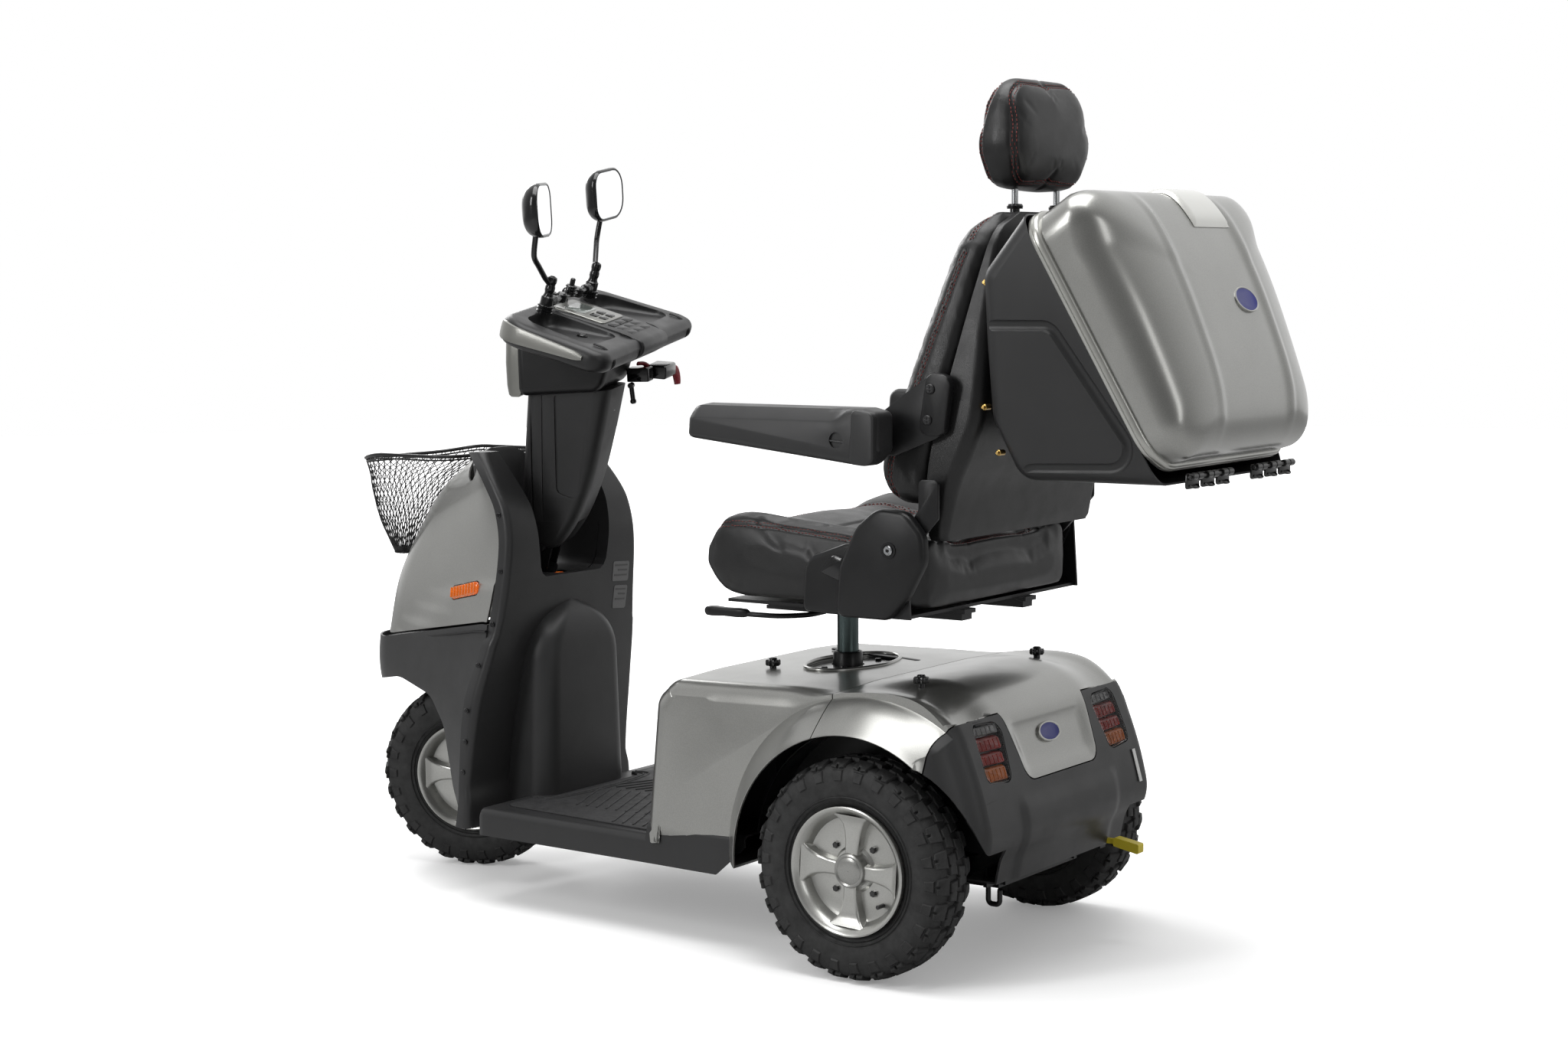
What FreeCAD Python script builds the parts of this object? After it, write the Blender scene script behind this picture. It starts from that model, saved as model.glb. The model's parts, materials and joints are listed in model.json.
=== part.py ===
import FreeCAD, Part
import math
import os
from FreeCAD import Placement, Rotation, Vector

# Three-wheeled mobility scooter. +X is the rider's left, -Y is the front, +Z is up, millimetres.
# Each sub-part is drawn in the axle frame: its origin is the floor point under the middle of the rear
# axle. Placements then move it to the model's own frame, and turn the steered pieces to the rest angle.

SIZES = {
    "rear_axle_y": 358,
    "wheelbase": 1005,
    "half_track": 281,
    "wheel_radius": 170,
    "tyre_width": 98,
    "rim_radius": 96,
    "axle_radius": 9,
    "running_gap": 0.05,
    "steer_rest_angle": 20,
    "rake_angle": 18,
    "pivot_y": -840,
    "pivot_z": 590,
    "stem_radius": 14,
    "tiller_pitch": 18.6,
    "wall": 4,
    "floor_top": 165,
    "floor_bottom": 119,
    "mat_thickness": 5,
    "deck_top": 430,
    "deck_half_width": 270,
    "overall_half_width": 328,
    "arch_radius": 206,
    "post_y": -209,
    "post_radius": 17.5,
    "post_bottom": 220,
    "post_top": 524,
    "seat_half_width": 250,
    "seat_bottom": 556,
    "seat_top": 672,
    "recline_y": 45,
    "recline_z": 652,
    "armrest_pivot_y": 10,
    "armrest_pivot_z": 813,
    "headrest_post_x": 65,
    "headrest_post_y": 137,
    "box_half_width": 245,
    "box_hinge_y": 484,
    "box_hinge_z": 772,
    "battery_length": 162,
    "battery_width": 132,
    "battery_height": 168,
    "crossbar_hole_radius": 4.5,
    "crossbar_hole_spacing": 120,
}

doc = FreeCAD.newDocument("mobility_scooter")
sizes = doc.addObject("Spreadsheet::Sheet", "sizes")
for row, (alias, number) in enumerate(SIZES.items(), start=1):
    sizes.set(f"A{row}", alias.replace("_", " "))
    sizes.set(f"B{row}", str(number))
    sizes.setAlias(f"B{row}", alias)
doc.recompute()


def size(alias):
    return float(sizes.get(alias))


X, Y, Z = Vector(1, 0, 0), Vector(0, 1, 0), Vector(0, 0, 1)
WALL = size("wall")
WHEEL_R = size("wheel_radius")
FRONT_Y = -size("wheelbase")
PIVOT = Vector(0, size("pivot_y"), size("pivot_z"))
RAKE = math.radians(size("rake_angle"))
STEER_AXIS = Vector(0, math.sin(RAKE), math.cos(RAKE))
CHASSIS = Placement(Vector(0, size("rear_axle_y"), 0), Rotation())
STEERED = CHASSIS.multiply(Placement(Vector(), Rotation(STEER_AXIS, size("steer_rest_angle")), PIVOT))
GAP = 0.5
NODES = []


# ---------------------------------------------------------------- shape helpers

def corner(point):
    """A point of an outline is (u, v) or (u, v, radius)."""
    return point if len(point) == 3 else (point[0], point[1], 0)


def outline(points, plane, at=0):
    """Closed wire of straight runs with rounded corners, in the plane 'xy', 'yz' or 'xz'."""
    lift = {
        "xy": lambda u, v: Vector(u, v, at),
        "yz": lambda u, v: Vector(at, u, v),
        "xz": lambda u, v: Vector(u, at, v),
    }[plane]
    count = len(points)
    ends = []
    for i in range(count):
        u, v, radius = corner(points[i])
        here = lift(u, v)
        before = lift(*corner(points[i - 1])[:2])
        after = lift(*corner(points[(i + 1) % count])[:2])
        if radius == 0:
            ends.append((here, None, here))
            continue
        to_before = (before - here).normalize()
        to_after = (after - here).normalize()
        half_angle = to_before.getAngle(to_after) / 2
        reach = radius / math.tan(half_angle)
        bisector = (to_before + to_after).normalize()
        middle = here + bisector * (radius / math.sin(half_angle) - radius)
        ends.append((here + to_before * reach, middle, here + to_after * reach))
    edges = []
    for i in range(count):
        start, middle, end = ends[i]
        if middle is not None:
            edges.append(Part.Arc(start, middle, end).toShape())
        following = ends[(i + 1) % count][0]
        if end.distanceToPoint(following) > 1e-6:
            edges.append(Part.LineSegment(end, following).toShape())
    return Part.Wire(edges)


def prism(points, plane, low, high):
    """Solid between two parallel copies of an outline."""
    travel = {"xy": Z, "yz": X, "xz": Y}[plane] * (high - low)
    return Part.Face(outline(points, plane, low)).extrude(travel)


def both_sides(points, plane, low, high):
    """A prism and its mirror image across the scooter's middle plane."""
    left = prism(points, plane, low, high)
    return Part.makeCompound([left, mirrored(left)])


def mirrored(shape):
    return shape.mirror(Vector(), X)


def block(x_low, x_high, y_low, y_high, z_low, z_high):
    return Part.makeBox(x_high - x_low, y_high - y_low, z_high - z_low, Vector(x_low, y_low, z_low))


def rod(start, end, radius):
    start, end = Vector(*start), Vector(*end)
    return Part.makeCylinder(radius, (end - start).Length, start, end - start)


def tube_path(points, radius, bend):
    """Round bar along straight runs joined by tangent arcs."""
    points = [Vector(*p) for p in points]
    edges = []
    start = points[0]
    for before, here, after in zip(points, points[1:], points[2:]):
        to_before = (before - here).normalize()
        to_after = (after - here).normalize()
        half_angle = to_before.getAngle(to_after) / 2
        reach = bend / math.tan(half_angle)
        bisector = (to_before + to_after).normalize()
        first = here + to_before * reach
        last = here + to_after * reach
        middle = here + bisector * (bend / math.sin(half_angle) - bend)
        edges.append(Part.LineSegment(start, first).toShape())
        edges.append(Part.Arc(first, middle, last).toShape())
        start = last
    edges.append(Part.LineSegment(start, points[-1]).toShape())
    path = Part.Wire(edges)
    ring = Part.Wire([Part.Circle(points[0], points[1] - points[0], radius).toShape()])
    return path.makePipeShell([ring], True, False)


def placed(shape, place):
    moved = shape.copy()
    moved.Placement = place.multiply(shape.Placement)
    return Part.makeCompound([moved])


def loft(wires):
    return Part.makeLoft(wires, True, True)


def fused(*shapes):
    result = shapes[0].fuse(list(shapes[1:]))
    return result.removeSplitter()


def soften(shape, radius, keep):
    """Round the edges whose middle passes the test."""
    chosen = [edge for edge in shape.Edges if keep(edge.CenterOfMass)]
    return shape.makeFillet(radius, chosen)


def finish_node(node, label, place):
    node.Label = label
    node.Placement = place
    NODES.append(node)
    return node


def feature(label, shape, place=CHASSIS):
    node = doc.addObject("Part::Feature", label)
    node.Shape = shape
    return finish_node(node, label, place)


def primitive(kind, name, formulas, base=Vector(), rotation=None):
    """Part primitive whose sizes are formulas of the sheet."""
    solid = doc.addObject("Part::" + kind, name)
    for prop, formula in formulas.items():
        solid.setExpression(prop, str(formula))
    solid.Placement = Placement(base, rotation or Rotation())
    return solid


def box_object(name, x, y, z, length, width, height):
    """Box whose six numbers are formulas of the sheet."""
    solid = primitive("Box", name, {"Length": length, "Width": width, "Height": height})
    for part, formula in zip("xyz", (x, y, z)):
        solid.setExpression("Placement.Base." + part, str(formula))
    return solid


def boolean(kind, label, base, tools):
    """Cut, or a fuse of several, of document objects."""
    if kind == "Cut":
        node = doc.addObject("Part::Cut", label)
        node.Base = base
        node.Tool = tools
    else:
        node = doc.addObject("Part::MultiFuse", label)
        node.Shapes = [base] + tools
    return node


def origin_plane(body, role):
    return next(item for item in body.Origin.OriginFeatures if item.Role == role)


def sketch_on(body, name, role, wire, offset=0):
    """Sketch on one of the body's own planes. The wire is drawn in the sketch's own u, v."""
    sketch = body.newObject("Sketcher::SketchObject", name)
    sketch.AttachmentSupport = [(origin_plane(body, role), "")]
    sketch.MapMode = "FlatFace"
    sketch.AttachmentOffset = Placement(Vector(0, 0, offset), Rotation())
    for edge in wire.Edges:
        curve = edge.Curve
        if isinstance(curve, Part.Circle):
            if edge.isClosed():
                sketch.addGeometry(Part.Circle(curve.Center, Z, curve.Radius))
                continue
            middle = edge.valueAt((edge.FirstParameter + edge.LastParameter) / 2)
            arc = Part.Arc(edge.Vertexes[0].Point, middle, edge.Vertexes[-1].Point)
            sketch.addGeometry(arc)
        else:
            sketch.addGeometry(Part.LineSegment(edge.Vertexes[0].Point, edge.Vertexes[-1].Point))
    return sketch


# ---------------------------------------------------------------- wheels

def wheel_place(x, y):
    """Wheels are drawn about the Z axis, with the outer face towards +Z."""
    turn = Rotation(Y, 90) if x >= 0 else Rotation(Y, -90)
    return Placement(Vector(x, y, WHEEL_R), turn)


def spun(body, name, wire):
    sketch = sketch_on(body, name + "_section", "XZ_Plane", wire)
    turned = body.newObject("PartDesign::Revolution", name)
    turned.Profile = sketch
    turned.ReferenceAxis = (sketch, ["V_Axis"])
    turned.Angle = 360
    sketch.Visibility = False
    return turned


def tyre(label, place):
    """Hollow tyre: rounded tread and side walls, and beads that sit on the rim."""
    half, outer, rim = size("tyre_width") / 2, size("wheel_radius"), size("rim_radius")
    bead = rim + 2
    body = doc.addObject("PartDesign::Body", label)
    section = [
        (bead, -27), (bead + 8, -28), (bead + 14, -half + 6, 8), (outer - 36, -half, 14),
        (outer - 6, -half + 8, 12), (outer, -18), (outer, 18), (outer - 6, half - 8, 12),
        (outer - 36, half, 14), (bead + 14, half - 6, 8), (bead + 8, 28), (bead, 27),
        (bead + 8, 22), (bead + 16, half - 16, 6), (outer - 26, half - 16, 10), (outer - 14, 18, 8),
        (outer - 14, -18, 8), (outer - 26, -half + 16, 10), (bead + 16, -half + 16, 6), (bead + 8, -22),
    ]
    spun(body, label + "_ring", outline(section, "xy"))
    return finish_node(body, label, place)


def rim(label, place):
    """Drop-centre rim with a dished face, four windows between wide spokes, and a hub with its cap."""
    outer = size("rim_radius") + 2 - GAP / 2
    hub, bore = 27, size("axle_radius")
    window_inner, window_outer = 34, 76
    section = [
        (bore, -34), (hub, -34), (hub, 14, 3), (window_outer, 22, 6), (outer - 12, 22, 3),
        (outer - 12, -24, 3), (outer - 7, -30), (outer - 7, -38), (outer + 4, -38), (outer + 4, -33),
        (outer, -30), (outer, 30), (outer + 5, 36), (outer + 5, 46), (outer - 2, 46, 2),
        (outer - 12, 34, 4), (window_outer, 34, 4), (hub, 30, 3), (hub, 40, 2), (bore, 40),
    ]
    body = doc.addObject("PartDesign::Body", label)
    spun(body, label + "_turned", outline(section, "xy"))
    doc.recompute()
    solid_volume = body.Shape.Volume
    spread = math.radians(26)
    narrow = math.radians(20)
    window = [
        (window_inner * math.cos(narrow), window_inner * math.sin(narrow), 5),
        (window_inner * math.cos(narrow), -window_inner * math.sin(narrow), 5),
        (window_outer * math.cos(spread), -window_outer * math.sin(spread), 10),
        (window_outer * 1.02, 0, 60),
        (window_outer * math.cos(spread), window_outer * math.sin(spread), 10),
    ]
    turn = Rotation(Z, 45)
    turned_window = []
    for point in window:
        where = turn.multVec(Vector(point[0], point[1], 0))
        turned_window.append((where.x, where.y, point[2]))
    sketch = sketch_on(body, label + "_window", "XY_Plane", outline(turned_window, "xy"))
    pocket = body.newObject("PartDesign::Pocket", label + "_pocket")
    pocket.Profile = sketch
    pocket.Type = "ThroughAll"
    pocket.SideType = "Two sides"
    pocket.Type2 = "ThroughAll"
    pattern = body.newObject("PartDesign::PolarPattern", label + "_windows")
    pattern.Originals = [pocket]
    pattern.Axis = (origin_plane(body, "Z_Axis"), [""])
    pattern.Angle = 360
    pattern.Occurrences = 4
    body.Tip = pattern
    doc.recompute()
    assert body.Shape.Volume < solid_volume - 1000, label + " has no windows"
    return finish_node(body, label, place)


def rear_wheels():
    for side, x in (("left", size("half_track")), ("right", -size("half_track"))):
        place = CHASSIS.multiply(wheel_place(x, 0))
        tyre("tyre_rear_" + side, place)
        rim("rim_rear_" + side, place)
        shaft = primitive("Cylinder", "axle_rear_" + side, {
            "Radius": "sizes.axle_radius",
            "Height": "sizes.half_track - 26",
        })
        inner = -(size("half_track") - 60)
        finish_node(shaft, "axle_rear_" + side, place.multiply(Placement(Vector(0, 0, inner), Rotation())))


def front_wheel():
    place = STEERED.multiply(wheel_place(1, FRONT_Y))
    place = place.multiply(Placement(Vector(0, 0, -1), Rotation()))
    tyre("tyre_front", place)
    rim("rim_front", place)
    axle = primitive("Cylinder", "axle_front", {"Radius": "sizes.axle_radius", "Height": 118})
    finish_node(axle, "axle_front", place.multiply(Placement(Vector(0, 0, -78), Rotation())))


# ---------------------------------------------------------------- frame, battery and drive

def along_axis(distance):
    """Point on the steering axis, counted upwards from the tiller pivot."""
    return PIVOT + STEER_AXIS * distance


def chassis_frame():
    """Welded tubes: two rails, cross members, seat tower, steering head tube and its down tube."""
    rails = []
    for side, x in (("left", "95"), ("right", "-125")):
        rails.append(box_object("rail_" + side, x, "-770", "sizes.floor_bottom + 6", "30", "885", "22"))
    for name, y in (("front", "-788"), ("middle", "-440"), ("tower", "-225"), ("rear", "115")):
        rails.append(box_object("cross_" + name, "-125", y, "sizes.floor_bottom + 6", "250", "32", "22"))
    tower = primitive("Cylinder", "tower", {"Radius": "sizes.post_radius + 7", "Height": 282})
    tower.Placement.Base = Vector(0, size("post_y"), 141)
    rails.append(tower)
    head = primitive("Cylinder", "head_tube", {"Radius": "sizes.stem_radius + 8", "Height": 120})
    head.Placement = Placement(along_axis(-186), Rotation(Z, STEER_AXIS))
    rails.append(head)
    down = doc.addObject("Part::Feature", "down_tube")
    down.Shape = tube_path([(0, -876, 434), (0, -786, 345), (0, -778, 140)], 13, 40)
    rails.append(down)
    welded = boolean("Fuse", "welded_frame", rails[0], rails[1:])
    bore = primitive("Cylinder", "tower_bore", {
        "Radius": "sizes.post_radius + sizes.running_gap",
        "Height": 400,
    })
    bore.Placement.Base = Vector(0, size("post_y"), size("post_bottom") - 20)
    head_bore = primitive("Cylinder", "head_bore", {
        "Radius": "sizes.stem_radius + sizes.running_gap",
        "Height": 160,
    })
    head_bore.Placement = Placement(along_axis(-206), Rotation(Z, STEER_AXIS))
    bores = boolean("Fuse", "frame_bores", bore, [head_bore])
    finish_node(boolean("Cut", "chassis_frame", welded, bores), "chassis_frame", CHASSIS)


def rear_crossbar():
    """Flat bar under the bumper with two bolt holes, and two hanger plates to the rear cross member."""
    bar = block(-180, 180, 152, 158, 138, 168)
    for x in (size("crossbar_hole_spacing") / 2, -size("crossbar_hole_spacing") / 2):
        bar = bar.cut(rod((x, 140, 153), (x, 170, 153), size("crossbar_hole_radius")))
    hangers = [block(x - 3, x + 3, 147.5, 152, 128, 168) for x in (-110, 110)]
    hook = tube_path([(170, 155, 138), (170, 155, 112), (170, 175, 112), (170, 175, 134)], 4, 7)
    ear = fused(block(-157, -139, 158, 182, 142, 149.5), rod((-148, 170, 145), (-148, 170, 166), 4))
    feature("rear_crossbar", fused(bar, *hangers, hook, ear))


def batteries():
    solids = []
    for side, x in (("left", "26"), ("right", "-26 - sizes.battery_width")):
        solids.append(box_object("battery_" + side, x, "-405", "sizes.floor_bottom + 72",
                                 "sizes.battery_width", "sizes.battery_length", "sizes.battery_height"))
    finish_node(boolean("Fuse", "batteries", solids[0], [solids[1]]), "batteries", CHASSIS)


def transaxle():
    """Gear case with the two axle tubes and the motor with its brake lying along the right side."""
    clear = size("axle_radius") + size("running_gap")
    case = rod((-45, 0, 170), (45, 0, 170), 62)
    tubes = rod((-215, 0, 170), (215, 0, 170), 21)
    motor = rod((-60, -75, 205), (110, -75, 205), 42)
    neck = block(-30, 30, -80, 0, 175, 225)
    brake = rod((-88, -75, 205), (-60, -75, 205), 30)
    feet = fused(block(96, 124, -16, 16, 147, 170), block(-124, -96, -16, 16, 147, 170))
    drilled = fused(case, tubes, motor, neck, brake, feet).cut(rod((-300, 0, 170), (300, 0, 170), clear))
    feature("transaxle", drilled)


def freewheel_lever():
    """Lever with a yellow grip that lets the drive run free, on the right end of the crossbar."""
    arm = fused(rod((-148, 170, 150), (-148, 170, 162), 9), block(-152, -144, 170, 215, 151, 159))
    grip = prism([(205, 149, 3), (250, 140, 3), (250, 156, 3), (205, 163, 3)], "yz", -157, -139)
    bore = rod((-148, 170, 140), (-148, 170, 180), 4 + size("running_gap"))
    feature("freewheel_lever", fused(arm, grip).cut(bore))


# ---------------------------------------------------------------- floor

def floor_pan():
    """Moulded tray under the feet, with skirts and a raised rear edge that meets the body cover."""
    top, low = size("floor_top"), size("floor_bottom")
    side = [(-794, low), (-283, low), (-226, 168), (-226, 188), (-425, 188), (-430, top), (-794, top, 6)]
    inner_side = [
        (-794 + WALL, low - 9), (-190, low - 9), (-190, 184), (-421, 184), (-426, top - WALL),
        (-794 + WALL, top - WALL),
    ]

    def plan(inset):
        front, middle, rear = 250 - inset, 262 - inset, 271 - inset
        return [
            (-front, -794, 0), (front, -794, 0), (middle, -446, 0), (rear, -283, 0), (rear, -200, 0),
            (-rear, -200, 0), (-rear, -283, 0), (-middle, -446, 0),
        ]

    outer = prism(side, "yz", -300, 300).common(prism(plan(0), "xy", 90, 200))
    inner = prism(inner_side, "yz", -300, 300).common(prism(plan(WALL), "xy", 90, 200))
    ribs = fused(*[block(x, x + 4, -788, -430, 157, top - 2) for x in (-60, 56)])
    tower_hole = rod((0, size("post_y"), 80), (0, size("post_y"), 220), 60)
    tube_hole = rod((0, -778, 140), (0, -778, 200), 17)
    feature("floor_pan", fused(outer.cut(inner), ribs).cut(tower_hole).cut(tube_hole))


def floor_mat():
    """Ribbed rubber mat on the floor, with raised cross ribs."""
    low = size("floor_top")
    high = low + size("mat_thickness")
    mat = prism([(-205, -748, 25), (205, -748, 25), (232, -440, 8), (-232, -440, 8)], "xy", low, high - 2)
    ribs = []
    for i in range(14):
        y = -732 + i * 20.5
        half = 150 + i * 4
        ribs.append(block(-half, half, y, y + 9, high - 2, high))
    feature("floor_mat", fused(mat, *ribs))


# ---------------------------------------------------------------- leg shield and front

def shield_section(z, half_width, rear, depth, inset=0):
    """Horizontal section of the leg shield: a shallow tray open to the front."""
    w = half_width - inset
    front = rear - depth
    r = 18 - inset
    back = rear - inset
    return outline([(-w, front), (w, front), (w, back, r), (-w, back, r)], "xy", z)


SHIELD_ROWS = [
    (119, 230, -798, 70), (165, 227, -812, 60), (194, 222, -836, 40), (330, 214, -820, 36),
    (491, 184, -788, 28), (601, 174, -778, 24), (672, 170, -792, 26), (752, 150, -846, 26),
]


def leg_shield():
    """Leg shield with the arched hump over the wheel and the open well that the tiller stands in."""
    outer = loft([shield_section(*row) for row in SHIELD_ROWS])
    inner_rows = [(z - 6 if i == 0 else z, w, rear, depth + 20, WALL)
                  for i, (z, w, rear, depth) in enumerate(SHIELD_ROWS)]
    inner = loft([shield_section(*row) for row in inner_rows])
    hump_face = [(-116, 119, 0), (116, 119, 0), (108, 380, 0), (108, 498, 100), (-108, 498, 100),
                 (-108, 380, 0)]

    def hump(inset):
        shrink = 1 - inset / 110
        front_view = [(u * shrink, v - (inset if v > 400 else 0), r and r - inset) for u, v, r in hump_face]
        side_view = [
            (-850, 119 - inset), (-752 - inset, 119 - inset), (-756 - inset, 380, 0),
            (-790 - inset, 505 - inset), (-850, 505 - inset),
        ]
        return prism(front_view, "xz", -900, -700).common(prism(side_view, "yz", -200, 200))

    top = SHIELD_ROWS[-1][0]
    prow = prow_section(top, 158, -866, -963, 90)
    deck = Part.Face(prow).extrude(Z * -WALL)

    def well(inset):
        w = 98 + inset
        return prism([(-w, -945 - inset), (w, -945 - inset), (w, -700), (-w, -700)], "xy", 542 - inset, 800)

    shell = outer.cut(inner).cut(hump(WALL))
    arch = hump(0).cut(hump(WALL)).cut(inner).cut(block(-300, 300, -900, -840, 100, 600))
    lining = well(WALL).common(fused(outer, prow_solid(4, 536, top)))
    shield = fused(shell, arch, deck, lining).cut(well(0))
    axis_hole = rod(along_axis(-120), along_axis(0), size("stem_radius") + 16)
    shield = shield.cut(axis_hole)
    shield = shield.cut(block(-300, 300, -796, -700, 100, size("floor_top") + GAP))
    feature("leg_shield", shield)


def shield_screws():
    """Countersunk screws along both edges of the leg shield."""
    heads = []
    for x, y, z in ((222, -850, 215), (214, -840, 300), (204, -826, 380), (186, -804, 480), (176, -794, 585)):
        screw = Part.makeCone(4, 5.5, 3, Vector(x + 3, y, z), X)
        heads += [screw, mirrored(screw)]
    feature("shield_screws", Part.makeCompound(heads))


def prow_section(z, half_width, rear, tip, nose_radius, inset=0):
    """Plan outline of the front: straight sides drawn in to a round nose."""
    w, r = half_width - inset, nose_radius - inset
    centre = tip + nose_radius
    run = rear - centre
    reach = math.hypot(w, run)
    swing = math.atan2(w, run) + math.acos(r / reach)
    touch = Vector(r * math.sin(swing), centre + r * math.cos(swing), z)
    left_touch = Vector(-touch.x, touch.y, z)
    left, right = Vector(w, rear, z), Vector(-w, rear, z)
    return Part.Wire([
        Part.LineSegment(left, touch).toShape(),
        Part.Arc(touch, Vector(0, centre - r, z), left_touch).toShape(),
        Part.LineSegment(left_touch, right).toShape(),
        Part.LineSegment(right, left).toShape(),
    ])


PROW_ROWS = [(412, 186, -842, -1190, 95), (518, 180, -816, -1163, 92), (603, 174, -805, -1115, 90),
             (687, 167, -822, -1051, 88), (752, 158, -872, -963, 86)]


def prow_solid(inset, low, high):
    solid = loft([prow_section(*row, inset) for row in PROW_ROWS])
    return solid.common(block(-300, 300, -1300, -700, low, high))


def front_panel():
    """Silver front hood above the nose, with slots for the indicators."""
    top = PROW_ROWS[-1][0] - WALL - GAP
    outer = prow_solid(0, 400, top)
    inner = prow_solid(WALL, 400, 800)
    lower_edge = prism([(-1300, 300), (-700, 300), (-700, 472), (-840, 470), (-1200, 414)], "yz", -300, 300)
    rear_cut = prism([(-900, 300), (-700, 300), (-700, 800), (-873, 800), (-873, 752), (-826, 672),
                      (-806, 601), (-820, 491), (-840, 440)], "yz", -300, 300)
    panel = outer.cut(inner).cut(lower_edge).cut(rear_cut)
    for side in (1, -1):
        panel = panel.cut(indicator_shape(side, 0.6))
    panel = panel.cut(block(-115, 115, -960, -700, 700, 760))
    feature("front_panel", panel)


def indicator_shape(side, grow=0):
    """Rounded bar lens that follows the slanting side of the hood."""
    lens = prism([(-944 - grow, 498 - grow, 9), (-862 + grow, 516 - grow, 9), (-862 + grow, 538 + grow, 9),
                  (-944 - grow, 520 + grow, 9)], "yz", 118, 200)
    skin = prow_solid(-4 - grow, 470, 580).cut(prow_solid(7, 470, 580))
    lens = lens.common(skin)
    return lens if side > 0 else mirrored(lens)


def front_indicators():
    feature("front_indicators", Part.makeCompound([indicator_shape(1), indicator_shape(-1)]))


NOSE_ROWS = [(119, 224, -866, -1120, 110), (330, 210, -866, -1206, 104), (412, 196, -866, -1210, 100),
             (474, 187, -846, -1188, 96)]


def front_nose():
    """Dark nose over the front wheel: closed sides with a round arch cut out for the tyre."""

    def solid(inset):
        return loft([prow_section(*row, inset) for row in NOSE_ROWS])

    shell = solid(0).cut(solid(WALL))
    above = prism([(-1300, 412), (-1200, 413.5), (-840, 469.5), (-700, 469.5), (-700, 800), (-1300, 800)],
                  "yz", -300, 300)
    arch = prism([(-1400, 0), (-862, 0), (-862, 128, 4), (-905, 180, 60), (-940, 285, 60), (-1000, 326, 40),
                  (-1090, 322, 30), (-1300, 322)], "yz", -300, 300)
    rear_cut = prism([(-872, 100), (-700, 100), (-700, 800), (-850, 800), (-852, 440), (-866, 330)],
                     "yz", -300, 300)
    feature("front_nose", shell.cut(above).cut(arch).cut(rear_cut))


def basket():
    """Tapered basket in front of the hood, open at the top: one thin skin stands for its wire mesh."""
    rows = [(550, 42, -1152, -1190), (620, 78, -1114, -1194), (690, 112, -1058, -1198),
            (742, 140, -988, -1202)]

    def skin(inset, drop):
        wires = []
        for z, half, rear, front in rows:
            w, b, f = half - inset, rear - inset, front + inset
            r = min(w, (b - f) / 2) * 0.8
            wires.append(outline([(-w, f, r), (w, f, r), (w, b, r * 0.5), (-w, b, r * 0.5)], "xy", z + drop))
        return loft(wires)

    hollow = skin(3, 0).cut(block(-300, 300, -1300, -900, 500, 553))
    rim_bar = skin(0, 0).cut(hollow)
    mouth = skin(3, 0).common(block(-300, 300, -1300, -900, 553, 760))
    feature("basket", rim_bar.cut(mouth))


# ---------------------------------------------------------------- body cover and bumper

def arch_cut(radius):
    left = rod((226, 0, WHEEL_R), (400, 0, WHEEL_R), radius)
    return Part.makeCompound([left, mirrored(left)])


def body_cover():
    """Silver front half of the rear body, over the batteries, with the front halves of the flares."""
    top, half = size("deck_top"), size("deck_half_width")

    def solid(inset):
        side = [(-430 + inset, 190 - inset), (-62, 190 - inset), (-62, top - inset), (-382, top - 4 - inset, 40),
                (-410 + inset, 385 - inset, 0)]
        plan = [(-half + inset, -440 + inset, 34), (half - inset, -440 + inset, 34), (half - inset, 0),
                (-half + inset, 0)]
        core = prism(side, "yz", -400, 400).common(prism(plan, "xy", 100, 500))
        ring = rod((0, 0, WHEEL_R), (size("overall_half_width") - inset, 0, WHEEL_R), 256 - inset)
        ring = fused(ring, mirrored(ring)).common(block(-400, 400, -400, -62, 190, 500))
        return fused(core, ring)

    floor_cut = block(-400, 400, -500, 0, 100, 190)
    shell = solid(0).cut(solid(WALL)).cut(arch_cut(size("arch_radius")))
    inner_arch = fused(*[rod((side * 222, 0, WHEEL_R), (side * 300, 0, WHEEL_R), 210) for side in (1, -1)])
    liner = inner_arch.cut(arch_cut(206)).common(solid(1)).cut(floor_cut)
    cover = fused(shell, liner)
    cover = cover.cut(seat_plate_blank(0.5, 0, 60)).cut(block(-400, 400, -62, 500, 0, 600))
    feature("body_cover", cover)


def seat_plate_blank(grow, low, high):
    top = size("deck_top")
    half_x, half_y = 105 + grow, 62 + grow
    y = size("post_y") + 10
    return prism([(-half_x, y - half_y, 55), (half_x, y - half_y, 55), (half_x, y + half_y, 55),
                  (-half_x, y + half_y, 55)], "xy", top - 20 + low, top - 20 + high)


def seat_plate():
    plate = seat_plate_blank(0, 12, 24)
    hole = rod((0, size("post_y"), 400), (0, size("post_y"), 450), size("post_radius") + 9)
    feature("seat_plate", plate.cut(hole))


TAIL_SIDE = [(-61, 430), (40, 440), (118, 424, 30), (150, 392, 10), (186, 192), (186, 180), (-61, 180)]


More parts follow.
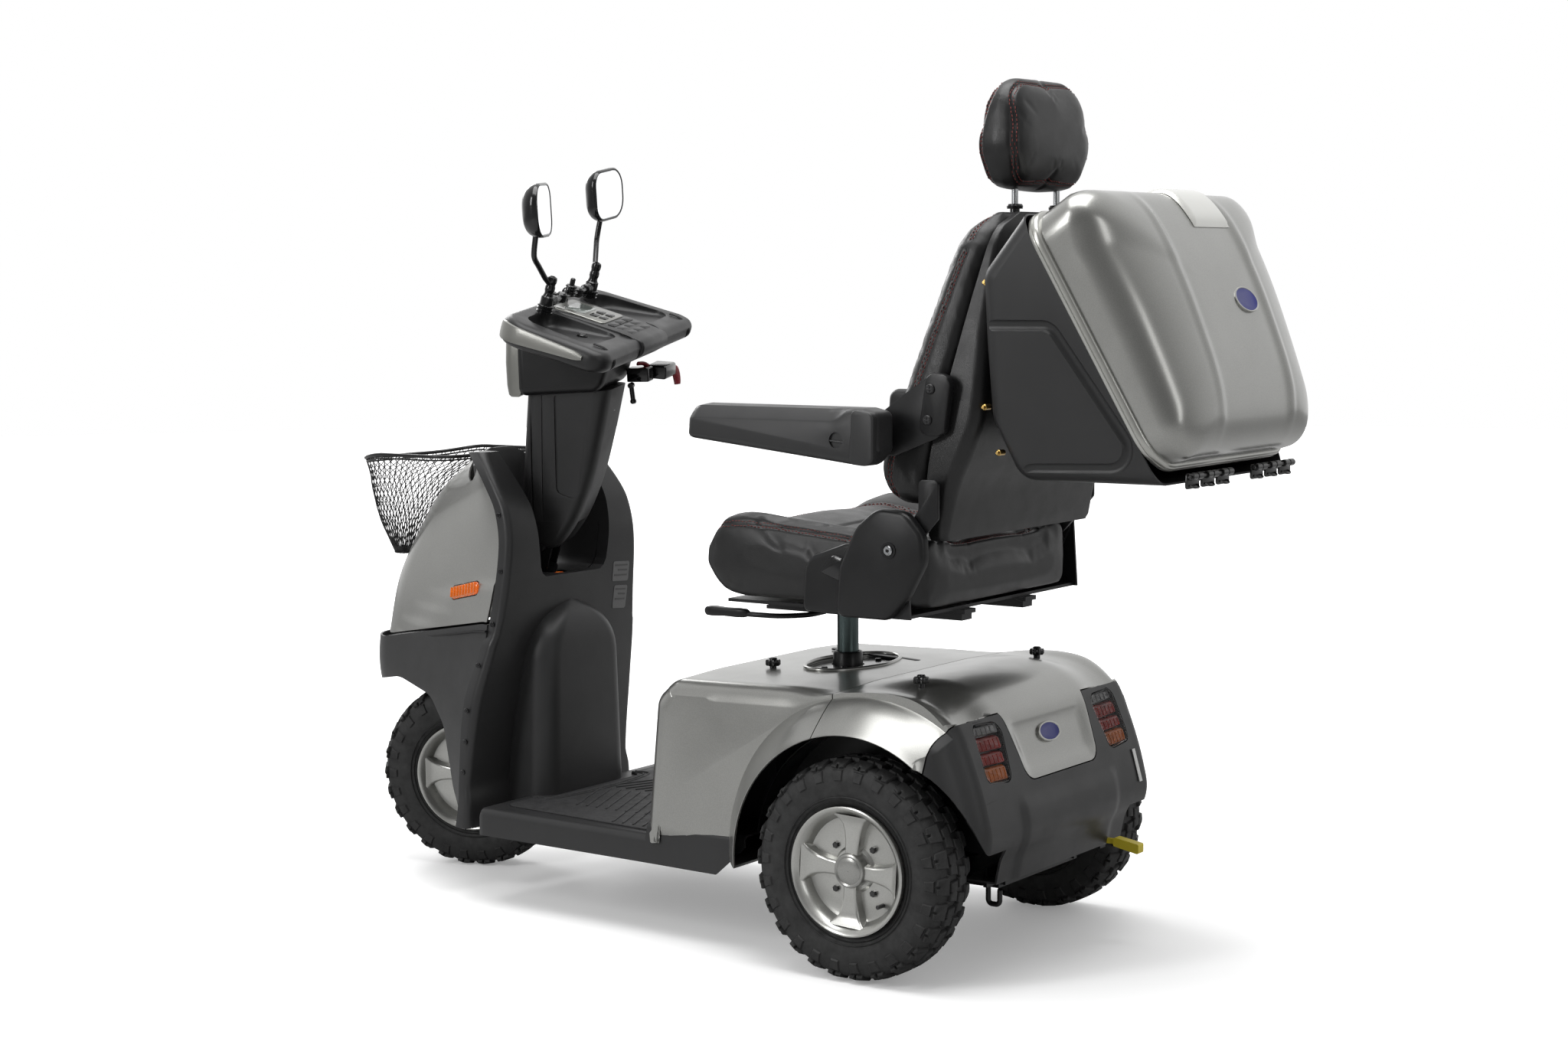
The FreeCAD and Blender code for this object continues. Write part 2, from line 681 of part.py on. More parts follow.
def tail_solid(inset):
    """Whole outer form of the tail: sloping back, round plan corners, flares over the wheels."""
    side = [(-61 - inset, 430 - inset), (40, 440 - inset), (118 - inset, 424 - inset, 30),
            (150 - inset, 392 - inset, 10), (190 - inset, 192 - inset), (190 - inset, 180 - 2 * inset),
            (-61 - inset, 180 - 2 * inset)]
    half = size("overall_half_width") - inset
    plan = [(-half, -61 - inset), (half, -61 - inset), (half, 196 - inset, 66), (-half, 196 - inset, 66)]
    core_half = size("deck_half_width") - inset
    tall = block(-core_half, core_half, -61 - inset, 200, 100, 500)
    ring = rod((-half, 0, WHEEL_R), (half, 0, WHEEL_R), 256 - inset)
    low = block(-half, half, 60, 200, 100, 372 - inset)
    form = fused(tall, ring, low)
    return form.common(prism(side, "yz", -400, 400)).common(prism(plan, "xy", 100, 500))


def tail_shell():
    return tail_solid(0).cut(tail_solid(WALL)).cut(arch_cut(size("arch_radius")))


def bumper_zone(grow=0):
    """Space behind and below the silver cover that the bumper takes."""
    low = prism([(60, 0), (400, 0), (400, 372 + grow), (150, 384 + grow), (120 - grow, 372 + grow),
                 (60 - grow, 190)], "yz", -400, 400)
    insert = prism([(-116 + grow, 300 + grow, 14), (116 - grow, 300 + grow, 14), (128 - grow, 400),
                    (-128 + grow, 400)], "xz", 100, 300)
    return low.cut(insert)


def rear_cover():
    """Silver rear deck with its sloping insert between the tail lamps."""
    feature("rear_cover", tail_shell().cut(bumper_zone(GAP)))


def lamp_blank(grow=0):
    lens = [(150 - grow, 312 - grow, 6), (214 + grow, 312 - grow, 6), (210 + grow, 376 + grow, 6),
            (158 - grow, 376 + grow, 6)]
    left = prism(lens, "xz", 100, 260)
    return left


def rear_bumper():
    """Dark bumper that wraps the tail, with a pocket for each lamp."""
    bumper = tail_shell().common(bumper_zone())
    window = lamp_blank(0.6)
    bumper = bumper.cut(window).cut(mirrored(window))
    feature("rear_bumper", bumper)


def tail_lamps():
    body = tail_solid(-2).cut(tail_solid(24)).common(lamp_blank())
    feature("tail_lamps", Part.makeCompound([body, mirrored(body)]))


def cover_knobs():
    """Four thumb screws that hold the cover down."""
    knobs = []
    for x, y, z in ((105, -285, 430), (180, 30, 440.5)):
        grip = rod((x, y, z), (x, y, z + 12), 11)
        collar = rod((x, y, z + 12), (x, y, z + 16), 8)
        knob = fused(grip, collar)
        knobs += [knob, mirrored(knob)]
    feature("cover_knobs", Part.makeCompound(knobs))


# ---------------------------------------------------------------- steering and tiller

def steering_fork():
    """Stem in the head tube, crown, one leg on the right of the wheel, and the tiller yoke on top."""
    stem = rod(along_axis(-235), along_axis(-40), size("stem_radius"))
    crown_low, crown_high = along_axis(-236), along_axis(-190)
    crown = prism([(-78, -30, 8), (24, -30, 8), (24, 30, 8), (-78, 30, 8)], "xy", 0, 22)
    crown.Placement = Placement(crown_low, Rotation(Z, STEER_AXIS))
    leg_top = crown_low + Vector(-66, 0, 10)
    leg = tube_path([leg_top, leg_top - STEER_AXIS * 110, (-66, FRONT_Y, WHEEL_R)], 12, 60)
    boss = rod((-80, FRONT_Y, WHEEL_R), (-52, FRONT_Y, WHEEL_R), 19)
    bore = rod((-90, FRONT_Y, WHEEL_R), (-40, FRONT_Y, WHEEL_R), size("axle_radius") + size("running_gap"))
    fork = fused(stem, crown, leg, boss).cut(bore)
    yoke_base = rod(along_axis(-46), along_axis(-36), 26)
    ears = []
    for x in (-26, 20):
        ear = block(x, x + 6, -16, 16, -38, 20)
        ear.Placement = Placement(PIVOT, Rotation(Z, STEER_AXIS))
        ears.append(ear)
    pin = rod(PIVOT + X * -44, PIVOT + X * 44, 6)
    feature("steering_fork", fused(fork, yoke_base, *ears, pin), STEERED)


def column_section(z, front, rear, half):
    return outline([(-half, front, 16), (half, front, 16), (half, rear, 22), (-half, rear, 22)], "xy", z)


def tiller_column():
    """Hollow column cover around the yoke, wider towards the head, with the collar under the head."""
    rows = [(588, -868, -800, 36), (640, -868, -768, 45), (705, -862, -738, 50), (868, -842, -690, 54)]
    column = loft([column_section(*row) for row in rows])
    slot = block(-33, 33, -900, -790, 500, 640)
    hollow = loft([column_section(z, f + 5, r - 5, h - 5) for z, f, r, h in rows[1:]])
    hollow = hollow.common(block(-100, 100, -900, -600, 640, 860))
    bore = rod(PIVOT + X * -60, PIVOT + X * 60, 6 + size("running_gap"))
    column = column.cut(slot).cut(hollow).cut(bore)
    collar = prism([(-846, 866, 10), (-694, 872, 20), (-680, 929), (-848, 985)], "yz", -72, 72)
    bracket = block(-76, -50, -690, -652, 868, 890)
    feature("tiller_column", fused(column, collar, bracket), STEERED)


HEAD_PLACE = Placement(Vector(0, -722, 989), Rotation(X, -size("tiller_pitch")))


def in_head(shape):
    """Move a shape drawn on the head's own flat top plane to its tilted place."""
    return placed(shape, HEAD_PLACE)


def head_outline(inset=0):
    front, rear = 226 - inset, 250 - inset
    return [(-front, -98 + inset, 50), (front, -98 + inset, 50), (rear, 108 - inset, 26),
            (-rear, 108 - inset, 26)]


HAZARD_SPOT = (112, 17)


def tiller_head():
    """Wrap-around handle with a sloping palm well each side of the middle pod for the dash."""
    grip = prism(head_outline(), "xy", -38, 0)
    plan = prism([(82, -62, 24), (186, -62, 30), (208, 66, 22), (82, 66, 24)], "xy", -30, 20)
    slope = prism([(-70, -25), (0, -14), (70, -5), (70, 20), (-70, 20)], "yz", 0, 300)
    well = plan.common(slope)
    taper = prism([(-120, -60), (130, -60), (130, -30), (80, -30), (-120, -46)], "yz", -300, 300)
    grip = grip.cut(well).cut(mirrored(well)).cut(taper)
    dash_pocket = block(-60, 60, -64, 64, -4, 10)
    button_hole = rod((*HAZARD_SPOT, -27), (*HAZARD_SPOT, 10), 9)
    trim_left = trim_shape(0.3)
    head = grip.cut(dash_pocket).cut(button_hole).cut(trim_left).cut(mirrored(trim_left))
    collar = prism([(-846, 866, 10), (-694, 872, 20), (-680, 929), (-848, 985)], "yz", -72.5, 72.5)
    feature("tiller_head", in_head(head).cut(collar), STEERED)


def trim_shape(grow=0):
    """Silver wedge along the outer side of the head, tall at the front and round at the rear."""
    face = [(-90 - grow, -36 - grow, 4), (70 + grow, -22 - grow, 6), (70 + grow, -8 + grow, 6),
            (-90 - grow, -2 + grow, 4)]
    wedge = prism(face, "yz", 180, 280)
    band = prism(head_outline(-2), "xy", -60, 10).cut(prism(head_outline(8 + grow), "xy", -60, 10))
    return wedge.common(band)


def tiller_trims():
    """Two silver side wedges and the silver nose under the front of the head."""
    wedge = in_head(trim_shape())
    nose = prism([(-872, 884, 14), (-862, 862, 6), (-849, 862), (-849, 984), (-866, 955)], "yz", -62, 62)
    feature("tiller_trims", Part.makeCompound([wedge, mirrored(wedge), nose]), STEERED)


def dash_panel():
    """Dash plate with the display window and four membrane keys."""
    plate = prism([(-59.5, -63.5, 8), (59.5, -63.5, 8), (59.5, 63.5, 8), (-59.5, 63.5, 8)], "xy", -3.6, 1)
    keys = [block(x, x + 18, y, y + 14, 1, 2) for x in (-24, 4) for y in (0, 20)]
    feature("dash_panel", in_head(fused(plate, *keys)), STEERED)


def hazard_button():
    button = rod((*HAZARD_SPOT, -24.8), (*HAZARD_SPOT, -9), 8.95)
    feature("hazard_button", in_head(button), STEERED)


MIRROR_BASE = Vector(112, -58, 22)


def mirror_clamps():
    """Cross tube on two posts at the front of the head, with a bored clamp at each end."""
    bar = rod((-100, -58, 22), (100, -58, 22), 6)
    posts = [rod((x, -80, 0.2), (x, -80, 12), 9) for x in (-40, 40)]
    feet = [tube_path([(x, -80, 6), (x, -80, 22), (x, -58, 22)], 5, 6) for x in (-40, 40)]
    knob = rod((0, -58, 22), (0, -58, 44), 9)
    clamps = []
    for x in (-112, 112):
        clamps.append(rod((x, -58, 8), (x, -58, 34), 12))
    body = fused(bar, *posts, *feet, knob, *clamps)
    for x in (-112, 112):
        body = body.cut(rod((x, -58, 4), (x, -58, 40), 5 + size("running_gap")))
    feature("mirror_clamps", in_head(body), STEERED)


def mirror_base():
    return HEAD_PLACE.multVec(MIRROR_BASE)


def mirrors():
    """Per side: a bent stem, a domed shell and the glass set into the shell."""
    base = mirror_base()
    up = HEAD_PLACE.Rotation.multVec(Z)
    foot = base - up * 12
    ball = Vector(162, -762, 1150)
    stem = tube_path([foot, base + up * 26, Vector(158, -770, 1110), ball], 5, 12)
    centre = Vector(166, -752, 1184)
    turn = Placement(centre, Rotation(Z, 8))

    def face(inset):
        return [(-54 + inset, -44 + inset, 26 - inset), (54 - inset, -40 + inset, 34 - inset),
                (54 - inset, 50 - inset, 30 - inset), (-54 + inset, 46 - inset, 26 - inset)]

    front = outline([(u * 0.62, v * 0.62, r * 0.62) for u, v, r in face(0)], "xz", -22)
    middle = outline(face(2), "xz", -4)
    rear = outline(face(0), "xz", 10)
    shell = placed(loft([front, middle, rear]).cut(prism(face(4), "xz", 4, 20)), turn)
    socket = Part.makeSphere(9, ball)
    shell = shell.cut(socket)
    glass = placed(prism(face(4.3), "xz", 4.2, 8), turn)
    stem = fused(stem, Part.makeSphere(8.7, ball))
    shell = shell.cut(Part.makeCone(6, 18, 26, ball, Z * -1))
    for side, flip in (("left", False), ("right", True)):
        for name, shape in (("stem", stem), ("shell", shell), ("glass", glass)):
            feature(f"mirror_{name}_{side}", mirrored(shape) if flip else shape, STEERED)


def throttle_lever():
    """Finger lever under the right side of the head, with a red blade that hooks down at its end."""
    hub = rod((-86, -668, 880), (-77, -668, 880), 9)
    boxed = prism([(-668, 872, 3), (-636, 868, 3), (-632, 888, 3), (-668, 890, 3)], "yz", -142, -86)
    blade = prism([(-640, 850, 4), (-628, 848, 4), (-628, 866), (-640, 868)], "yz", -168, -126)
    feature("throttle_lever", fused(hub, boxed, blade), STEERED)


def tilt_lever():
    """Rod that frees the tiller's tilt lock, below the back of the collar."""
    rod_down = tube_path([(-24, -676, 864), (-24, -676, 852), (-24, -674, 836)], 4, 4)
    pivot = rod((-30, -676, 866), (-18, -676, 866), 5)
    feature("tilt_lever", fused(rod_down, pivot), STEERED)


# ---------------------------------------------------------------- seat base and seat

def seat_post():
    post = primitive("Cylinder", "seat_post", {
        "Radius": "sizes.post_radius",
        "Height": "sizes.post_top - sizes.post_bottom",
    })
    place = CHASSIS.multiply(Placement(Vector(0, size("post_y"), size("post_bottom")), Rotation()))
    finish_node(post, "seat_post", place)


def seat_rails():
    """Swivel plate with the two lower slide rails."""
    low = size("post_top")
    plate = block(-110, 110, size("post_y") - 85, size("post_y") + 85, low, low + 6)
    rails = [block(x - 15, x + 15, -290, 72, low + 6, low + 16) for x in (-95, 95)]
    feature("seat_rails", fused(plate, *rails))


RECLINE_LEVER = (-64, 586)


def seat_pan():
    """Upper rails, the pan under the cushion, and the side plates that carry the recliner pivots."""
    low = size("post_top") + 16 + GAP
    rails = [block(x - 17, x + 17, -298, 78, low, low + 7) for x in (-95, 95)]
    pan = block(-218, 218, -292, 66, low + 7, low + 12)
    y, z = size("recline_y"), size("recline_z")
    plate = prism([(y - 122, low + 7), (y + 28, low + 7), (y + 20, z + 18, 16), (y - 22, z + 18, 16),
                   (y - 50, 600, 10), (y - 122, 600, 8)], "yz", 257.5, 261.5)
    plate = plate.cut(rod((240, *RECLINE_LEVER), (280, *RECLINE_LEVER), 4 + size("running_gap")))
    foot = block(210, 261.5, y - 50, y + 21, low + 7, low + 12)
    pin = rod((261, y, z), (251, y, z), 8)
    sides = fused(plate, foot, pin)
    feature("seat_pan", fused(pan, *rails, sides, mirrored(sides)))


def recliner_covers():
    """Plastic covers over the recliner plates, one each side."""
    y, z = size("recline_y"), size("recline_z")
    shape = [(y - 66, 560, 12), (y + 20, 560, 12), (y + 58, z + 14, 30), (y + 6, z + 74, 40),
             (y - 66, z + 26, 30), (y - 92, 610, 16)]
    left = prism(shape, "yz", 262, 277)
    left = soften(left, 6, lambda p: p.x > 276.9)
    feature("recliner_covers", Part.makeCompound([left, mirrored(left)]))


def seat_levers():
    """Swivel lever under the left front of the seat and the recline paddle before the left cover."""
    low = size("post_top")
    arm = tube_path([(111, -180, low + 3), (170, -180, low + 3), (214, -225, low + 5), (214, -262, low + 5)],
                    4, 12)
    grip = block(207, 221, -322, -262, low - 1, low + 10)
    feature("swivel_lever", fused(arm, soften(grip, 3, lambda p: True)))
    paddle = prism([(-128, 590, 6), (-58, 572, 6), (-54, 598, 6), (-112, 622, 8)], "yz", 262, 273)
    pin = rod((255, *RECLINE_LEVER), (263, *RECLINE_LEVER), 4)
    feature("recline_lever", fused(paddle, pin))


def seat_cushion():
    half, low, top = size("seat_half_width"), size("seat_bottom"), size("seat_top")
    side = [(-330, low + 4, 26), (60, low - 3, 10), (76, top - 18, 16), (-180, top - 14, 60),
            (-262, top + 12, 50), (-326, top - 8, 36)]
    cushion = prism(side, "yz", -half, half)
    cushion = soften(cushion, 14, lambda p: abs(abs(p.x) - half) < 0.1)
    feature("seat_cushion", cushion)


def back_form(front, rear, inset=0):
    """Backrest slice between two side lines, in the tapering front view of the back."""
    side = front + rear
    view = [(-244 + inset, 714 + inset, 20), (244 - inset, 714 + inset, 20), (244 - inset, 800, 60),
            (208 - inset, 1110, 30), (160 - inset, 1160 - inset, 30), (-160 + inset, 1160 - inset, 30),
            (-208 + inset, 1110, 30), (-244 + inset, 800, 60)]
    return prism(side, "yz", -260, 260).common(prism(view, "xz", -100, 260))


def back_cushion():
    front = [(22, 714, 10), (-4, 772, 40), (96, 1080, 60), (128, 1160, 20)]
    rear = [(176, 1160, 12), (166, 1100), (84, 772), (84, 714)]
    cushion = back_form(front, rear)
    for x in (-size("headrest_post_x"), size("headrest_post_x")):
        cushion = cushion.cut(rod((x, size("headrest_post_y"), 1030), (x, size("headrest_post_y"), 1200), 8))
    feature("back_cushion", cushion)


def back_panel():
    """Rear shell of the back with the skirt, recliner arms, armrest brackets and headrest guides."""
    y, z = size("recline_y"), size("recline_z")
    front = [(84.5, 664), (84.5, 772), (166.5, 1100), (176.5, 1150)]
    rear = [(183, 1150), (183, 790, 40), (130, 740, 30), (120, 664)]
    view = [(-236, 664, 12), (236, 664, 12), (240, 800, 40), (204, 1105, 30), (158, 1150, 20),
            (-158, 1150, 20), (-204, 1105, 30), (-240, 800, 40)]
    panel = prism(front + rear, "yz", -260, 260).common(prism(view, "xz", 0, 260))
    arm_shape = [(y - 16, z - 16, 12), (y + 16, z - 16, 12), (118, 700), (118, 760), (86, 760), (86, 712)]
    arm = prism(arm_shape, "yz", 251.5, 257)
    tie = block(225, 257, 92, 112, 700, 740)
    bore = rod((240, y, z), (270, y, z), 8 + size("running_gap"))
    arm = fused(arm, tie).cut(bore)
    ay, az = size("armrest_pivot_y"), size("armrest_pivot_z")
    plate = prism([(84, 826, 10), (122, 826, 10), (134, 912, 14), (96, 912, 14)], "yz", 245, 250.5)
    lug = block(225, 246, 118, 130, 840, 900)
    reach = prism([(ay - 10, az + 10), (ay + 8, az - 12), (118, 846), (118, 890), (88, 890)], "yz", 250.5, 261)
    boss = rod((250.5, ay, az), (261, ay, az), 15)
    pin = rod((261, ay, az), (300, ay, az), 8)
    bracket = fused(plate, lug, reach, boss, pin)
    guides = []
    for x in (-size("headrest_post_x"), size("headrest_post_x")):
        outer = rod((x, size("headrest_post_y"), 1036), (x, size("headrest_post_y"), 1163), 7.5)
        inner = rod((x, size("headrest_post_y"), 1030), (x, size("headrest_post_y"), 1170),
                    5 + size("running_gap"))
        guides.append(outer.cut(inner))
    steel = fused(arm, bracket)
    panel = panel.cut(steel).cut(mirrored(steel))
    feature("back_panel", Part.makeCompound([panel, steel, mirrored(steel)] + guides))


def armrests():
    ay, az = size("armrest_pivot_y"), size("armrest_pivot_z")
    side = [(-298, 812, 10), (-60, 786, 0), (20, 778, 20), (44, 812, 20), (44, 862, 14), (-298, 862, 16)]
    arm = prism(side, "yz", 262, 318)
    arm = soften(arm, 6, lambda p: p.x > 317.9 or p.x < 262.1)
    arm = arm.cut(rod((255, ay, az), (301, ay, az), 8 + size("running_gap")))
    feature("armrest_left", arm)
    feature("armrest_right", mirrored(arm))


def headrest():
    side = [(98, 1186, 18), (172, 1186, 24), (180, 1290, 60), (164, 1360, 26), (112, 1360, 30), (92, 1280, 60)]
    pad = prism(side, "yz", -130, 130)
    pad = soften(pad, 22, lambda p: abs(abs(p.x) - 130) < 0.1)
    y = size("headrest_post_y")
    posts = []
    for x in (-size("headrest_post_x"), size("headrest_post_x")):
        pad = pad.cut(rod((x, y, 1150), (x, y, 1240), 5.3))
        posts.append(rod((x, y, 1044), (x, y, 1238), 5))
    feature("headrest", pad)
    feature("headrest_posts", Part.makeCompound(posts))


# ---------------------------------------------------------------- storage box

BOX_SPLIT = [(262, 1138), (440, 792)]


def box_body():
    """Deep tray behind the backrest. Its open mouth slants down to the rear."""
    half = size("box_half_width") - 5

    def solid(inset):
        side = [(186 + inset, 1120 - inset, 24), (262, 1138 if inset else 1138), (440, 792),
                (476 - inset, 786), (476 - inset, 762 + inset, 8), (262, 760 + inset, 30),
                (196 + inset, 850, 40), (186 + inset, 1000)]
        plan = [(-half + inset, 150 + inset, 30), (half - inset, 150 + inset, 30), (half - inset, 520),
                (-half + inset, 520)]
        return prism(side, "yz", -300, 300).common(prism(plan, "xy", 700, 1200))

    mouth = prism([(262, 1200), (262, 1138), (440, 792), (472, 787), (600, 787), (600, 1200)], "yz", -300, 300)
    feature("box_body", solid(0).cut(solid(WALL)).cut(mouth))


def box_lid():
    """Deep silver lid over the slanting mouth, hinged at its lower rear edge."""
    half = size("box_half_width")

    def solid(inset):
        side = [(263, 1141), (302, 1172 - inset, 24), (356, 1170 - inset, 60), (404 - inset, 1136 - inset, 50),
                (492 - inset, 900, 40), (494 - inset, 830, 40), (478 - inset, 790 + inset),
                (444, 795)]
        w = half - inset
        rear_view = [(-w, 700), (w, 700), (w, 1000), (w - 14, 1172 - inset, 50), (14 - w, 1172 - inset, 50),
                     (-w, 1000)]
        plan = [(-w, 200), (w, 200), (w, 495 - inset, 46), (-w, 495 - inset, 46)]
        form = prism(side, "yz", -w, w).common(prism(rear_view, "xz", 200, 600))
        return form.common(prism(plan, "xy", 700, 1200))

    outer = solid(0)
    mouth = prism([(200, 1142), (264, 1140.5), (444.5, 794.5), (478, 789), (478, 700), (200, 700)],
                  "yz", -300, 300)
    hollow = solid(WALL).common(prism([(250, 1136), (700, 1300), (700, 700), (440, 790)], "yz", -300, 300))
    opening = prism([(264, 1139), (440, 800), (470, 800), (470, 900), (300, 1150)], "yz",
                    -half + WALL, half - WALL)
    feature("box_lid", outer.cut(hollow).cut(opening).cut(mouth))


def box_hinges():
    """Two hinge groups below the lid's rear edge: knuckles on a leaf screwed to the box."""
    y, z = size("box_hinge_y"), size("box_hinge_z")
    groups = []
    for x in (35, -183):
        leaf = block(x, x + 150, y - 7.5, y - 4, z - 12, z + 8)
        for offset in (0, 50, 100):
            leaf = leaf.fuse(rod((x + offset, y, z), (x + offset + 34, y, z), 5.5))
        groups.append(leaf.removeSplitter())
    feature("box_hinges", Part.makeCompound(groups))


def box_latch():
    """Pale flap catch on the crown of the lid."""
    flap = prism([(300, 1173.5, 2), (352, 1172.5, 2), (376, 1160, 2), (380, 1166, 2), (354, 1178, 2),
                  (300, 1179, 2)], "yz", -80, 22)
    feature("box_latch", flap)


# ---------------------------------------------------------------- assembly

def build():
    rear_wheels()
    front_wheel()
    chassis_frame()
    rear_crossbar()
    batteries()
    transaxle()
    freewheel_lever()
    floor_pan()
    floor_mat()
    leg_shield()
    shield_screws()
    front_panel()
    front_indicators()
    front_nose()
    basket()
    body_cover()
    seat_plate()
    rear_cover()
    rear_bumper()
    tail_lamps()
    cover_knobs()
    steering_fork()
    tiller_column()
    tiller_head()
    tiller_trims()
    dash_panel()
    hazard_button()
    mirror_clamps()
    mirrors()
    throttle_lever()
    tilt_lever()
    seat_post()
    seat_rails()
    seat_pan()
    recliner_covers()
    seat_levers()
    seat_cushion()
    back_cushion()
    back_panel()
    armrests()
    headrest()
    box_body()
    box_lid()
    box_hinges()
    box_latch()
    doc.recompute()


def check():
    """Stop on any failed object, or on a sub-part with no sound solid."""
    failed = [item.Label for item in doc.Objects if {"Invalid", "Error"} & set(item.State)]
    for node in NODES:
        shape = node.Shape
        if shape.isNull() or not shape.isValid() or not shape.Solids:
            failed.append(node.Label)
    if failed:
        raise RuntimeError("failed: " + ", ".join(failed))


build()
check()
os.makedirs("parts", exist_ok=True)
for node in NODES:
    node.Shape.exportStep(os.path.join("parts", node.Label + ".step"))
print(len(NODES), "sub-parts written")
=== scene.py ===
import json
import math

import bmesh
import bpy
import numpy as np
from mathutils import Matrix, Vector
from mathutils.bvhtree import BVHTree
from mathutils.kdtree import KDTree


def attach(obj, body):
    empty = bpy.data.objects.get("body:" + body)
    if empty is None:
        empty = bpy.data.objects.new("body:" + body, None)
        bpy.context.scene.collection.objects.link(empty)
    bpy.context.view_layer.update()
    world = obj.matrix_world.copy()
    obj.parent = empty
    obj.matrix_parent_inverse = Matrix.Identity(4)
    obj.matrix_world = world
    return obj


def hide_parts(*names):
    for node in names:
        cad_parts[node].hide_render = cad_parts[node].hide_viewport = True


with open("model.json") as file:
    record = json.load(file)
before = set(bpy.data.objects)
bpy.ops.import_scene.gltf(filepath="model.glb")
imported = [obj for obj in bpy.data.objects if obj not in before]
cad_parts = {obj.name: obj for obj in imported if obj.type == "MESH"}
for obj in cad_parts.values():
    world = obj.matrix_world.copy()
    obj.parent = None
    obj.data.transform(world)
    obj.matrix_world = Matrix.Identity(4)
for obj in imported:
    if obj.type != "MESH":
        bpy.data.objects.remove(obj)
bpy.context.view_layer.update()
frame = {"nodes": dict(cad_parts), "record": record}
nodes = frame["nodes"]

# Lengths below are millimetres in the axle frame: its origin is the floor point under the middle of
# the rear axle. at() takes them to the row frame in metres.
AXLE_Y = 0.358
STEER_AXIS = Vector((0, math.sin(math.radians(18)), math.cos(math.radians(18))))
PIVOT = Vector((0, -0.482, 0.590))
TO_ROW = Matrix.Translation((0, AXLE_Y, 0)) @ Matrix.Scale(0.001, 4)
TURN = Matrix.Translation(PIVOT) @ Matrix.Rotation(math.radians(20), 4, STEER_AXIS) @ Matrix.Translation(-PIVOT)
STEERED = TURN @ TO_ROW
HEAD = STEERED @ Matrix.Translation((0, -722, 989)) @ Matrix.Rotation(math.radians(-18.6), 4, "X")
X, Y, Z = Vector((1, 0, 0)), Vector((0, 1, 0)), Vector((0, 0, 1))


def at(x, y, z):
    return TO_ROW @ Vector((x, y, z))


# ---------------------------------------------------------------- camera, light and floor

def camera():
    """Camera at the viewing angle of the photograph."""
    azimuth, elevation, roll = (math.radians(a) for a in (124.609, 5.438, -0.267))
    back = Vector((math.sin(azimuth) * math.cos(elevation), -math.cos(azimuth) * math.cos(elevation),
                   math.sin(elevation)))
    right = (-back).cross(Z).normalized()
    up = right.cross(-back)
    right, up = (right * math.cos(roll) + up * math.sin(roll), up * math.cos(roll) - right * math.sin(roll))
    data = bpy.data.cameras.new("camera")
    data.lens, data.sensor_width, data.sensor_fit = 60.43, 36, "HORIZONTAL"
    data.clip_end = 50
    cam = bpy.data.objects.new("camera", data)
    cam.matrix_world = Matrix.Translation((3.5633, 2.4822, 1.0645)) @ Matrix((right, up, back)).transposed().to_4x4()
    bpy.context.scene.collection.objects.link(cam)
    bpy.context.scene.camera = cam


def area_light(name, place, target, size, power):
    data = bpy.data.lights.new(name, "AREA")
    data.shape, data.size, data.size_y = "RECTANGLE", size[0], size[1]
    data.energy = power
    light = bpy.data.objects.new(name, data)
    light.location = place
    light.rotation_euler = (Vector(target) - Vector(place)).to_track_quat("-Z", "Y").to_euler()
    bpy.context.scene.collection.objects.link(light)


def studio():
    """Soft lights over a pale floor, in a surround that looks white and lights the left rear least."""
    world = bpy.data.worlds.new("studio")
    world.use_nodes = True
    tree = world.node_tree
    background = tree.nodes["Background"]
    around, dot = tree.nodes.new("ShaderNodeTexCoord"), tree.nodes.new("ShaderNodeVectorMath")
    ramp = tree.nodes.new("ShaderNodeValToRGB")
    dot.operation, dot.inputs[1].default_value = "DOT_PRODUCT", (-0.45, -0.25, 0.12)
    lift_up = tree.nodes.new("ShaderNodeMath")
    lift_up.inputs[1].default_value = 0.5
    for element, (place, level) in zip(ramp.color_ramp.elements, ((0.1, 0.2), (0.9, 0.95))):
        element.position, element.color = place, (level, level, level, 1)
    tree.links.new(around.outputs["Generated"], dot.inputs[0])
    tree.links.new(dot.outputs["Value"], lift_up.inputs[0])
    tree.links.new(lift_up.outputs[0], ramp.inputs[0])
    tree.links.new(ramp.outputs[0], background.inputs[0])
    sweep = tree.nodes.new("ShaderNodeBackground")
    sweep.inputs[0].default_value = (1, 1, 1, 1)
    path, mix = tree.nodes.new("ShaderNodeLightPath"), tree.nodes.new("ShaderNodeMixShader")
    tree.links.new(path.outputs["Is Camera Ray"], mix.inputs[0])
    tree.links.new(background.outputs[0], mix.inputs[1])
    tree.links.new(sweep.outputs[0], mix.inputs[2])
    tree.links.new(mix.outputs[0], tree.nodes["World Output"].inputs[0])
    bpy.context.scene.world = world
    bpy.context.scene.view_settings.view_transform = "Standard"
    area_light("top", (0.3, 0.2, 3.6), (0, 0.1, 0.5), (2.6, 2.6), 110)
    area_light("strip", (2.9, -0.9, 1.9), (0, 0.2, 0.7), (0.5, 1.9), 38)
    area_light("rear_strip", (1.1, 3.4, 1.5), (0, 0.5, 0.6), (0.6, 1.6), 9)
    area_light("front", (-1.8, -3.2, 2.4), (0, -0.3, 0.6), (1.6, 1.6), 34)
    pale_floor()


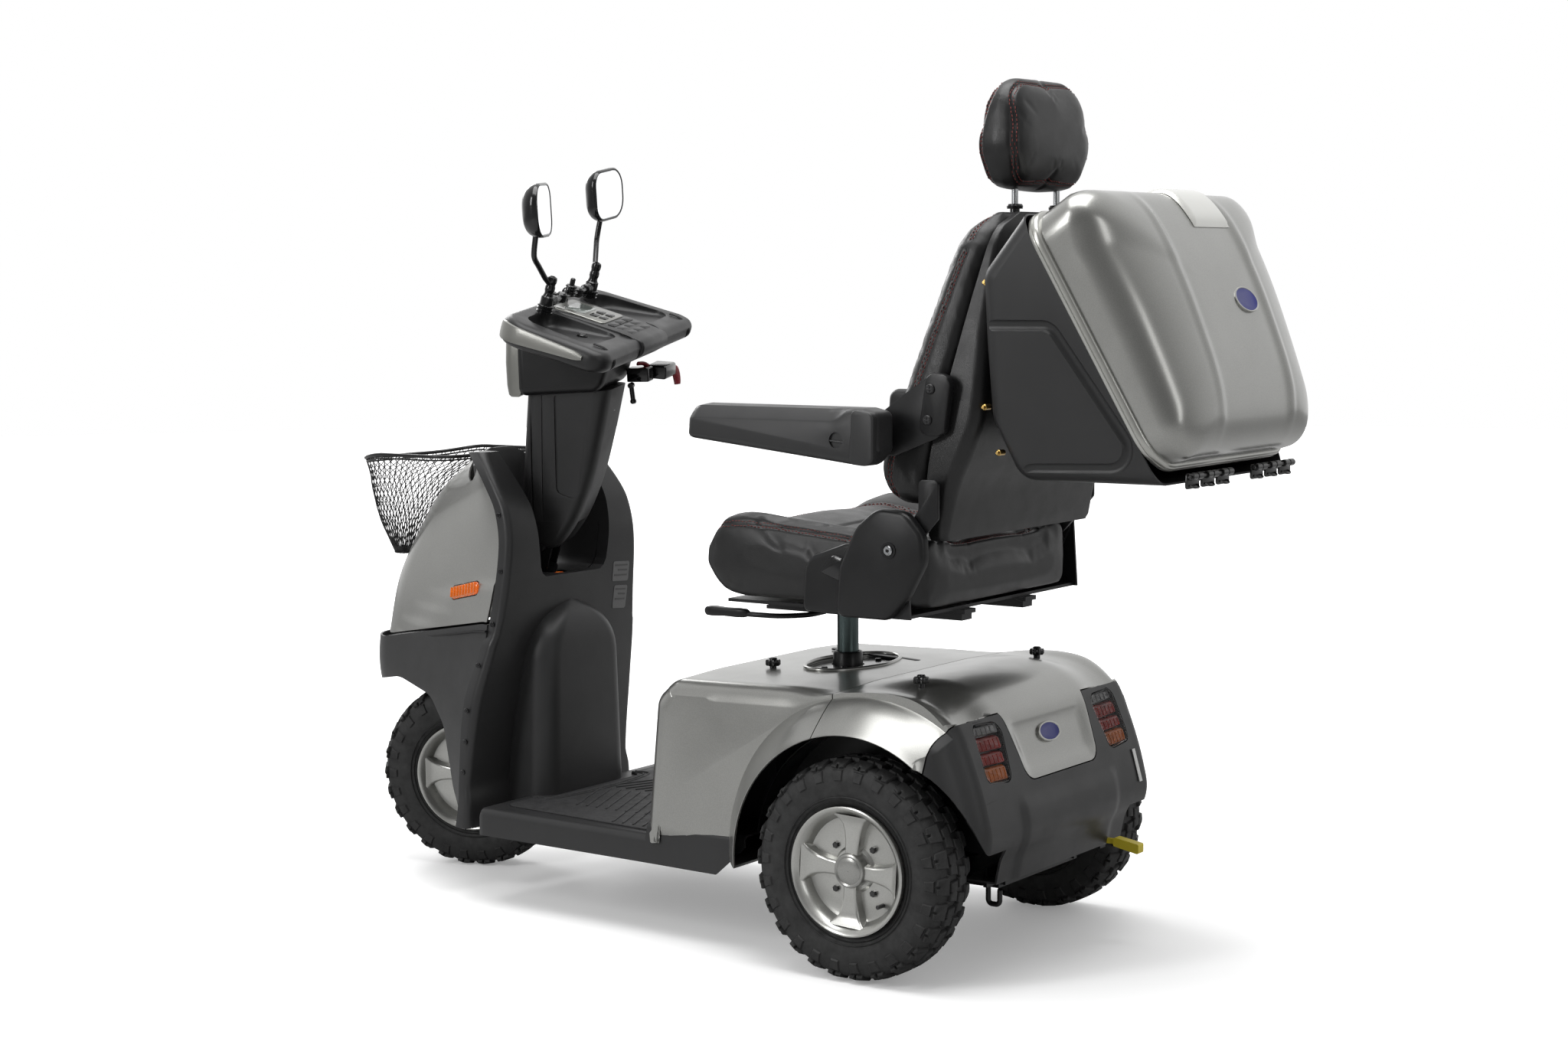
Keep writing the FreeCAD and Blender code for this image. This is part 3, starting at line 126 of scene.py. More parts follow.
def pale_floor():
    """Floor that looks white to the camera and gives less light back to the object's underside."""
    bm = bmesh.new()
    bmesh.ops.create_circle(bm, cap_ends=True, segments=96, radius=14)
    mesh = bpy.data.meshes.new("floor")
    bm.to_mesh(mesh)
    floor = bpy.data.objects.new("floor", mesh)
    floor.location.z = -0.0005
    t = Nodes("pale_floor")
    t.set({"Base Color": (0.9, 0.9, 0.9, 1), "Roughness": 0.6, "Emission Color": (1, 1, 1, 1)})
    reach = t.new("VectorMath", {0: t.coords}, operation="LENGTH").outputs["Value"]
    glow = t.new("MapRange", {"Value": reach, "From Min": 1.2, "From Max": 3.2, "To Min": 0.22, "To Max": 1.0})
    t.set({"Emission Strength": glow.outputs[0]})
    dim = t.new("BsdfDiffuse", {"Color": (0.5, 0.5, 0.5, 1)})
    choose = t.new("MixShader", {0: t.new("LightPath").outputs["Is Camera Ray"], 1: dim.outputs[0],
                                 2: t.shader.outputs[0]})
    t.feed(t.tree.nodes["Material Output"].inputs[0], choose.outputs[0])
    mesh.materials.append(t.mat)
    bpy.context.scene.collection.objects.link(floor)


# ---------------------------------------------------------------- materials

class Nodes:
    """A short way to write the node tree of a new material."""

    def __init__(self, name):
        self.mat = bpy.data.materials.new(name)
        self.mat.use_nodes = True
        self.tree = self.mat.node_tree
        self.shader = self.tree.nodes["Principled BSDF"]
        self.coords = self.tree.nodes.new("ShaderNodeTexCoord").outputs["Object"]

    def new(self, kind, links=None, **settings):
        node = self.tree.nodes.new("ShaderNode" + kind)
        for name, value in settings.items():
            setattr(node, name, value)
        for name, value in (links or {}).items():
            self.feed(node.inputs[name], value)
        return node

    def feed(self, socket, value):
        if isinstance(value, bpy.types.NodeSocket):
            self.tree.links.new(value, socket)
        else:
            socket.default_value = value

    def set(self, values):
        """Constants and links on the sockets of the Principled shader."""
        for name, value in values.items():
            self.feed(self.shader.inputs[name], value)

    def noise(self, scale, detail=3, rough=0.55, vector=None, stretch=None):
        source = vector or self.coords
        if stretch:
            source = self.new("Mapping", {"Vector": source, "Scale": stretch}).outputs[0]
        return self.new("TexNoise", {"Vector": source, "Scale": scale, "Detail": detail,
                                     "Roughness": rough}).outputs["Fac"]

    def ramp(self, fac, stops):
        node = self.new("ValToRGB", {"Fac": fac})
        elements = node.color_ramp.elements
        while len(elements) < len(stops):
            elements.new(0.5)
        for element, (place, colour) in zip(elements, stops):
            element.position = place
            element.color = (*colour, 1) if len(colour) == 3 else colour
        return node.outputs["Color"]

    def greys(self, fac, *stops):
        return self.ramp(fac, [(place, (level,) * 3) for place, level in stops])

    def math(self, operation, a, b=0.0):
        node = self.new("Math", operation=operation)
        self.feed(node.inputs[0], a)
        self.feed(node.inputs[1], b)
        return node.outputs[0]

    def mix(self, fac, a, b, kind="MIX"):
        node = self.new("Mix", data_type="RGBA", blend_type=kind)
        self.feed(node.inputs[0], fac)
        self.feed(node.inputs[6], a)
        self.feed(node.inputs[7], b)
        return node.outputs[2]

    def bump(self, height, strength, distance, normal=None):
        links = {"Height": height, "Strength": strength, "Distance": distance}
        if normal is not None:
            links["Normal"] = normal
        return self.new("Bump", links).outputs[0]


def shade(colour, factor):
    return tuple(min(1.0, c * factor) for c in colour)


def material(name, colour, rough, metallic=0.0, grain=900, bump=0.08, spread=0.1, coat=0.0, ior=1.45,
             speckle=0.0, wear=0.0, rough_spread=0.12, coat_rough=0.12, specular=0.5, glow=0.0):
    """Painted or moulded surface: colour drift, fine grain, uneven gloss and lighter worn edges; glow adds emission in
    the surface colour, which paints light on a part that is no lamp.
    """
    t = Nodes(name)
    base = t.ramp(t.noise(7, 4), [(0.3, shade(colour, 1 - spread)), (0.7, shade(colour, 1 + spread))])
    if speckle:
        flakes = t.greys(t.noise(700, 1, 0.5), (0.42, 0.5 - speckle), (0.58, 0.5 + speckle))
        base = t.mix(1.0, base, flakes, "OVERLAY")
    if wear:
        edge = t.greys(t.new("NewGeometry").outputs["Pointiness"], (0.52, 0), (0.6, wear))
        base = t.mix(edge, base, (*shade(colour, 2.2), 1))
    t.set({"Base Color": base, "Metallic": metallic, "IOR": ior, "Coat Weight": coat, "Coat Roughness": coat_rough,
           "Specular IOR Level": specular,
           "Roughness": t.greys(t.noise(22, 5), (0.25, max(0.02, rough - rough_spread / 2)),
                                (0.75, min(1, rough + rough_spread / 2)))})
    # glow is painted light: the surface gives off light in its own colour.
    if glow:
        t.set({"Emission Color": base, "Emission Strength": glow})
    if bump:
        fine = t.bump(t.noise(grain, 2), bump, 0.0006)
        t.set({"Normal": t.bump(t.noise(5, 2), bump * 0.5, 0.004, fine)})
    return t.mat


def leather_material(name, perforated=False):
    """Black leather: cell grain, creases and soft colour drift, with punched holes on the centre panels that are
    painted darker, as painted shade in the holes.
    """
    t = Nodes(name)
    cells = t.new("TexVoronoi", {"Vector": t.coords, "Scale": 620.0}, feature="DISTANCE_TO_EDGE").outputs["Distance"]
    crease = t.noise(46, 5, 0.6)
    base = t.ramp(t.noise(10, 4), [(0.3, (0.0035, 0.0035, 0.0038)), (0.72, (0.007, 0.0069, 0.007))])
    height = t.math("ADD", t.math("MULTIPLY", cells, 0.6), t.math("MULTIPLY", crease, 0.5))
    if perforated:
        holes = t.new("TexVoronoi", {"Vector": t.coords, "Scale": 190.0, "Randomness": 0.0}).outputs["Distance"]
        rim = t.greys(holes, (0.17, 0), (0.25, 1))
        # The holes take a darker colour than the leather: painted shade in the punched holes.
        base = t.mix(rim, (0.002, 0.002, 0.002, 1), base)
        height = t.math("MULTIPLY", height, rim)
    t.set({"Base Color": base, "Roughness": t.greys(t.noise(30, 4), (0.3, 0.32), (0.7, 0.42)),
           "Specular IOR Level": 0.4, "Sheen Weight": 0.02, "Sheen Roughness": 0.5,
           "Normal": t.bump(height, 0.35, 0.0008)})
    return t.mat


def rubber_material(name, colour):
    """Tyre rubber: dull, with patches of dust and a fine uneven grain."""
    t = Nodes(name)
    t.set({"Base Color": t.ramp(t.noise(38, 5, 0.65), [(0.35, colour), (0.75, shade(colour, 2.1))]),
           "Roughness": t.greys(t.noise(60, 3), (0.3, 0.55), (0.7, 0.8)),
           "Normal": t.bump(t.noise(700, 3), 0.25, 0.0008)})
    return t.mat


def brushed_material(name, colour, rough):
    """Bare metal with fine streaks along Z."""
    t = Nodes(name)
    streak = t.noise(240, 3, 0.6, stretch=(1, 1, 0.04))
    t.set({"Base Color": t.ramp(streak, [(0.3, shade(colour, 0.82)), (0.7, shade(colour, 1.05))]),
           "Roughness": t.greys(streak, (0.3, rough), (0.7, rough + 0.16)), "Metallic": 1.0,
           "Normal": t.bump(streak, 0.08, 0.0004)})
    return t.mat


def lens_material(name, colour, clear=0.7, rough=0.08, glow=0.12, coat=0.5, ior=1.46):
    """Lens moulding: tinted and see-through, with small optic ribs."""
    t = Nodes(name)
    t.set({"Base Color": t.ramp(t.noise(120, 2), [(0.3, shade(colour, 0.75)), (0.7, colour)]),
           "Roughness": t.greys(t.noise(40, 2), (0.3, rough), (0.7, rough + 0.06)), "Transmission Weight": clear,
           "Emission Color": (*colour, 1), "Emission Strength": glow, "IOR": ior, "Coat Weight": coat})
    ribs = t.new("TexWave", {"Vector": t.coords, "Scale": 60.0, "Distortion": 0.0}, wave_type="BANDS",
                 bands_direction="Z").outputs["Fac"]
    t.set({"Normal": t.bump(ribs, 0.2, 0.0006)})
    return t.mat


SILVER = (0.3, 0.3, 0.286)
CHARCOAL = (0.021, 0.021, 0.0215)
M = {
    "silver_paint": material("silver_paint", SILVER, 0.3, 0.85, 300, 0.006, 0.04, coat=0.5, speckle=0.02,
                             coat_rough=0.14, rough_spread=0.05),
    "charcoal_plastic": material("charcoal_plastic", CHARCOAL, 0.4, 0, 1300, 0.08, 0.1, wear=0.12, specular=0.42),
    "grey_plastic": material("grey_plastic", (0.05, 0.05, 0.049), 0.4, 0, 1300, 0.08, 0.08, wear=0.15),
    "black_plastic": material("black_plastic", (0.007, 0.007, 0.0074), 0.34, 0, 1200, 0.08, 0.12, wear=0.1,
                              specular=0.36),
    "head_plastic": material("head_plastic", (0.012, 0.012, 0.0123), 0.38, 0, 1200, 0.08, 0.1, wear=0.12,
                             specular=0.4),
    "gloss_black": material("gloss_black", (0.006, 0.006, 0.0065), 0.16, 0, 900, 0.02, 0.12, coat=0.3,
                            specular=0.4),
    "frame_black": material("frame_black", (0.008, 0.008, 0.0085), 0.36, 0.1, 700, 0.14, 0.12, wear=0.3,
                            specular=0.4),
    "bright_steel": brushed_material("bright_steel", (0.42, 0.43, 0.44), 0.14),
    "post_steel": brushed_material("post_steel", (0.1, 0.13, 0.13), 0.24),
    "trim_silver": material("trim_silver", (0.21, 0.21, 0.195), 0.34, 0.7, 400, 0.008, 0.04, coat=0.35,
                            coat_rough=0.2),
    "dark_steel": material("dark_steel", (0.06, 0.06, 0.06), 0.3, 0.9, 900, 0.06, 0.1),
    "brass": material("brass", (0.45, 0.3, 0.1), 0.3, 1.0, 900, 0.05, 0.1),
    "tyre_rubber": rubber_material("tyre_rubber", (0.010, 0.010, 0.010)),
    "floor_rubber": rubber_material("floor_rubber", (0.010, 0.010, 0.0105)),
    "wheel_silver": material("wheel_silver", (0.42, 0.42, 0.4), 0.3, 0.8, 400, 0.01, 0.05, coat=0.5, speckle=0.02,
                             rough_spread=0.06),
    "leather_black": leather_material("leather_black"),
    "leather_perforated": leather_material("leather_perforated", True),
    "amber_lens": lens_material("amber_lens", (0.9, 0.26, 0.03)),
    "amber_cell": material("amber_cell", (0.3, 0.07, 0.006), 0.3, 0, 300, 0.5, 0.6, coat=0.12, specular=0.3),
    "red_cell": material("red_cell", (0.2, 0.009, 0.005), 0.3, 0, 300, 0.5, 0.6, coat=0.12, specular=0.3),
    "white_cell": material("white_cell", (0.16, 0.16, 0.16), 0.3, 0.6, 300, 0.4, 0.5, coat=0.12),
    "red_lens": lens_material("red_lens", (0.75, 0.03, 0.02)),
    "clear_lens": lens_material("clear_lens", (0.95, 0.95, 0.95), 1.0, 0.02, 0.0, 0.0, 1.09),
    # The mirror pane glows in its own colour: painted light that stands in for a bright reflection.
    "mirror_glass": material("mirror_glass", (0.86, 0.87, 0.88), 0.04, 1.0, 400, 0.003, 0.02, rough_spread=0.02,
                             glow=0.5),
    "wire_mesh": material("wire_mesh", (0.012, 0.012, 0.0125), 0.42, 0.3, 900, 0.1, 0.15),
    "drive_metal": material("drive_metal", (0.04, 0.04, 0.043), 0.5, 0.7, 300, 0.3, 0.15, wear=0.4),
    "battery_case": material("battery_case", (0.02, 0.02, 0.022), 0.55, 0, 900, 0.15, 0.1, wear=0.2),
    "pale_silver": material("pale_silver", (0.4, 0.4, 0.375), 0.3, 0.75, 400, 0.008, 0.04, coat=0.5,
                            rough_spread=0.05),
    "catch_silver": material("catch_silver", (0.6, 0.6, 0.57), 0.3, 0.4, 400, 0.008, 0.04, coat=0.5,
                             rough_spread=0.05),
    "yellow_grip": material("yellow_grip", (0.62, 0.5, 0.03), 0.42, 0, 900, 0.1, 0.08),
    "thread": material("thread", (0.16, 0.03, 0.026), 0.7, 0, 2600, 0.4, 0.25),
    "label_grey": material("label_grey", (0.12, 0.12, 0.12), 0.35, 0, 900, 0.03, 0.05),
    "label_white": material("label_white", (0.6, 0.6, 0.59), 0.4, 0, 900, 0.02, 0.04),
    "blue_badge": material("blue_badge", (0.004, 0.008, 0.16), 0.42, 0, 900, 0.02, 0.1, coat=0.0),
    "lever_red": material("lever_red", (0.25, 0.02, 0.03), 0.35, 0, 900, 0.05, 0.1),
    "display": material("display", (0.13, 0.145, 0.135), 0.16, 0, 900, 0.01, 0.06, coat=0.6),
}


def paint_cad():
    """Every CAD node takes the node material of its record slot, with a few finer choices."""
    finer = {"transaxle": "drive_metal", "seat_plate": "gloss_black", "seat_post": "post_steel"}
    slots = {s["node"]: s["material_slot"] for s in frame["record"]["subparts"]}
    for name, obj in nodes.items():
        chosen = M[finer.get(name, slots[name])]
        for index in range(max(1, len(obj.data.materials))):
            if index < len(obj.data.materials):
                obj.data.materials[index] = chosen
            else:
                obj.data.materials.append(chosen)


# ---------------------------------------------------------------- mesh helpers

def turns(count):
    """Equally spaced angles of one full turn."""
    return [2 * math.pi * k / count for k in range(count)]


def side_place(sign):
    """Placing of a piece drawn on the left side, for the left (1) or the right (-1)."""
    return TO_ROW if sign > 0 else TO_ROW @ MIRROR


def rounded(points, steps=5):
    """Closed outline (u, v) with each corner (u, v, radius) turned into an arc."""
    result, count = [], len(points)
    for i, point in enumerate(points):
        here = Vector(point[:2])
        radius = point[2] if len(point) > 2 else 0
        a = Vector(points[i - 1][:2]) - here
        b = Vector(points[(i + 1) % count][:2]) - here
        if not radius or a.length < 1e-6 or b.length < 1e-6:
            result.append(tuple(here))
            continue
        a, la, b, lb = a.normalized(), a.length, b.normalized(), b.length
        angle = a.angle(b)
        if angle > math.pi - 0.02:
            result.append(tuple(here))
            continue
        run = min(radius / math.tan(angle / 2), la * 0.49, lb * 0.49)
        radius = run * math.tan(angle / 2)
        centre = here + (a + b).normalized() * (radius / math.sin(angle / 2))
        start, end = here + a * run - centre, here + b * run - centre
        turn = start.angle_signed(end)
        for k in range(steps + 1):
            w = -turn * k / steps
            result.append((centre.x + start.x * math.cos(w) - start.y * math.sin(w),
                           centre.y + start.x * math.sin(w) + start.y * math.cos(w)))
    return result


def lift(outline, plane, level):
    """Outline points (u, v) as 3-D points on the given plane at that level."""
    place = {"yz": lambda u, v: Vector((level, u, v)), "xz": lambda u, v: Vector((u, level, v)),
             "xy": lambda u, v: Vector((u, v, level))}[plane]
    return [place(u, v) for u, v in outline]


def add_loft(bm, rings, caps=(True, True), closed=True):
    """Faces between rings of equal length. Returns the vertices, ring by ring."""
    rows = [[bm.verts.new(p) for p in ring] for ring in rings]
    for low, high in zip(rows, rows[1:]):
        count = len(low)
        for i in range(count if closed else count - 1):
            j = (i + 1) % count
            bm.faces.new((low[i], low[j], high[j], high[i]))
    if closed and caps[0]:
        bm.faces.new(rows[0][::-1])
    if closed and caps[1]:
        bm.faces.new(rows[-1])
    return rows


def add_layers(bm, outline, plane, layers):
    """Loft of one outline through (level, inset) layers."""
    add_loft(bm, [lift(shrink(outline, inset), plane, level) for level, inset in layers])


def add_prism(bm, outline, plane, low, high, round_by=0.0, steps=2):
    """Prism with the rims of both end faces rounded over."""
    rings = [(low, 0)]
    if round_by:
        rings = [(low + round_by * (1 - math.sin(math.pi / 2 * k / steps)),
                  round_by * (1 - math.cos(math.pi / 2 * k / steps))) for k in range(steps, -1, -1)]
    rings += [(high - (level - low), inset) for level, inset in reversed(rings)]
    add_layers(bm, outline, plane, rings)


def rim_curve(half, round_by, steps, between=()):
    """(level, inset) pairs across a form from -half to half whose two rims are rounded over."""
    edge = [(half - round_by * (1 - math.sin(math.pi / 2 * k / steps)),
             round_by * (1 - math.cos(math.pi / 2 * k / steps))) for k in range(steps + 1)]
    return [(-level, inset) for level, inset in reversed(edge)] + [(x, 0) for x in between] + edge


def shrink(outline, amount):
    """Outline moved inwards by an amount along the mean normal at each point."""
    if not amount:
        return outline
    count = len(outline)
    area = sum(outline[i - 1][0] * outline[i][1] - outline[i][0] * outline[i - 1][1] for i in range(count))
    sign = 1 if area > 0 else -1
    moved = []
    for i in range(count):
        a, b, c = Vector(outline[i - 1]), Vector(outline[i]), Vector(outline[(i + 1) % count])
        one, two = (b - a), (c - b)
        one = one.normalized() if one.length > 1e-9 else two.normalized()
        two = two.normalized() if two.length > 1e-9 else one
        normal = Vector((-(one.y + two.y), one.x + two.x))
        if normal.length < 1e-6:
            normal = Vector((-one.y, one.x))
        normal.normalize()
        stretch = 1 / max(0.5, normal.dot(Vector((-one.y, one.x))))
        moved.append(tuple(b + normal * (sign * amount * stretch)))
    return moved


def add_rod(bm, start, end, radius, sides=24, bevel=0.0):
    """Round bar with softened ends."""
    start, end = Vector(start), Vector(end)
    axis = (end - start).normalized()
    side = axis.orthogonal().normalized()
    other = axis.cross(side)
    length = (end - start).length
    stations = [(0, radius - bevel), (bevel, radius), (length - bevel, radius), (length, radius - bevel)] \
        if bevel else [(0, radius), (length, radius)]
    rings = [[start + axis * d + side * (r * math.cos(t)) + other * (r * math.sin(t))
              for t in turns(sides)] for d, r in stations]
    add_loft(bm, rings)


def add_ring(bm, centre, axis, profile, sides=64, start=0.0, sweep=2 * math.pi):
    """Revolve a closed profile of (distance along axis, radius) about an axis."""
    centre, axis = Vector(centre), Vector(axis).normalized()
    side = axis.orthogonal().normalized()
    other = axis.cross(side)
    full = abs(sweep - 2 * math.pi) < 1e-6
    count = sides if full else sides + 1
    rows = []
    for k in range(count):
        t = start + sweep * k / sides
        out = side * math.cos(t) + other * math.sin(t)
        rows.append([bm.verts.new(centre + axis * d + out * r) for d, r in profile])
    size = len(profile)
    for k in range(sides):
        a, b = rows[k], rows[(k + 1) % count]
        for i in range(size):
            j = (i + 1) % size
            bm.faces.new((a[i], a[j], b[j], b[i]))
    if not full:
        bm.faces.new(rows[0][::-1])
        bm.faces.new(rows[-1])


def smooth_path(points, per=6):
    """Catmull-Rom points through the given ones."""
    pts = [Vector(p) for p in points]
    pts = [pts[0] * 2 - pts[1]] + pts + [pts[-1] * 2 - pts[-2]]
    out = []
    for i in range(1, len(pts) - 2):
        a, b, c, d = pts[i - 1:i + 3]
        for k in range(per):
            t = k / per
            out.append(0.5 * ((2 * b) + (c - a) * t + (2 * a - 5 * b + 4 * c - d) * t * t
                              + (3 * b - a - 3 * c + d) * t ** 3))
    out.append(pts[-2])
    return out


def add_tube(bm, points, radius, sides=12, flat=1.0, closed=False):
    """Tube along points, with parallel-transported rings. radius may be a list."""
    points = [Vector(p) for p in points]
    count = len(points)
    tangents = []
    for i in range(count):
        before = points[(i - 1) % count] if closed or i else points[0]
        after = points[(i + 1) % count] if closed or i < count - 1 else points[-1]
        tangents.append((after - before).normalized())
    side = tangents[0].orthogonal().normalized()
    rings = []
    for i, (point, tangent) in enumerate(zip(points, tangents)):
        side = (side - tangent * side.dot(tangent)).normalized()
        other = tangent.cross(side)
        r = radius[i] if isinstance(radius, (list, tuple)) else radius
        rings.append([point + side * (r * math.cos(t)) + other * (r * flat * math.sin(t))
                      for t in turns(sides)])
    if closed:
        rows = [[bm.verts.new(p) for p in ring] for ring in rings]
        for a in range(count):
            low, high = rows[a], rows[(a + 1) % count]
            shift = 0
            if a == count - 1:
                gaps = [(high[k].co - low[0].co).length for k in range(sides)]
                shift = gaps.index(min(gaps))
            for i in range(sides):
                j = (i + 1) % sides
                bm.faces.new((low[i], low[j], high[(j + shift) % sides], high[(i + shift) % sides]))
    else:
        add_loft(bm, rings)


def make(name, bm, mat, body, place=TO_ROW, replaces=(), bevel=0.0, solid=0.0, angle=40, weld=False):
    """Finish a mesh piece: move it to the row frame, round it, paint it and hang it on its body."""
    if weld:
        bmesh.ops.remove_doubles(bm, verts=bm.verts, dist=0.01)
    bmesh.ops.recalc_face_normals(bm, faces=bm.faces)
    bm.transform(place)
    if place.determinant() < 0:
        bmesh.ops.reverse_faces(bm, faces=bm.faces)
    mesh = bpy.data.meshes.new(name)
    bm.to_mesh(mesh)
    bm.free()
    obj = bpy.data.objects.new(name, mesh)
    bpy.context.scene.collection.objects.link(obj)
    for one in mat if isinstance(mat, (list, tuple)) else [mat]:
        mesh.materials.append(M[one])
    if solid:
        mod = obj.modifiers.new("solid", "SOLIDIFY")
        mod.thickness, mod.offset = solid * 0.001, -1
    if bevel:
        mod = obj.modifiers.new("bevel", "BEVEL")
        mod.width, mod.segments, mod.limit_method = bevel * 0.001, 3, "ANGLE"
        mod.angle_limit = math.radians(35)
    bake(obj)
    obj.data.shade_smooth()
    if angle is not None:
        sharpen(obj.data, math.radians(angle))
    if replaces:
        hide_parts(*replaces)
    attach(obj, body)
    return obj


def sharpen(mesh, angle):
    """Mark edges whose faces meet at more than the angle, so flat faces stay crisp."""
    bm = bmesh.new()
    bm.from_mesh(mesh)
    for edge in bm.edges:
        edge.smooth = len(edge.link_faces) != 2 or edge.calc_face_angle(0) < angle
    bm.to_mesh(mesh)
    bm.free()


def bake(obj):
    """Apply the modifiers of an object to its mesh."""
    if not obj.modifiers:
        return
    bpy.context.view_layer.update()
    result = bpy.data.meshes.new_from_object(obj.evaluated_get(bpy.context.evaluated_depsgraph_get()))
    obj.modifiers.clear()
    old = obj.data
    obj.data = result
    bpy.data.meshes.remove(old)
    obj.data.name = obj.name


MIRROR = Matrix.Scale(-1, 4, X)
SIDES = (("left", 1), ("right", -1))


# ---------------------------------------------------------------- tyres and wheels

WHEEL_R, TYRE_HALF, BEAD_R, TREAD_PITCHES = 170, 46, 97, 26
TRACK_HALF, FRONT_AXLE_Y = 281, -1005


def wheel_places():
    """Name, side, centre and placing of each wheel."""
    rear = [(f"rear_{name}", sign, (TRACK_HALF * sign, 0, WHEEL_R), TO_ROW) for name, sign in SIDES]
    return rear + [("front", 1, (0, FRONT_AXLE_Y, WHEEL_R), STEERED)]


def tyre_profile(radius, half_width, bead):
    """Outer skin of a tyre from one bead to the other, as (axial, radial) points."""
    w, r, b = half_width, radius - 6, bead
    side = [(w * 0.74, b), (w * 0.84, b + 6), (w * 0.95, b + (r - b) * 0.3), (w * 1.0, b + (r - b) * 0.55),
            (w * 0.97, b + (r - b) * 0.76), (w * 0.86, r - 5), (w * 0.62, r - 1.2), (w * 0.32, r - 0.2)]
    return [(-a, q) for a, q in side] + [(0, r)] + side[::-1]


def tyre_mesh(bm, centre, axis, radius, half_width, bead, pitches):
    """Carcass with raised centre blocks, shoulder blocks and side lugs."""
    skin = tyre_profile(radius, half_width, bead)
    fine = smooth_path([(a, q, 0) for a, q in skin], 4)
    fine = [(p.x, p.y) for p in fine]
    inner = [(half_width * 0.66, bead + 3), (-half_width * 0.66, bead + 3)]
    add_ring(bm, centre, axis, fine + inner, 96)
    centre, axis = Vector(centre), Vector(axis).normalized()
    side = axis.orthogonal().normalized()
    other = axis.cross(side)
    lengths = [0.0]
    for a, b in zip(fine, fine[1:]):
        lengths.append(lengths[-1] + math.dist(a, b))
    middle = lengths[-1] / 2

    def spot(angle, s, height):
        s += middle
        i = min(max(1, next((k for k, v in enumerate(lengths) if v >= s), len(fine) - 1)), len(fine) - 1)
        t = (s - lengths[i - 1]) / (lengths[i] - lengths[i - 1])
        (a0, r0), (a1, r1) = fine[i - 1], fine[i]
        out = Vector((r1 - r0, a0 - a1)).normalized() * -1
        a, r = a0 + (a1 - a0) * t + out.x * height, r0 + (r1 - r0) * t + out.y * height
        return centre + axis * a + (side * math.cos(angle) + other * math.sin(angle)) * r

    def block(angle, outline, height):
        """outline is (arc mm, s mm) points."""
        rings = []
        for inset, h in ((-1.2, -1.0), (0.0, height - 1.0), (1.1, height)):
            rings.append([spot(angle + u / radius, v, h) for u, v in shrink(outline, inset)])
        add_loft(bm, rings, caps=(False, True))

    pitch = 2 * math.pi / pitches
    arc = pitch * radius
    half = half_width
    notch = 2.2
    for k in range(pitches):
        for sign in (1, -1):
            angle = k * pitch + (0 if sign > 0 else pitch / 2)
            centre_block = [(0, 2.5), (arc * 0.34, 2.5), (arc * 0.37, 2.5 + notch), (arc * 0.43, 2.5 + notch),
                            (arc * 0.46, 2.5), (arc * 0.78, 2.5), (arc * 0.72, half * 0.42),
                            (arc * 0.44, half * 0.42), (arc * 0.41, half * 0.42 - notch),
                            (arc * 0.35, half * 0.42 - notch), (arc * 0.32, half * 0.42), (arc * 0.06, half * 0.42)]
            shoulder = [(arc * 0.30, half * 0.5), (arc * 0.98, half * 0.5), (arc * 0.94, half * 0.92),
                        (arc * 0.72, half * 0.95), (arc * 0.69, half * 0.86), (arc * 0.62, half * 0.86),
                        (arc * 0.59, half * 0.95), (arc * 0.36, half * 0.92)]
            lug = [(arc * 0.42, half * 1.02), (arc * 0.88, half * 1.02), (arc * 0.84, half * 1.36),
                   (arc * 0.46, half * 1.36)]
            for outline, height in ((centre_block, 6.0), (shoulder, 5.6), (lug, 2.6)):
                ring = [(u, v * sign) for u, v in outline]
                block(angle, ring, height)
    for sign in (1, -1):
        for q in (0.12, 0.2):
            level = bead + (radius - bead) * q
            a = half_width * (0.9 if q < 0.15 else 0.945) * sign
            add_ring(bm, centre, axis, [(a, level), (a + sign * 1.6, level + 1), (a, level + 2.4)], 96)


def tyres():
    """One tread piece for each wheel."""
    for name, sign, centre, place in wheel_places():
        bm = bmesh.new()
        tyre_mesh(bm, centre, X * sign, WHEEL_R, TYRE_HALF, BEAD_R, TREAD_PITCHES)
        make(f"tyre_{name}_tread", bm, "tyre_rubber", f"wheel_{name}", place=place,
             replaces=[f"tyre_{name}"], angle=35)


# ---------------------------------------------------------------- soft goods

def tree_of(obj):
    mesh = obj.data
    verts = [obj.matrix_world @ v.co for v in mesh.vertices]
    return BVHTree.FromPolygons(verts, [tuple(p.vertices) for p in mesh.polygons])


def remesh(obj, voxel):
    mod = obj.modifiers.new("remesh", "REMESH")
    mod.mode, mod.voxel_size = "VOXEL", voxel
    bake(obj)


def puff(obj, pressure, cap, pinned=None):
    """Cloth under inner pressure for twenty frames, with each point's travel capped."""
    scene = bpy.context.scene
    start = np.array([v.co for v in obj.data.vertices], float)
    cloth = obj.modifiers.new("cloth", "CLOTH")
    settings = cloth.settings
    settings.quality = 5
    settings.use_pressure = True
    settings.uniform_pressure_force = pressure
    settings.tension_stiffness = settings.compression_stiffness = 22
    settings.bending_stiffness = 3.0
    settings.effector_weights.gravity = 0
    cloth.collision_settings.use_self_collision = False
    if pinned:
        group = obj.vertex_groups.new(name="pin")
        group.add([v.index for v in obj.data.vertices if pinned(v.co)], 1.0, "REPLACE")
        settings.vertex_group_mass = "pin"
    cloth.point_cache.frame_start, cloth.point_cache.frame_end = 1, 20
    for number in range(1, 21):
        scene.frame_set(number)
    shape = obj.evaluated_get(bpy.context.evaluated_depsgraph_get()).data
    end = np.array([v.co for v in shape.vertices], float)
    obj.modifiers.clear()
    scene.frame_set(1)
    move = end - start
    size = np.linalg.norm(move, axis=1)
    move *= np.where(size > cap, cap / np.maximum(size, 1e-9), 1)[:, None]
    obj.data.vertices.foreach_set("co", (start + move).astype(np.float32).ravel())
    obj.data.update()


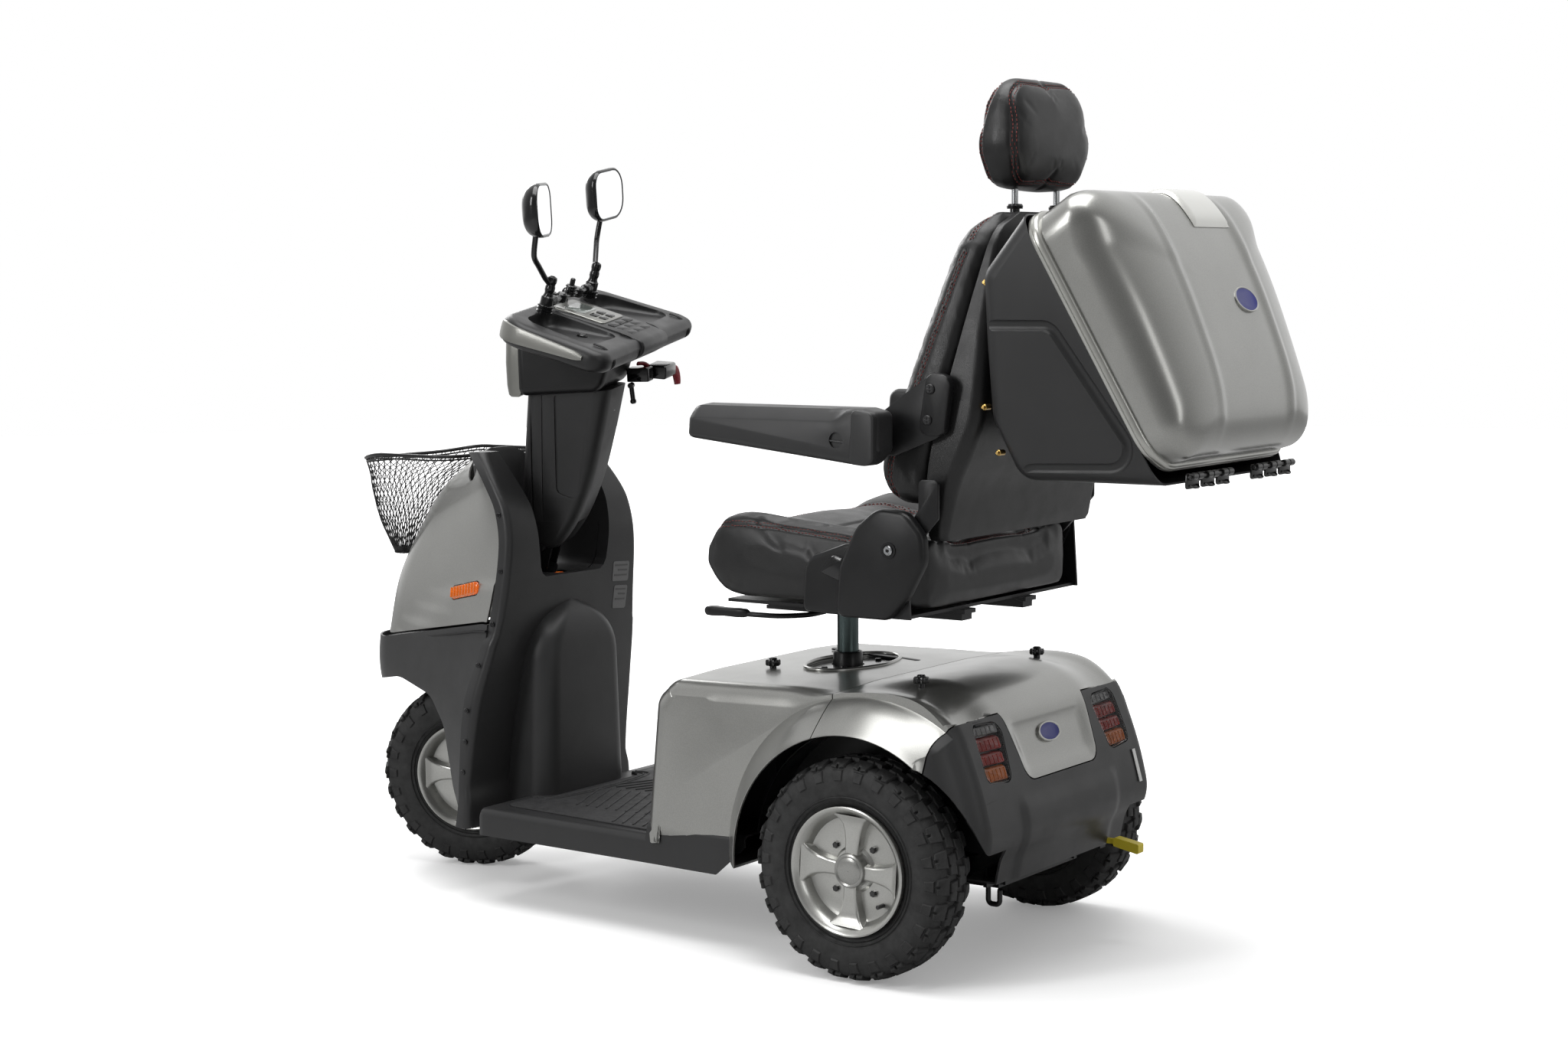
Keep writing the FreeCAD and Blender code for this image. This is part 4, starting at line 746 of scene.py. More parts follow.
def groove(obj, paths, width, depth):
    """Press seam lines into the mesh: points near a path sink along their normals."""
    points = []
    for path in paths:
        for a, b in zip(path, path[1:]):
            steps = max(1, int((b - a).length / (width * 0.3)))
            points += [a.lerp(b, k / steps) for k in range(steps)]
    tree = KDTree(len(points))
    for i, p in enumerate(points):
        tree.insert(p, i)
    tree.balance()
    mesh = obj.data
    normals = [v.normal.copy() for v in mesh.vertices]
    for v, n in zip(mesh.vertices, normals):
        distance = tree.find(v.co)[2]
        if distance < width * 2.5:
            v.co -= n * (depth * math.exp(-(distance / width) ** 2))
    mesh.update()


def stitches(name, obj, paths, offsets, body, pitch=0.0062, length=0.0042, radius=0.0006):
    """Short threads lying on the skin beside each seam path."""
    tree = tree_of(obj)
    bm = bmesh.new()
    for path in paths:
        run = 0.0
        for a, b in zip(path, path[1:]):
            step = (b - a).length
            if step < 1e-7:
                continue
            direction = (b - a) / step
            while run < step:
                spot = a + direction * run
                hit, normal = tree.find_nearest(spot)[:2]
                if hit is not None:
                    across = direction.cross(normal)
                    if across.length > 1e-5:
                        across.normalize()
                        for offset in offsets:
                            there, n2 = tree.find_nearest(hit + across * offset)[:2]
                            mid = there + n2 * radius * 0.9
                            s, e = mid - direction * length / 2, mid + direction * length / 2
                            ring = []
                            for point, r in ((s, radius * 0.4), (s.lerp(e, 0.2), radius), (s.lerp(e, 0.8), radius),
                                             (e, radius * 0.4)):
                                ring.append([point + (across * math.cos(t) + n2 * math.sin(t)) * r
                                             for t in (math.pi / 3 * k for k in range(6))])
                            add_loft(bm, ring)
                run += pitch
            run -= step
    return make(name, bm, "thread", body, place=Matrix.Identity(4), angle=None)


def skin_path(tree, points, direction):
    """Points dropped on to a skin along a direction."""
    found = []
    for p in points:
        hit = tree.ray_cast(p, direction)[0]
        if hit is not None:
            found.append(hit)
    for _ in range(6):
        found[1:-1] = [(a + b * 2 + c) / 4 for a, b, c in zip(found, found[1:], found[2:])]
    return found


def soft_piece(name, bm, replaced, voxel=0.005, pressure=4.0, cap=0.006, pinned=None):
    """Closed form to padded piece: voxel remesh, cloth pressure, then one subdivision."""
    bmesh.ops.recalc_face_normals(bm, faces=bm.faces)
    bm.transform(TO_ROW)
    mesh = bpy.data.meshes.new(name)
    bm.to_mesh(mesh)
    bm.free()
    obj = bpy.data.objects.new(name, mesh)
    bpy.context.scene.collection.objects.link(obj)
    remesh(obj, voxel)
    smooth = obj.modifiers.new("smooth", "SMOOTH")
    smooth.factor, smooth.iterations = 0.5, 4
    bake(obj)
    puff(obj, pressure, cap, pinned)
    sub = obj.modifiers.new("sub", "SUBSURF")
    sub.levels = sub.render_levels = 1
    bake(obj)
    for one in ("leather_black", "leather_perforated"):
        obj.data.materials.append(M[one])
    obj.data.shade_smooth()
    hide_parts(*replaced)
    return obj


def smoothstep(a, b, t):
    """0 below a, 1 above b and a smooth rise between."""
    t = min(1, max(0, (t - a) / (b - a)))
    return t * t * (3 - 2 * t)


def along(rows, z):
    """Row of numbers at height z, on a smooth curve through the given rows (height first)."""
    count = len(rows)
    i = min(max(sum(1 for row in rows if row[0] <= z) - 1, 0), count - 2)
    low, high = rows[i], rows[i + 1]
    before, after = rows[max(i - 1, 0)], rows[min(i + 2, count - 1)]
    span = high[0] - low[0]
    t = min(max((z - low[0]) / span, 0.0), 1.0)
    result = []
    for k in range(1, len(low)):
        m0 = (high[k] - before[k]) / (high[0] - before[0]) * span
        m1 = (after[k] - low[k]) / (after[0] - low[0]) * span
        result.append((2 * t ** 3 - 3 * t * t + 1) * low[k] + (t ** 3 - 2 * t * t + t) * m0
                      + (3 * t * t - 2 * t ** 3) * high[k] + (t ** 3 - t * t) * m1)
    return result


def curve_at(stops, t):
    """Smooth value of a list of (place, value) at t."""
    return along(stops, t)[0]


def seat_cushion():
    """Seat: raised side bolsters, a dished perforated centre and a rounded front roll."""
    centre_line = [(-326, 640), (-290, 662), (-250, 668), (-150, 654), (-40, 648), (70, 650)]
    side_line = [(-326, 660), (-295, 680), (-250, 688), (-180, 682), (-60, 672), (70, 662)]
    bm = bmesh.new()
    rings = []
    ends = [-325, -323, -318, -311, -302, -290]
    stations = ends + list(range(-276, 40, 14)) + [48, 58, 66, 71, 74]
    for y in stations:
        near = smoothstep(-326, -286, y) ** 0.5 if y < -286 else 1
        far = 1 - smoothstep(46, 76, y) * 0.12
        f = near * 0.62 + 0.38
        zc, zs = curve_at(centre_line, y), curve_at(side_line, y)
        low = 558 + 14 * (1 - smoothstep(-326, -250, y))
        half = 243 * (0.955 + 0.045 * near) * far
        top = [(-half + 1, 640), (-half, zs - 26), (-half + 3, zs - 12), (-half + 12, zs - 3), (-half + 26, zs),
               (-half + 44, zs - 4), (-160, zc + 10), (-128, zc + 2), (-90, zc), (-45, zc + 2), (0, zc + 3)]
        top = top + [(-x, z) for x, z in top[-2::-1]]
        bottom = [(half, 600), (half - 4, low + 12), (half - 14, low + 2), (half - 40, low), (100, low), (0, low),
                  (-100, low), (-half + 40, low), (-half + 14, low + 2), (-half + 4, low + 12), (-half, 600)]
        mid = 622
        rings.append([Vector((x, y, mid + (z - mid) * f)) for x, z in top + bottom])
    add_loft(bm, rings)
    obj = soft_piece("seat_cushion_leather", bm, ["seat_cushion"], cap=0.005, pinned=lambda c: c.z < 0.566)
    tree = tree_of(obj)
    down = Vector((0, 0, -1))
    insert = rounded([(-150, -268, 40), (150, -268, 40), (128, 60, 10), (-128, 60, 10)], 8)
    insert.append(insert[0])
    insert_path = skin_path(tree, [at(x, y, 800) for x, y in densify(insert, 8)], down)
    cross = [skin_path(tree, [at(x, y, 800) for x in range(-140, 141, 8)], down) for y in (-170, -70)]
    sides = []
    for sign in (1, -1):
        line = [(-304, 664), (-292, 671), (-250, 676), (-180, 672), (-90, 664), (0, 656), (60, 650)]
        pts = [at(sign * 400, y, z) for y, z in densify(line, 6)]
        sides.append(skin_path(tree, pts, Vector((-sign, 0, 0))))
    front = skin_path(tree, [at(x, -500, 655) for x in range(-222, 223, 8)], Vector((0, 1, 0)))
    loops = [insert_path, *cross, *sides, front]
    groove(obj, loops, 0.0045, 0.0032)
    inside = [Vector((p.x, p.y)) for p in insert_path]
    paint_inside(obj, inside, lambda c, n: n.z > 0.5)
    stitches("seat_cushion_stitching", obj, [insert_path, *sides, front], (-0.0045, 0.0045), "seat")
    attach(obj, "seat")


def densify(points, step):
    """Points of a line with more of them between, at most about a step apart."""
    out = []
    for a, b in zip(points, points[1:]):
        count = max(1, int(math.dist(a, b) / step))
        out += [tuple(a[i] + (b[i] - a[i]) * k / count for i in range(len(a))) for k in range(count)]
    return out + [points[-1]]


def inside_loop(point, loop):
    x, y = point
    hit = False
    for a, b in zip(loop, loop[1:] + loop[:1]):
        if (a[1] > y) != (b[1] > y) and x < (b[0] - a[0]) * (y - a[1]) / (b[1] - a[1]) + a[0]:
            hit = not hit
    return hit


def paint_inside(obj, loop, test, axes=(0, 1)):
    """Give the second material to the faces inside a loop that pass a test."""
    ring = [tuple(p) for p in loop]
    for face in obj.data.polygons:
        c = face.center
        if test(c, face.normal) and inside_loop((c[axes[0]], c[axes[1]]), ring):
            face.material_index = 1


def back_cushion():
    """Backrest: side bolsters forward of a dished perforated centre, round shoulders."""
    front_line = [(716, 22), (745, 4), (772, -1), (800, 6), (900, 40), (1000, 73), (1080, 98), (1130, 116), (1156, 134)]
    rear_line = [(716, 84), (772, 86), (850, 104), (950, 129), (1050, 154), (1110, 168), (1156, 170)]
    width_line = [(716, 238), (745, 242), (800, 240), (900, 233), (1000, 222), (1080, 210), (1110, 202), (1135, 184),
                  (1156, 160)]
    bm = bmesh.new()
    rings = []
    for z in [717, 719, 723, 730, 740] + list(range(754, 1120, 16)) + [1128, 1138, 1146, 1152, 1156]:
        front, rear, half = (curve_at(line, z) for line in (front_line, rear_line, width_line))
        end = min(1.0, math.sqrt(max(0.0, 1 - (1 - (z - 714) / 22) ** 2)) if z < 736 else 1.0)
        if z > 1122:
            end = math.sqrt(max(0.05, 1 - ((z - 1122) / 36) ** 2))
        middle = (front + rear) / 2 + 8
        front, rear = middle + (front - middle) * (0.35 + 0.65 * end), middle + (rear - middle) * (0.6 + 0.4 * end)
        half *= 0.94 + 0.06 * end
        dish = 16 * smoothstep(716, 800, z) * (1 - smoothstep(1060, 1140, z))
        face = [(-half, (front + rear) / 2), (-half + 2, front + 22), (-half + 10, front + 7), (-half + 26, front),
                (-half + 48, front + 4), (-half * 0.62, front + dish * 0.8), (-half * 0.42, front + dish),
                (0, front + dish + 2)]
        face = face + [(-x, y) for x, y in face[-2::-1]]
        behind = [(half - 2, rear - 14), (half - 12, rear - 2), (half - 40, rear), (0, rear), (-half + 40, rear),
                  (-half + 12, rear - 2), (-half + 2, rear - 14)]
        rings.append([Vector((x, y, z)) for x, y in face + behind])
    add_loft(bm, rings)
    obj = soft_piece("back_cushion_leather", bm, ["back_cushion"], cap=0.005, pinned=lambda c: False)
    tree = tree_of(obj)
    rear_way = Vector((0, 1, 0))
    insert = rounded([(-138, 752, 10), (138, 752, 10), (118, 1060, 60), (-118, 1060, 60)], 8)
    insert.append(insert[0])
    insert_path = skin_path(tree, [at(x, -400, z) for x, z in densify(insert, 8)], rear_way)
    cross = [skin_path(tree, [at(x, -400, z) for x in range(-132, 133, 8)], rear_way) for z in (850, 950)]
    sides = []
    for sign in (1, -1):
        line = smooth_path([(30, 730, 0), (22, 772, 0), (62, 900, 0), (96, 1000, 0), (130, 1096, 0)], 16)
        sides.append(skin_path(tree, [at(sign * 400, y, z) for y, z, _ in line], Vector((-sign, 0, 0))))
    top = skin_path(tree, [at(x, 146 if abs(x) < 150 else 146 - (abs(x) - 150) * 0.3, 1400)
                           for x in range(-192, 193, 8)], Vector((0, 0, -1)))
    groove(obj, [insert_path, *cross, *sides, top], 0.0045, 0.0032)
    paint_inside(obj, [Vector((p.x, p.z)) for p in insert_path], lambda c, n: n.y < -0.5, (0, 2))
    stitches("back_cushion_stitching", obj, [insert_path, *sides, top], (-0.0045, 0.0045), "backrest")
    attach(obj, "backrest")


def headrest():
    """Headrest: crowned front and rear panels joined by a side gusset with two seams."""
    outline = rounded([(-92, 1190, 30), (92, 1190, 30), (124, 1250, 60), (104, 1352, 52), (-104, 1352, 52),
                       (-124, 1250, 60)], 8)

    def depth(z):
        return curve_at([(1186, 100), (1230, 94), (1290, 98), (1360, 116)], z), \
            curve_at([(1186, 166), (1230, 174), (1290, 172), (1360, 156)], z)

    bm = bmesh.new()
    rings = []
    for share, inset in ((0.0, 46), (0.0, 30), (0.03, 16), (0.1, 6), (0.24, 0), (0.5, -3), (0.76, 0), (0.9, 7),
                         (0.97, 18), (1.0, 32), (1.0, 48)):
        ring = []
        for x, z in shrink(outline, inset):
            near, far = depth(z)
            ring.append(Vector((x, near + (far - near) * share, z)))
        rings.append(ring)
    add_loft(bm, rings)
    obj = soft_piece("headrest_leather", bm, ["headrest"], voxel=0.004, pressure=5.0)
    tree = tree_of(obj)
    paths = []
    for share, inset in ((0.14, 4), (0.86, 5)):
        loop = []
        ring = shrink(outline, inset - 40)
        ring = ring + [ring[0]]
        middle = Vector((0, 1272))
        for x, z in densify(ring, 5):
            near, far = depth(max(1190, min(1352, z)))
            y = near + (far - near) * share
            start = at(x, y, z)
            way = at(middle.x, y, middle.y) - start
            hit = tree.ray_cast(start, way.normalized())[0]
            if hit is not None:
                loop.append(hit)
        paths.append(loop)
    groove(obj, paths, 0.004, 0.003)
    stitches("headrest_stitching", obj, paths, (-0.004, 0.004), "headrest")
    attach(obj, "headrest")


# ---------------------------------------------------------------- storage box

SPLIT_START = Vector((0, 262, 1138))
SPLIT_RUN = Vector((0, 178, -346)).normalized()
SPLIT_UP = Vector((0, 346, 178)).normalized()


def on_split(x, d, h):
    """A point over the slanting mouth of the box: x, distance down the slope, height over it."""
    return SPLIT_START + X * x * box_taper(d) + SPLIT_RUN * d + SPLIT_UP * h


def box_taper(d):
    """The box is wider at the top than at the hinges."""
    return 1.115 - 0.0005 * max(-20, min(410, d))


def taper_box(bm):
    for v in bm.verts:
        v.co.x *= box_taper((v.co - SPLIT_START).dot(SPLIT_RUN))


def rim_outline(grow=0.0, steps=8):
    return rounded([(-245 - grow, -4 - grow, 46), (245 + grow, -4 - grow, 46), (245 + grow, 404 + grow, 52),
                    (-245 - grow, 404 + grow, 52)], steps)


def resample(loop, count):
    """Closed outline as equally spaced points."""
    loop = [Vector(p) for p in loop] + [Vector(loop[0])]
    lengths = [0.0]
    for a, b in zip(loop, loop[1:]):
        lengths.append(lengths[-1] + (b - a).length)
    out, k = [], 0
    for i in range(count):
        goal = lengths[-1] * i / count
        while lengths[k + 1] < goal:
            k += 1
        out.append(loop[k].lerp(loop[k + 1], (goal - lengths[k]) / max(1e-9, lengths[k + 1] - lengths[k])))
    return out


def lid_height(x, d):
    """Crown of the lid over the slope, with the two long ridges and the panel between them."""
    crown = curve_at([(-40, 112), (20, 120), (70, 126), (130, 128), (200, 125), (320, 112), (420, 94)], d)
    gap = abs(x) - (122 + 0.05 * (d - 200))
    ridge = 5.0 * math.exp(-(gap / 11) ** 2)
    panel = 3.0 * smoothstep(-26, 4, -gap)
    fade = smoothstep(-10, 60, d) * (1 - smoothstep(360, 420, d))
    return crown + (ridge - panel) * fade


def box_lid():
    """Domed silver lid and its bright rim band."""
    outline = resample(rim_outline(-5), 220)
    bm = bmesh.new()
    rings = []
    middle = Vector((0, 190))
    for k in range(64):
        t = (k / 63) ** 1.4
        ring = []
        for q in outline:
            power = 4.2 + 2.8 * smoothstep(90, 0, q.y)
            rise = (1 - (1 - t) ** power) ** (1 / power)
            bulge = 1 + 0.030 * math.sin(math.pi * min(1, rise)) ** 0.8
            p = middle + (q - middle) * (1 - t) * bulge
            ring.append(on_split(p.x, p.y, 8 + (lid_height(p.x, p.y) - 8) * rise))
        rings.append(ring)
    add_loft(bm, rings[:-1], caps=(False, True))
    make("box_lid_shell", bm, "silver_paint", "box_lid", replaces=["box_lid"], solid=4, angle=60)
    band = [(4.0, 0.6), (6.0, 1.2), (7.2, 3.0), (7.2, 6.6), (5.6, 7.6), (5.6, 9.2), (7.2, 10.2), (7.2, 14.6),
            (5.6, 17.0), (2.0, 18.0), (-6.0, 18.0), (-6.0, 0.6)]
    bm = bmesh.new()
    base = resample(rim_outline(-5), 260)
    rings = [[on_split(x, d, h) for x, d in shrink([tuple(q) for q in base], -off)] for off, h in band]
    rings.append(rings[0])
    add_loft(bm, rings, caps=(False, False))
    make("box_lid_rim", bm, "pale_silver", "box_lid", weld=True, angle=45)


def box_catch():
    """Pale flap that hugs the crown of the lid and runs down its rear face."""
    tree = tree_of(bpy.data.objects["box_lid_shell"])
    centre = Vector((0, 318, 1086))
    bm = bmesh.new()
    rows = []
    for step in range(17):
        w = math.radians(99 - step * 4.6)
        way = Vector((0, math.cos(w), math.sin(w)))
        row = []
        for x in range(-112, 7, 4):
            base = centre + X * x
            hit = tree.ray_cast(TO_ROW @ (base + way * 220), -way)[0]
            hit = TO_ROW.inverted() @ hit if hit is not None else base + way * 90
            edge = min((x + 112) / 9, (4 - x) / 9, (16 - step) / 2.5, 1)
            row.append(hit + way * (1.0 + 6.0 * max(0.0, edge) ** 0.5))
        rows.append(row)
    add_loft(bm, rows, closed=False)
    make("box_latch_flap", bm, "catch_silver", "box_latch", replaces=["box_latch"], solid=2.4, angle=50)


def add_oval(bm, centre, run, out, half_long, half_short, layers):
    """Oval boss with its long axis on X: layers of (scale, height) along out."""
    add_loft(bm, [[centre + X * (half_long * s * math.cos(t)) + run * (half_short * s * math.sin(t)) + out * h
                   for t in turns(48)] for s, h in layers])


def box_badge():
    """Blank oval badge on the lid."""
    bm = bmesh.new()
    centre = on_split(-60, 195, lid_height(-60, 195) + 0.2)
    add_oval(bm, centre, SPLIT_RUN, SPLIT_UP, 37, 21,
             ((1.0, -2.0), (1.0, 1.2), (0.96, 1.8), (0.91, 1.8), (0.88, 1.3)))
    obj = make("box_badge", bm, ["pale_silver", "blue_badge"], "box_lid", angle=30)
    mark(obj, lambda f: len(f.vertices) > 8 and f.normal.dot(SPLIT_UP) > 0.5)


def box_body():
    """Dark tray behind the backrest: rounded skin with a pressed groove on each side, and its screws."""
    side = rounded([(188, 1062, 34), (262, 1150), (300, 1176), (520, 760), (234, 760, 36), (191, 850, 60),
                    (188, 960, 60)], 6)
    bm = bmesh.new()
    add_layers(bm, side, "yz", rim_curve(240, 26, 6))
    solid = solid_object("box_solid", bm)
    for sign in (1, -1):
        bm = bmesh.new()
        path = rounded([(150, 986), (300, 986, 26), (438, 784, 30), (250, 778, 30), (215, 730)], 7)[1:]
        add_tube(bm, [Vector((sign * 245, y, z)) for y, z in [(150, 986)] + path], 10, 20)
        combine(solid, solid_object("groove", bm), "DIFFERENCE", None)
    bm = take_mesh(solid)
    for face in bm.faces:
        face.material_index = 0
    geom = bm.verts[:] + bm.edges[:] + bm.faces[:]
    bmesh.ops.bisect_plane(bm, geom=geom, plane_co=SPLIT_START + SPLIT_UP * 0.5, plane_no=SPLIT_UP, clear_outer=True)
    taper_box(bm)
    make("box_body_shell", bm, "charcoal_plastic", "backrest", replaces=["box_body"], solid=3,
         angle=40)
    bm = bmesh.new()
    for sign in (1, -1):
        for y, z in ((181, 1048), (180, 866), (204, 800)):
            add_rod(bm, (sign * 214, y, z), (sign * 230, y, z), 4.5, 16, 1)
            add_rod(bm, (sign * 228, y, z), (sign * 234, y, z), 2.6, 12, 0.6)
    make("box_joint_screws", bm, "brass", "backrest", angle=30)


def hinges():
    """Knuckle hinges with bent wire clips under the lid's rear edge."""
    y, z = 484, 772
    bm = bmesh.new()
    for x0 in (35, -183):
        for offset in (0, 50, 100):
            for part in (0, 18):
                add_rod(bm, (x0 + offset + part, y, z), (x0 + offset + part + 15, y, z), 5.4, 20, 0.8)
            plate = rounded([(x0 + offset - 4, z - 18, 5), (x0 + offset + 38, z - 18, 5), (x0 + offset + 36, z + 4, 3),
                             (x0 + offset - 2, z + 4, 3)], 3)
            add_prism(bm, plate, "xz", y - 8, y - 4.4, 0.8, 2)
            add_tube(bm, smooth_path([(x0 + offset + 4, y - 4, z - 13), (x0 + offset + 10, y + 1, z - 16),
                                      (x0 + offset + 24, y + 1, z - 16), (x0 + offset + 30, y - 4, z - 13)], 5), 1.5, 8)
        add_rod(bm, (x0 - 6, y, z), (x0 + 140, y, z), 2.4, 12, 0.5)
    make("box_hinge_sets", bm, "dark_steel", "backrest", replaces=["box_hinges"], angle=40)


# ---------------------------------------------------------------- rear body

ARCH_R, LIP_R = 206, 256
BODY_HALF = 268
TAIL_LINE = [(-62, 431), (0, 439), (40, 441), (80, 436), (112, 424), (138, 406), (156, 386), (173, 346),
             (190, 300), (201, 262), (207, 232), (204, 208), (194, 186), (186, 150)]


def body_outline():
    """Side profile of the rear body, from the front floor edge over the top to the tail."""
    front = rounded([(-434, 150), (-411, 386, 40), (-380, 425, 44), (-150, 431), (-62, 431)], 8)[:-1]
    tail = [tuple(p)[:2] for p in smooth_path([(y, z, 0) for y, z in TAIL_LINE], 4)]
    loop = front + tail
    return densify(loop, 9)


def on_insert(x, z):
    """How far inside the sloping tail insert a point is, in millimetres. Below zero outside."""
    half = 113 + (z - 298) * 0.17
    return min(half - abs(x), z - 298, 392 - z)


def body_shape(p):
    """Valleys beside the dome, the sunk tail insert and the swelling of the bumper's lower field."""
    x, y, z = p
    a = abs(x)
    if z > 400 and y < 190:
        rearward = smoothstep(-60, 60, y)
        valley = smoothstep(128, 215, a) * (1 - smoothstep(230, 262, a) * 0.4)
        p.z -= 11 * rearward * valley
        p.z -= 4 * smoothstep(120, 250, a) * (1 - rearward)
    if y > 130 and 280 < z < 400:
        depth = smoothstep(6, 24, on_insert(x, z))
        p.y -= 7 * depth * 0.93
        p.z -= 7 * depth * 0.36
    if y > 150 and z < 290:
        p.y += 4.5 * (1 - smoothstep(262, 274, z)) * (1 - smoothstep(142, 156, a))
    return p


def solid_object(name, bm):
    """Closed form as an object for booleans, with two material indices to tell faces apart."""
    bmesh.ops.recalc_face_normals(bm, faces=bm.faces)
    mesh = bpy.data.meshes.new(name)
    bm.to_mesh(mesh)
    bm.free()
    for key in ("silver_paint", "black_plastic"):
        mesh.materials.append(M[key])
    obj = bpy.data.objects.new(name, mesh)
    bpy.context.scene.collection.objects.link(obj)
    return obj


def combine(obj, other, operation, index=1):
    """Boolean with a tool whose faces take a material index, so they can be told apart."""
    for face in other.data.polygons:
        if index is not None:
            face.material_index = index
    mod = obj.modifiers.new("boolean", "BOOLEAN")
    mod.operation, mod.object, mod.solver, mod.material_mode = operation, other, "EXACT", "INDEX"
    bake(obj)
    bpy.data.objects.remove(other, do_unlink=True)


def flare_ring(bm, sign):
    """Swelling round a wheel arch."""
    skin = [(196, ARCH_R - 8), (196, LIP_R - 6), (258, LIP_R + 1.5), (266, LIP_R + 1.5), (270, LIP_R - 1),
            (280, LIP_R - 7), (294, LIP_R - 18), (308, LIP_R - 30), (319, LIP_R - 40), (326, ARCH_R + 3.2),
            (328.6, ARCH_R + 1), (329, ARCH_R - 8)]
    add_ring(bm, (0, 0, WHEEL_R), X * sign, skin, 120)


def prism_tool(points, plane, low, high, steps=6):
    bm = bmesh.new()
    add_prism(bm, rounded(points, steps), plane, low, high)
    return solid_object("tool", bm)


def body_ring(outline, x, inset=0.0):
    """Side profile at one x. The corners behind the flares fall away towards the outside."""
    recess = 14 * smoothstep(250, 280, abs(x)) + 46 * smoothstep(275, 335, abs(x))
    ring = []
    for (y, z), (sy, sz) in zip(outline, shrink(outline, inset)):
        keep = smoothstep(-150, -50, y)
        y, z = sy + (y - sy) * keep, sz + (z - sz) * keep
        ring.append(Vector((x, y - recess * smoothstep(60, 150, y), z)))
    return ring


def body_form():
    """Whole rear body as one solid: the core with its dome, plus the two flares."""
    outline = body_outline()
    bm = bmesh.new()
    add_loft(bm, [[body_shape(v) for v in body_ring(outline, x, inset)]
                  for x, inset in rim_curve(BODY_HALF, 34, 8, range(-225, 226, 9))])
    core = solid_object("body_core", bm)
    for sign in (1, -1):
        bm = bmesh.new()
        flare_ring(bm, sign)
        flare = solid_object("flare", bm)
        bm = bmesh.new()
        add_loft(bm, [body_ring(outline, sign * x) for x in (150, 250, 258, 266, 274, 282, 292, 302, 312, 322, 335)])
        combine(flare, solid_object("limit", bm), "INTERSECT", 0)
        combine(core, flare, "UNION", 0)
    for sign in (1, -1):
        bm = bmesh.new()
        add_rod(bm, (sign * 200, 0, WHEEL_R), (sign * 420, 0, WHEEL_R), ARCH_R, 160)
        combine(core, solid_object("arch", bm), "DIFFERENCE", 1)
    combine(core, prism_tool([(-600, 0), (400, 0), (400, 188), (-600, 188)], "yz", -500, 500), "DIFFERENCE", 1)
    return core


def take_mesh(obj):
    """The mesh of a helper object, which is removed."""
    bm = bmesh.new()
    bm.from_mesh(obj.data)
    bpy.data.objects.remove(obj, do_unlink=True)
    return bm


def finish_shell(obj, name, mats, body, replaces, thickness=3.6, place=TO_ROW):
    """Drop the faces left by tools, thicken what is left and paint it."""
    bm = take_mesh(obj)
    bmesh.ops.delete(bm, geom=[f for f in bm.faces if f.material_index == 1], context="FACES")
    bmesh.ops.remove_doubles(bm, verts=bm.verts, dist=0.06)
    bmesh.ops.dissolve_degenerate(bm, edges=bm.edges, dist=0.04)
    for face in bm.faces:
        face.material_index = 0
    make(name, bm, mats, body, place=place, replaces=replaces, solid=thickness, angle=32)


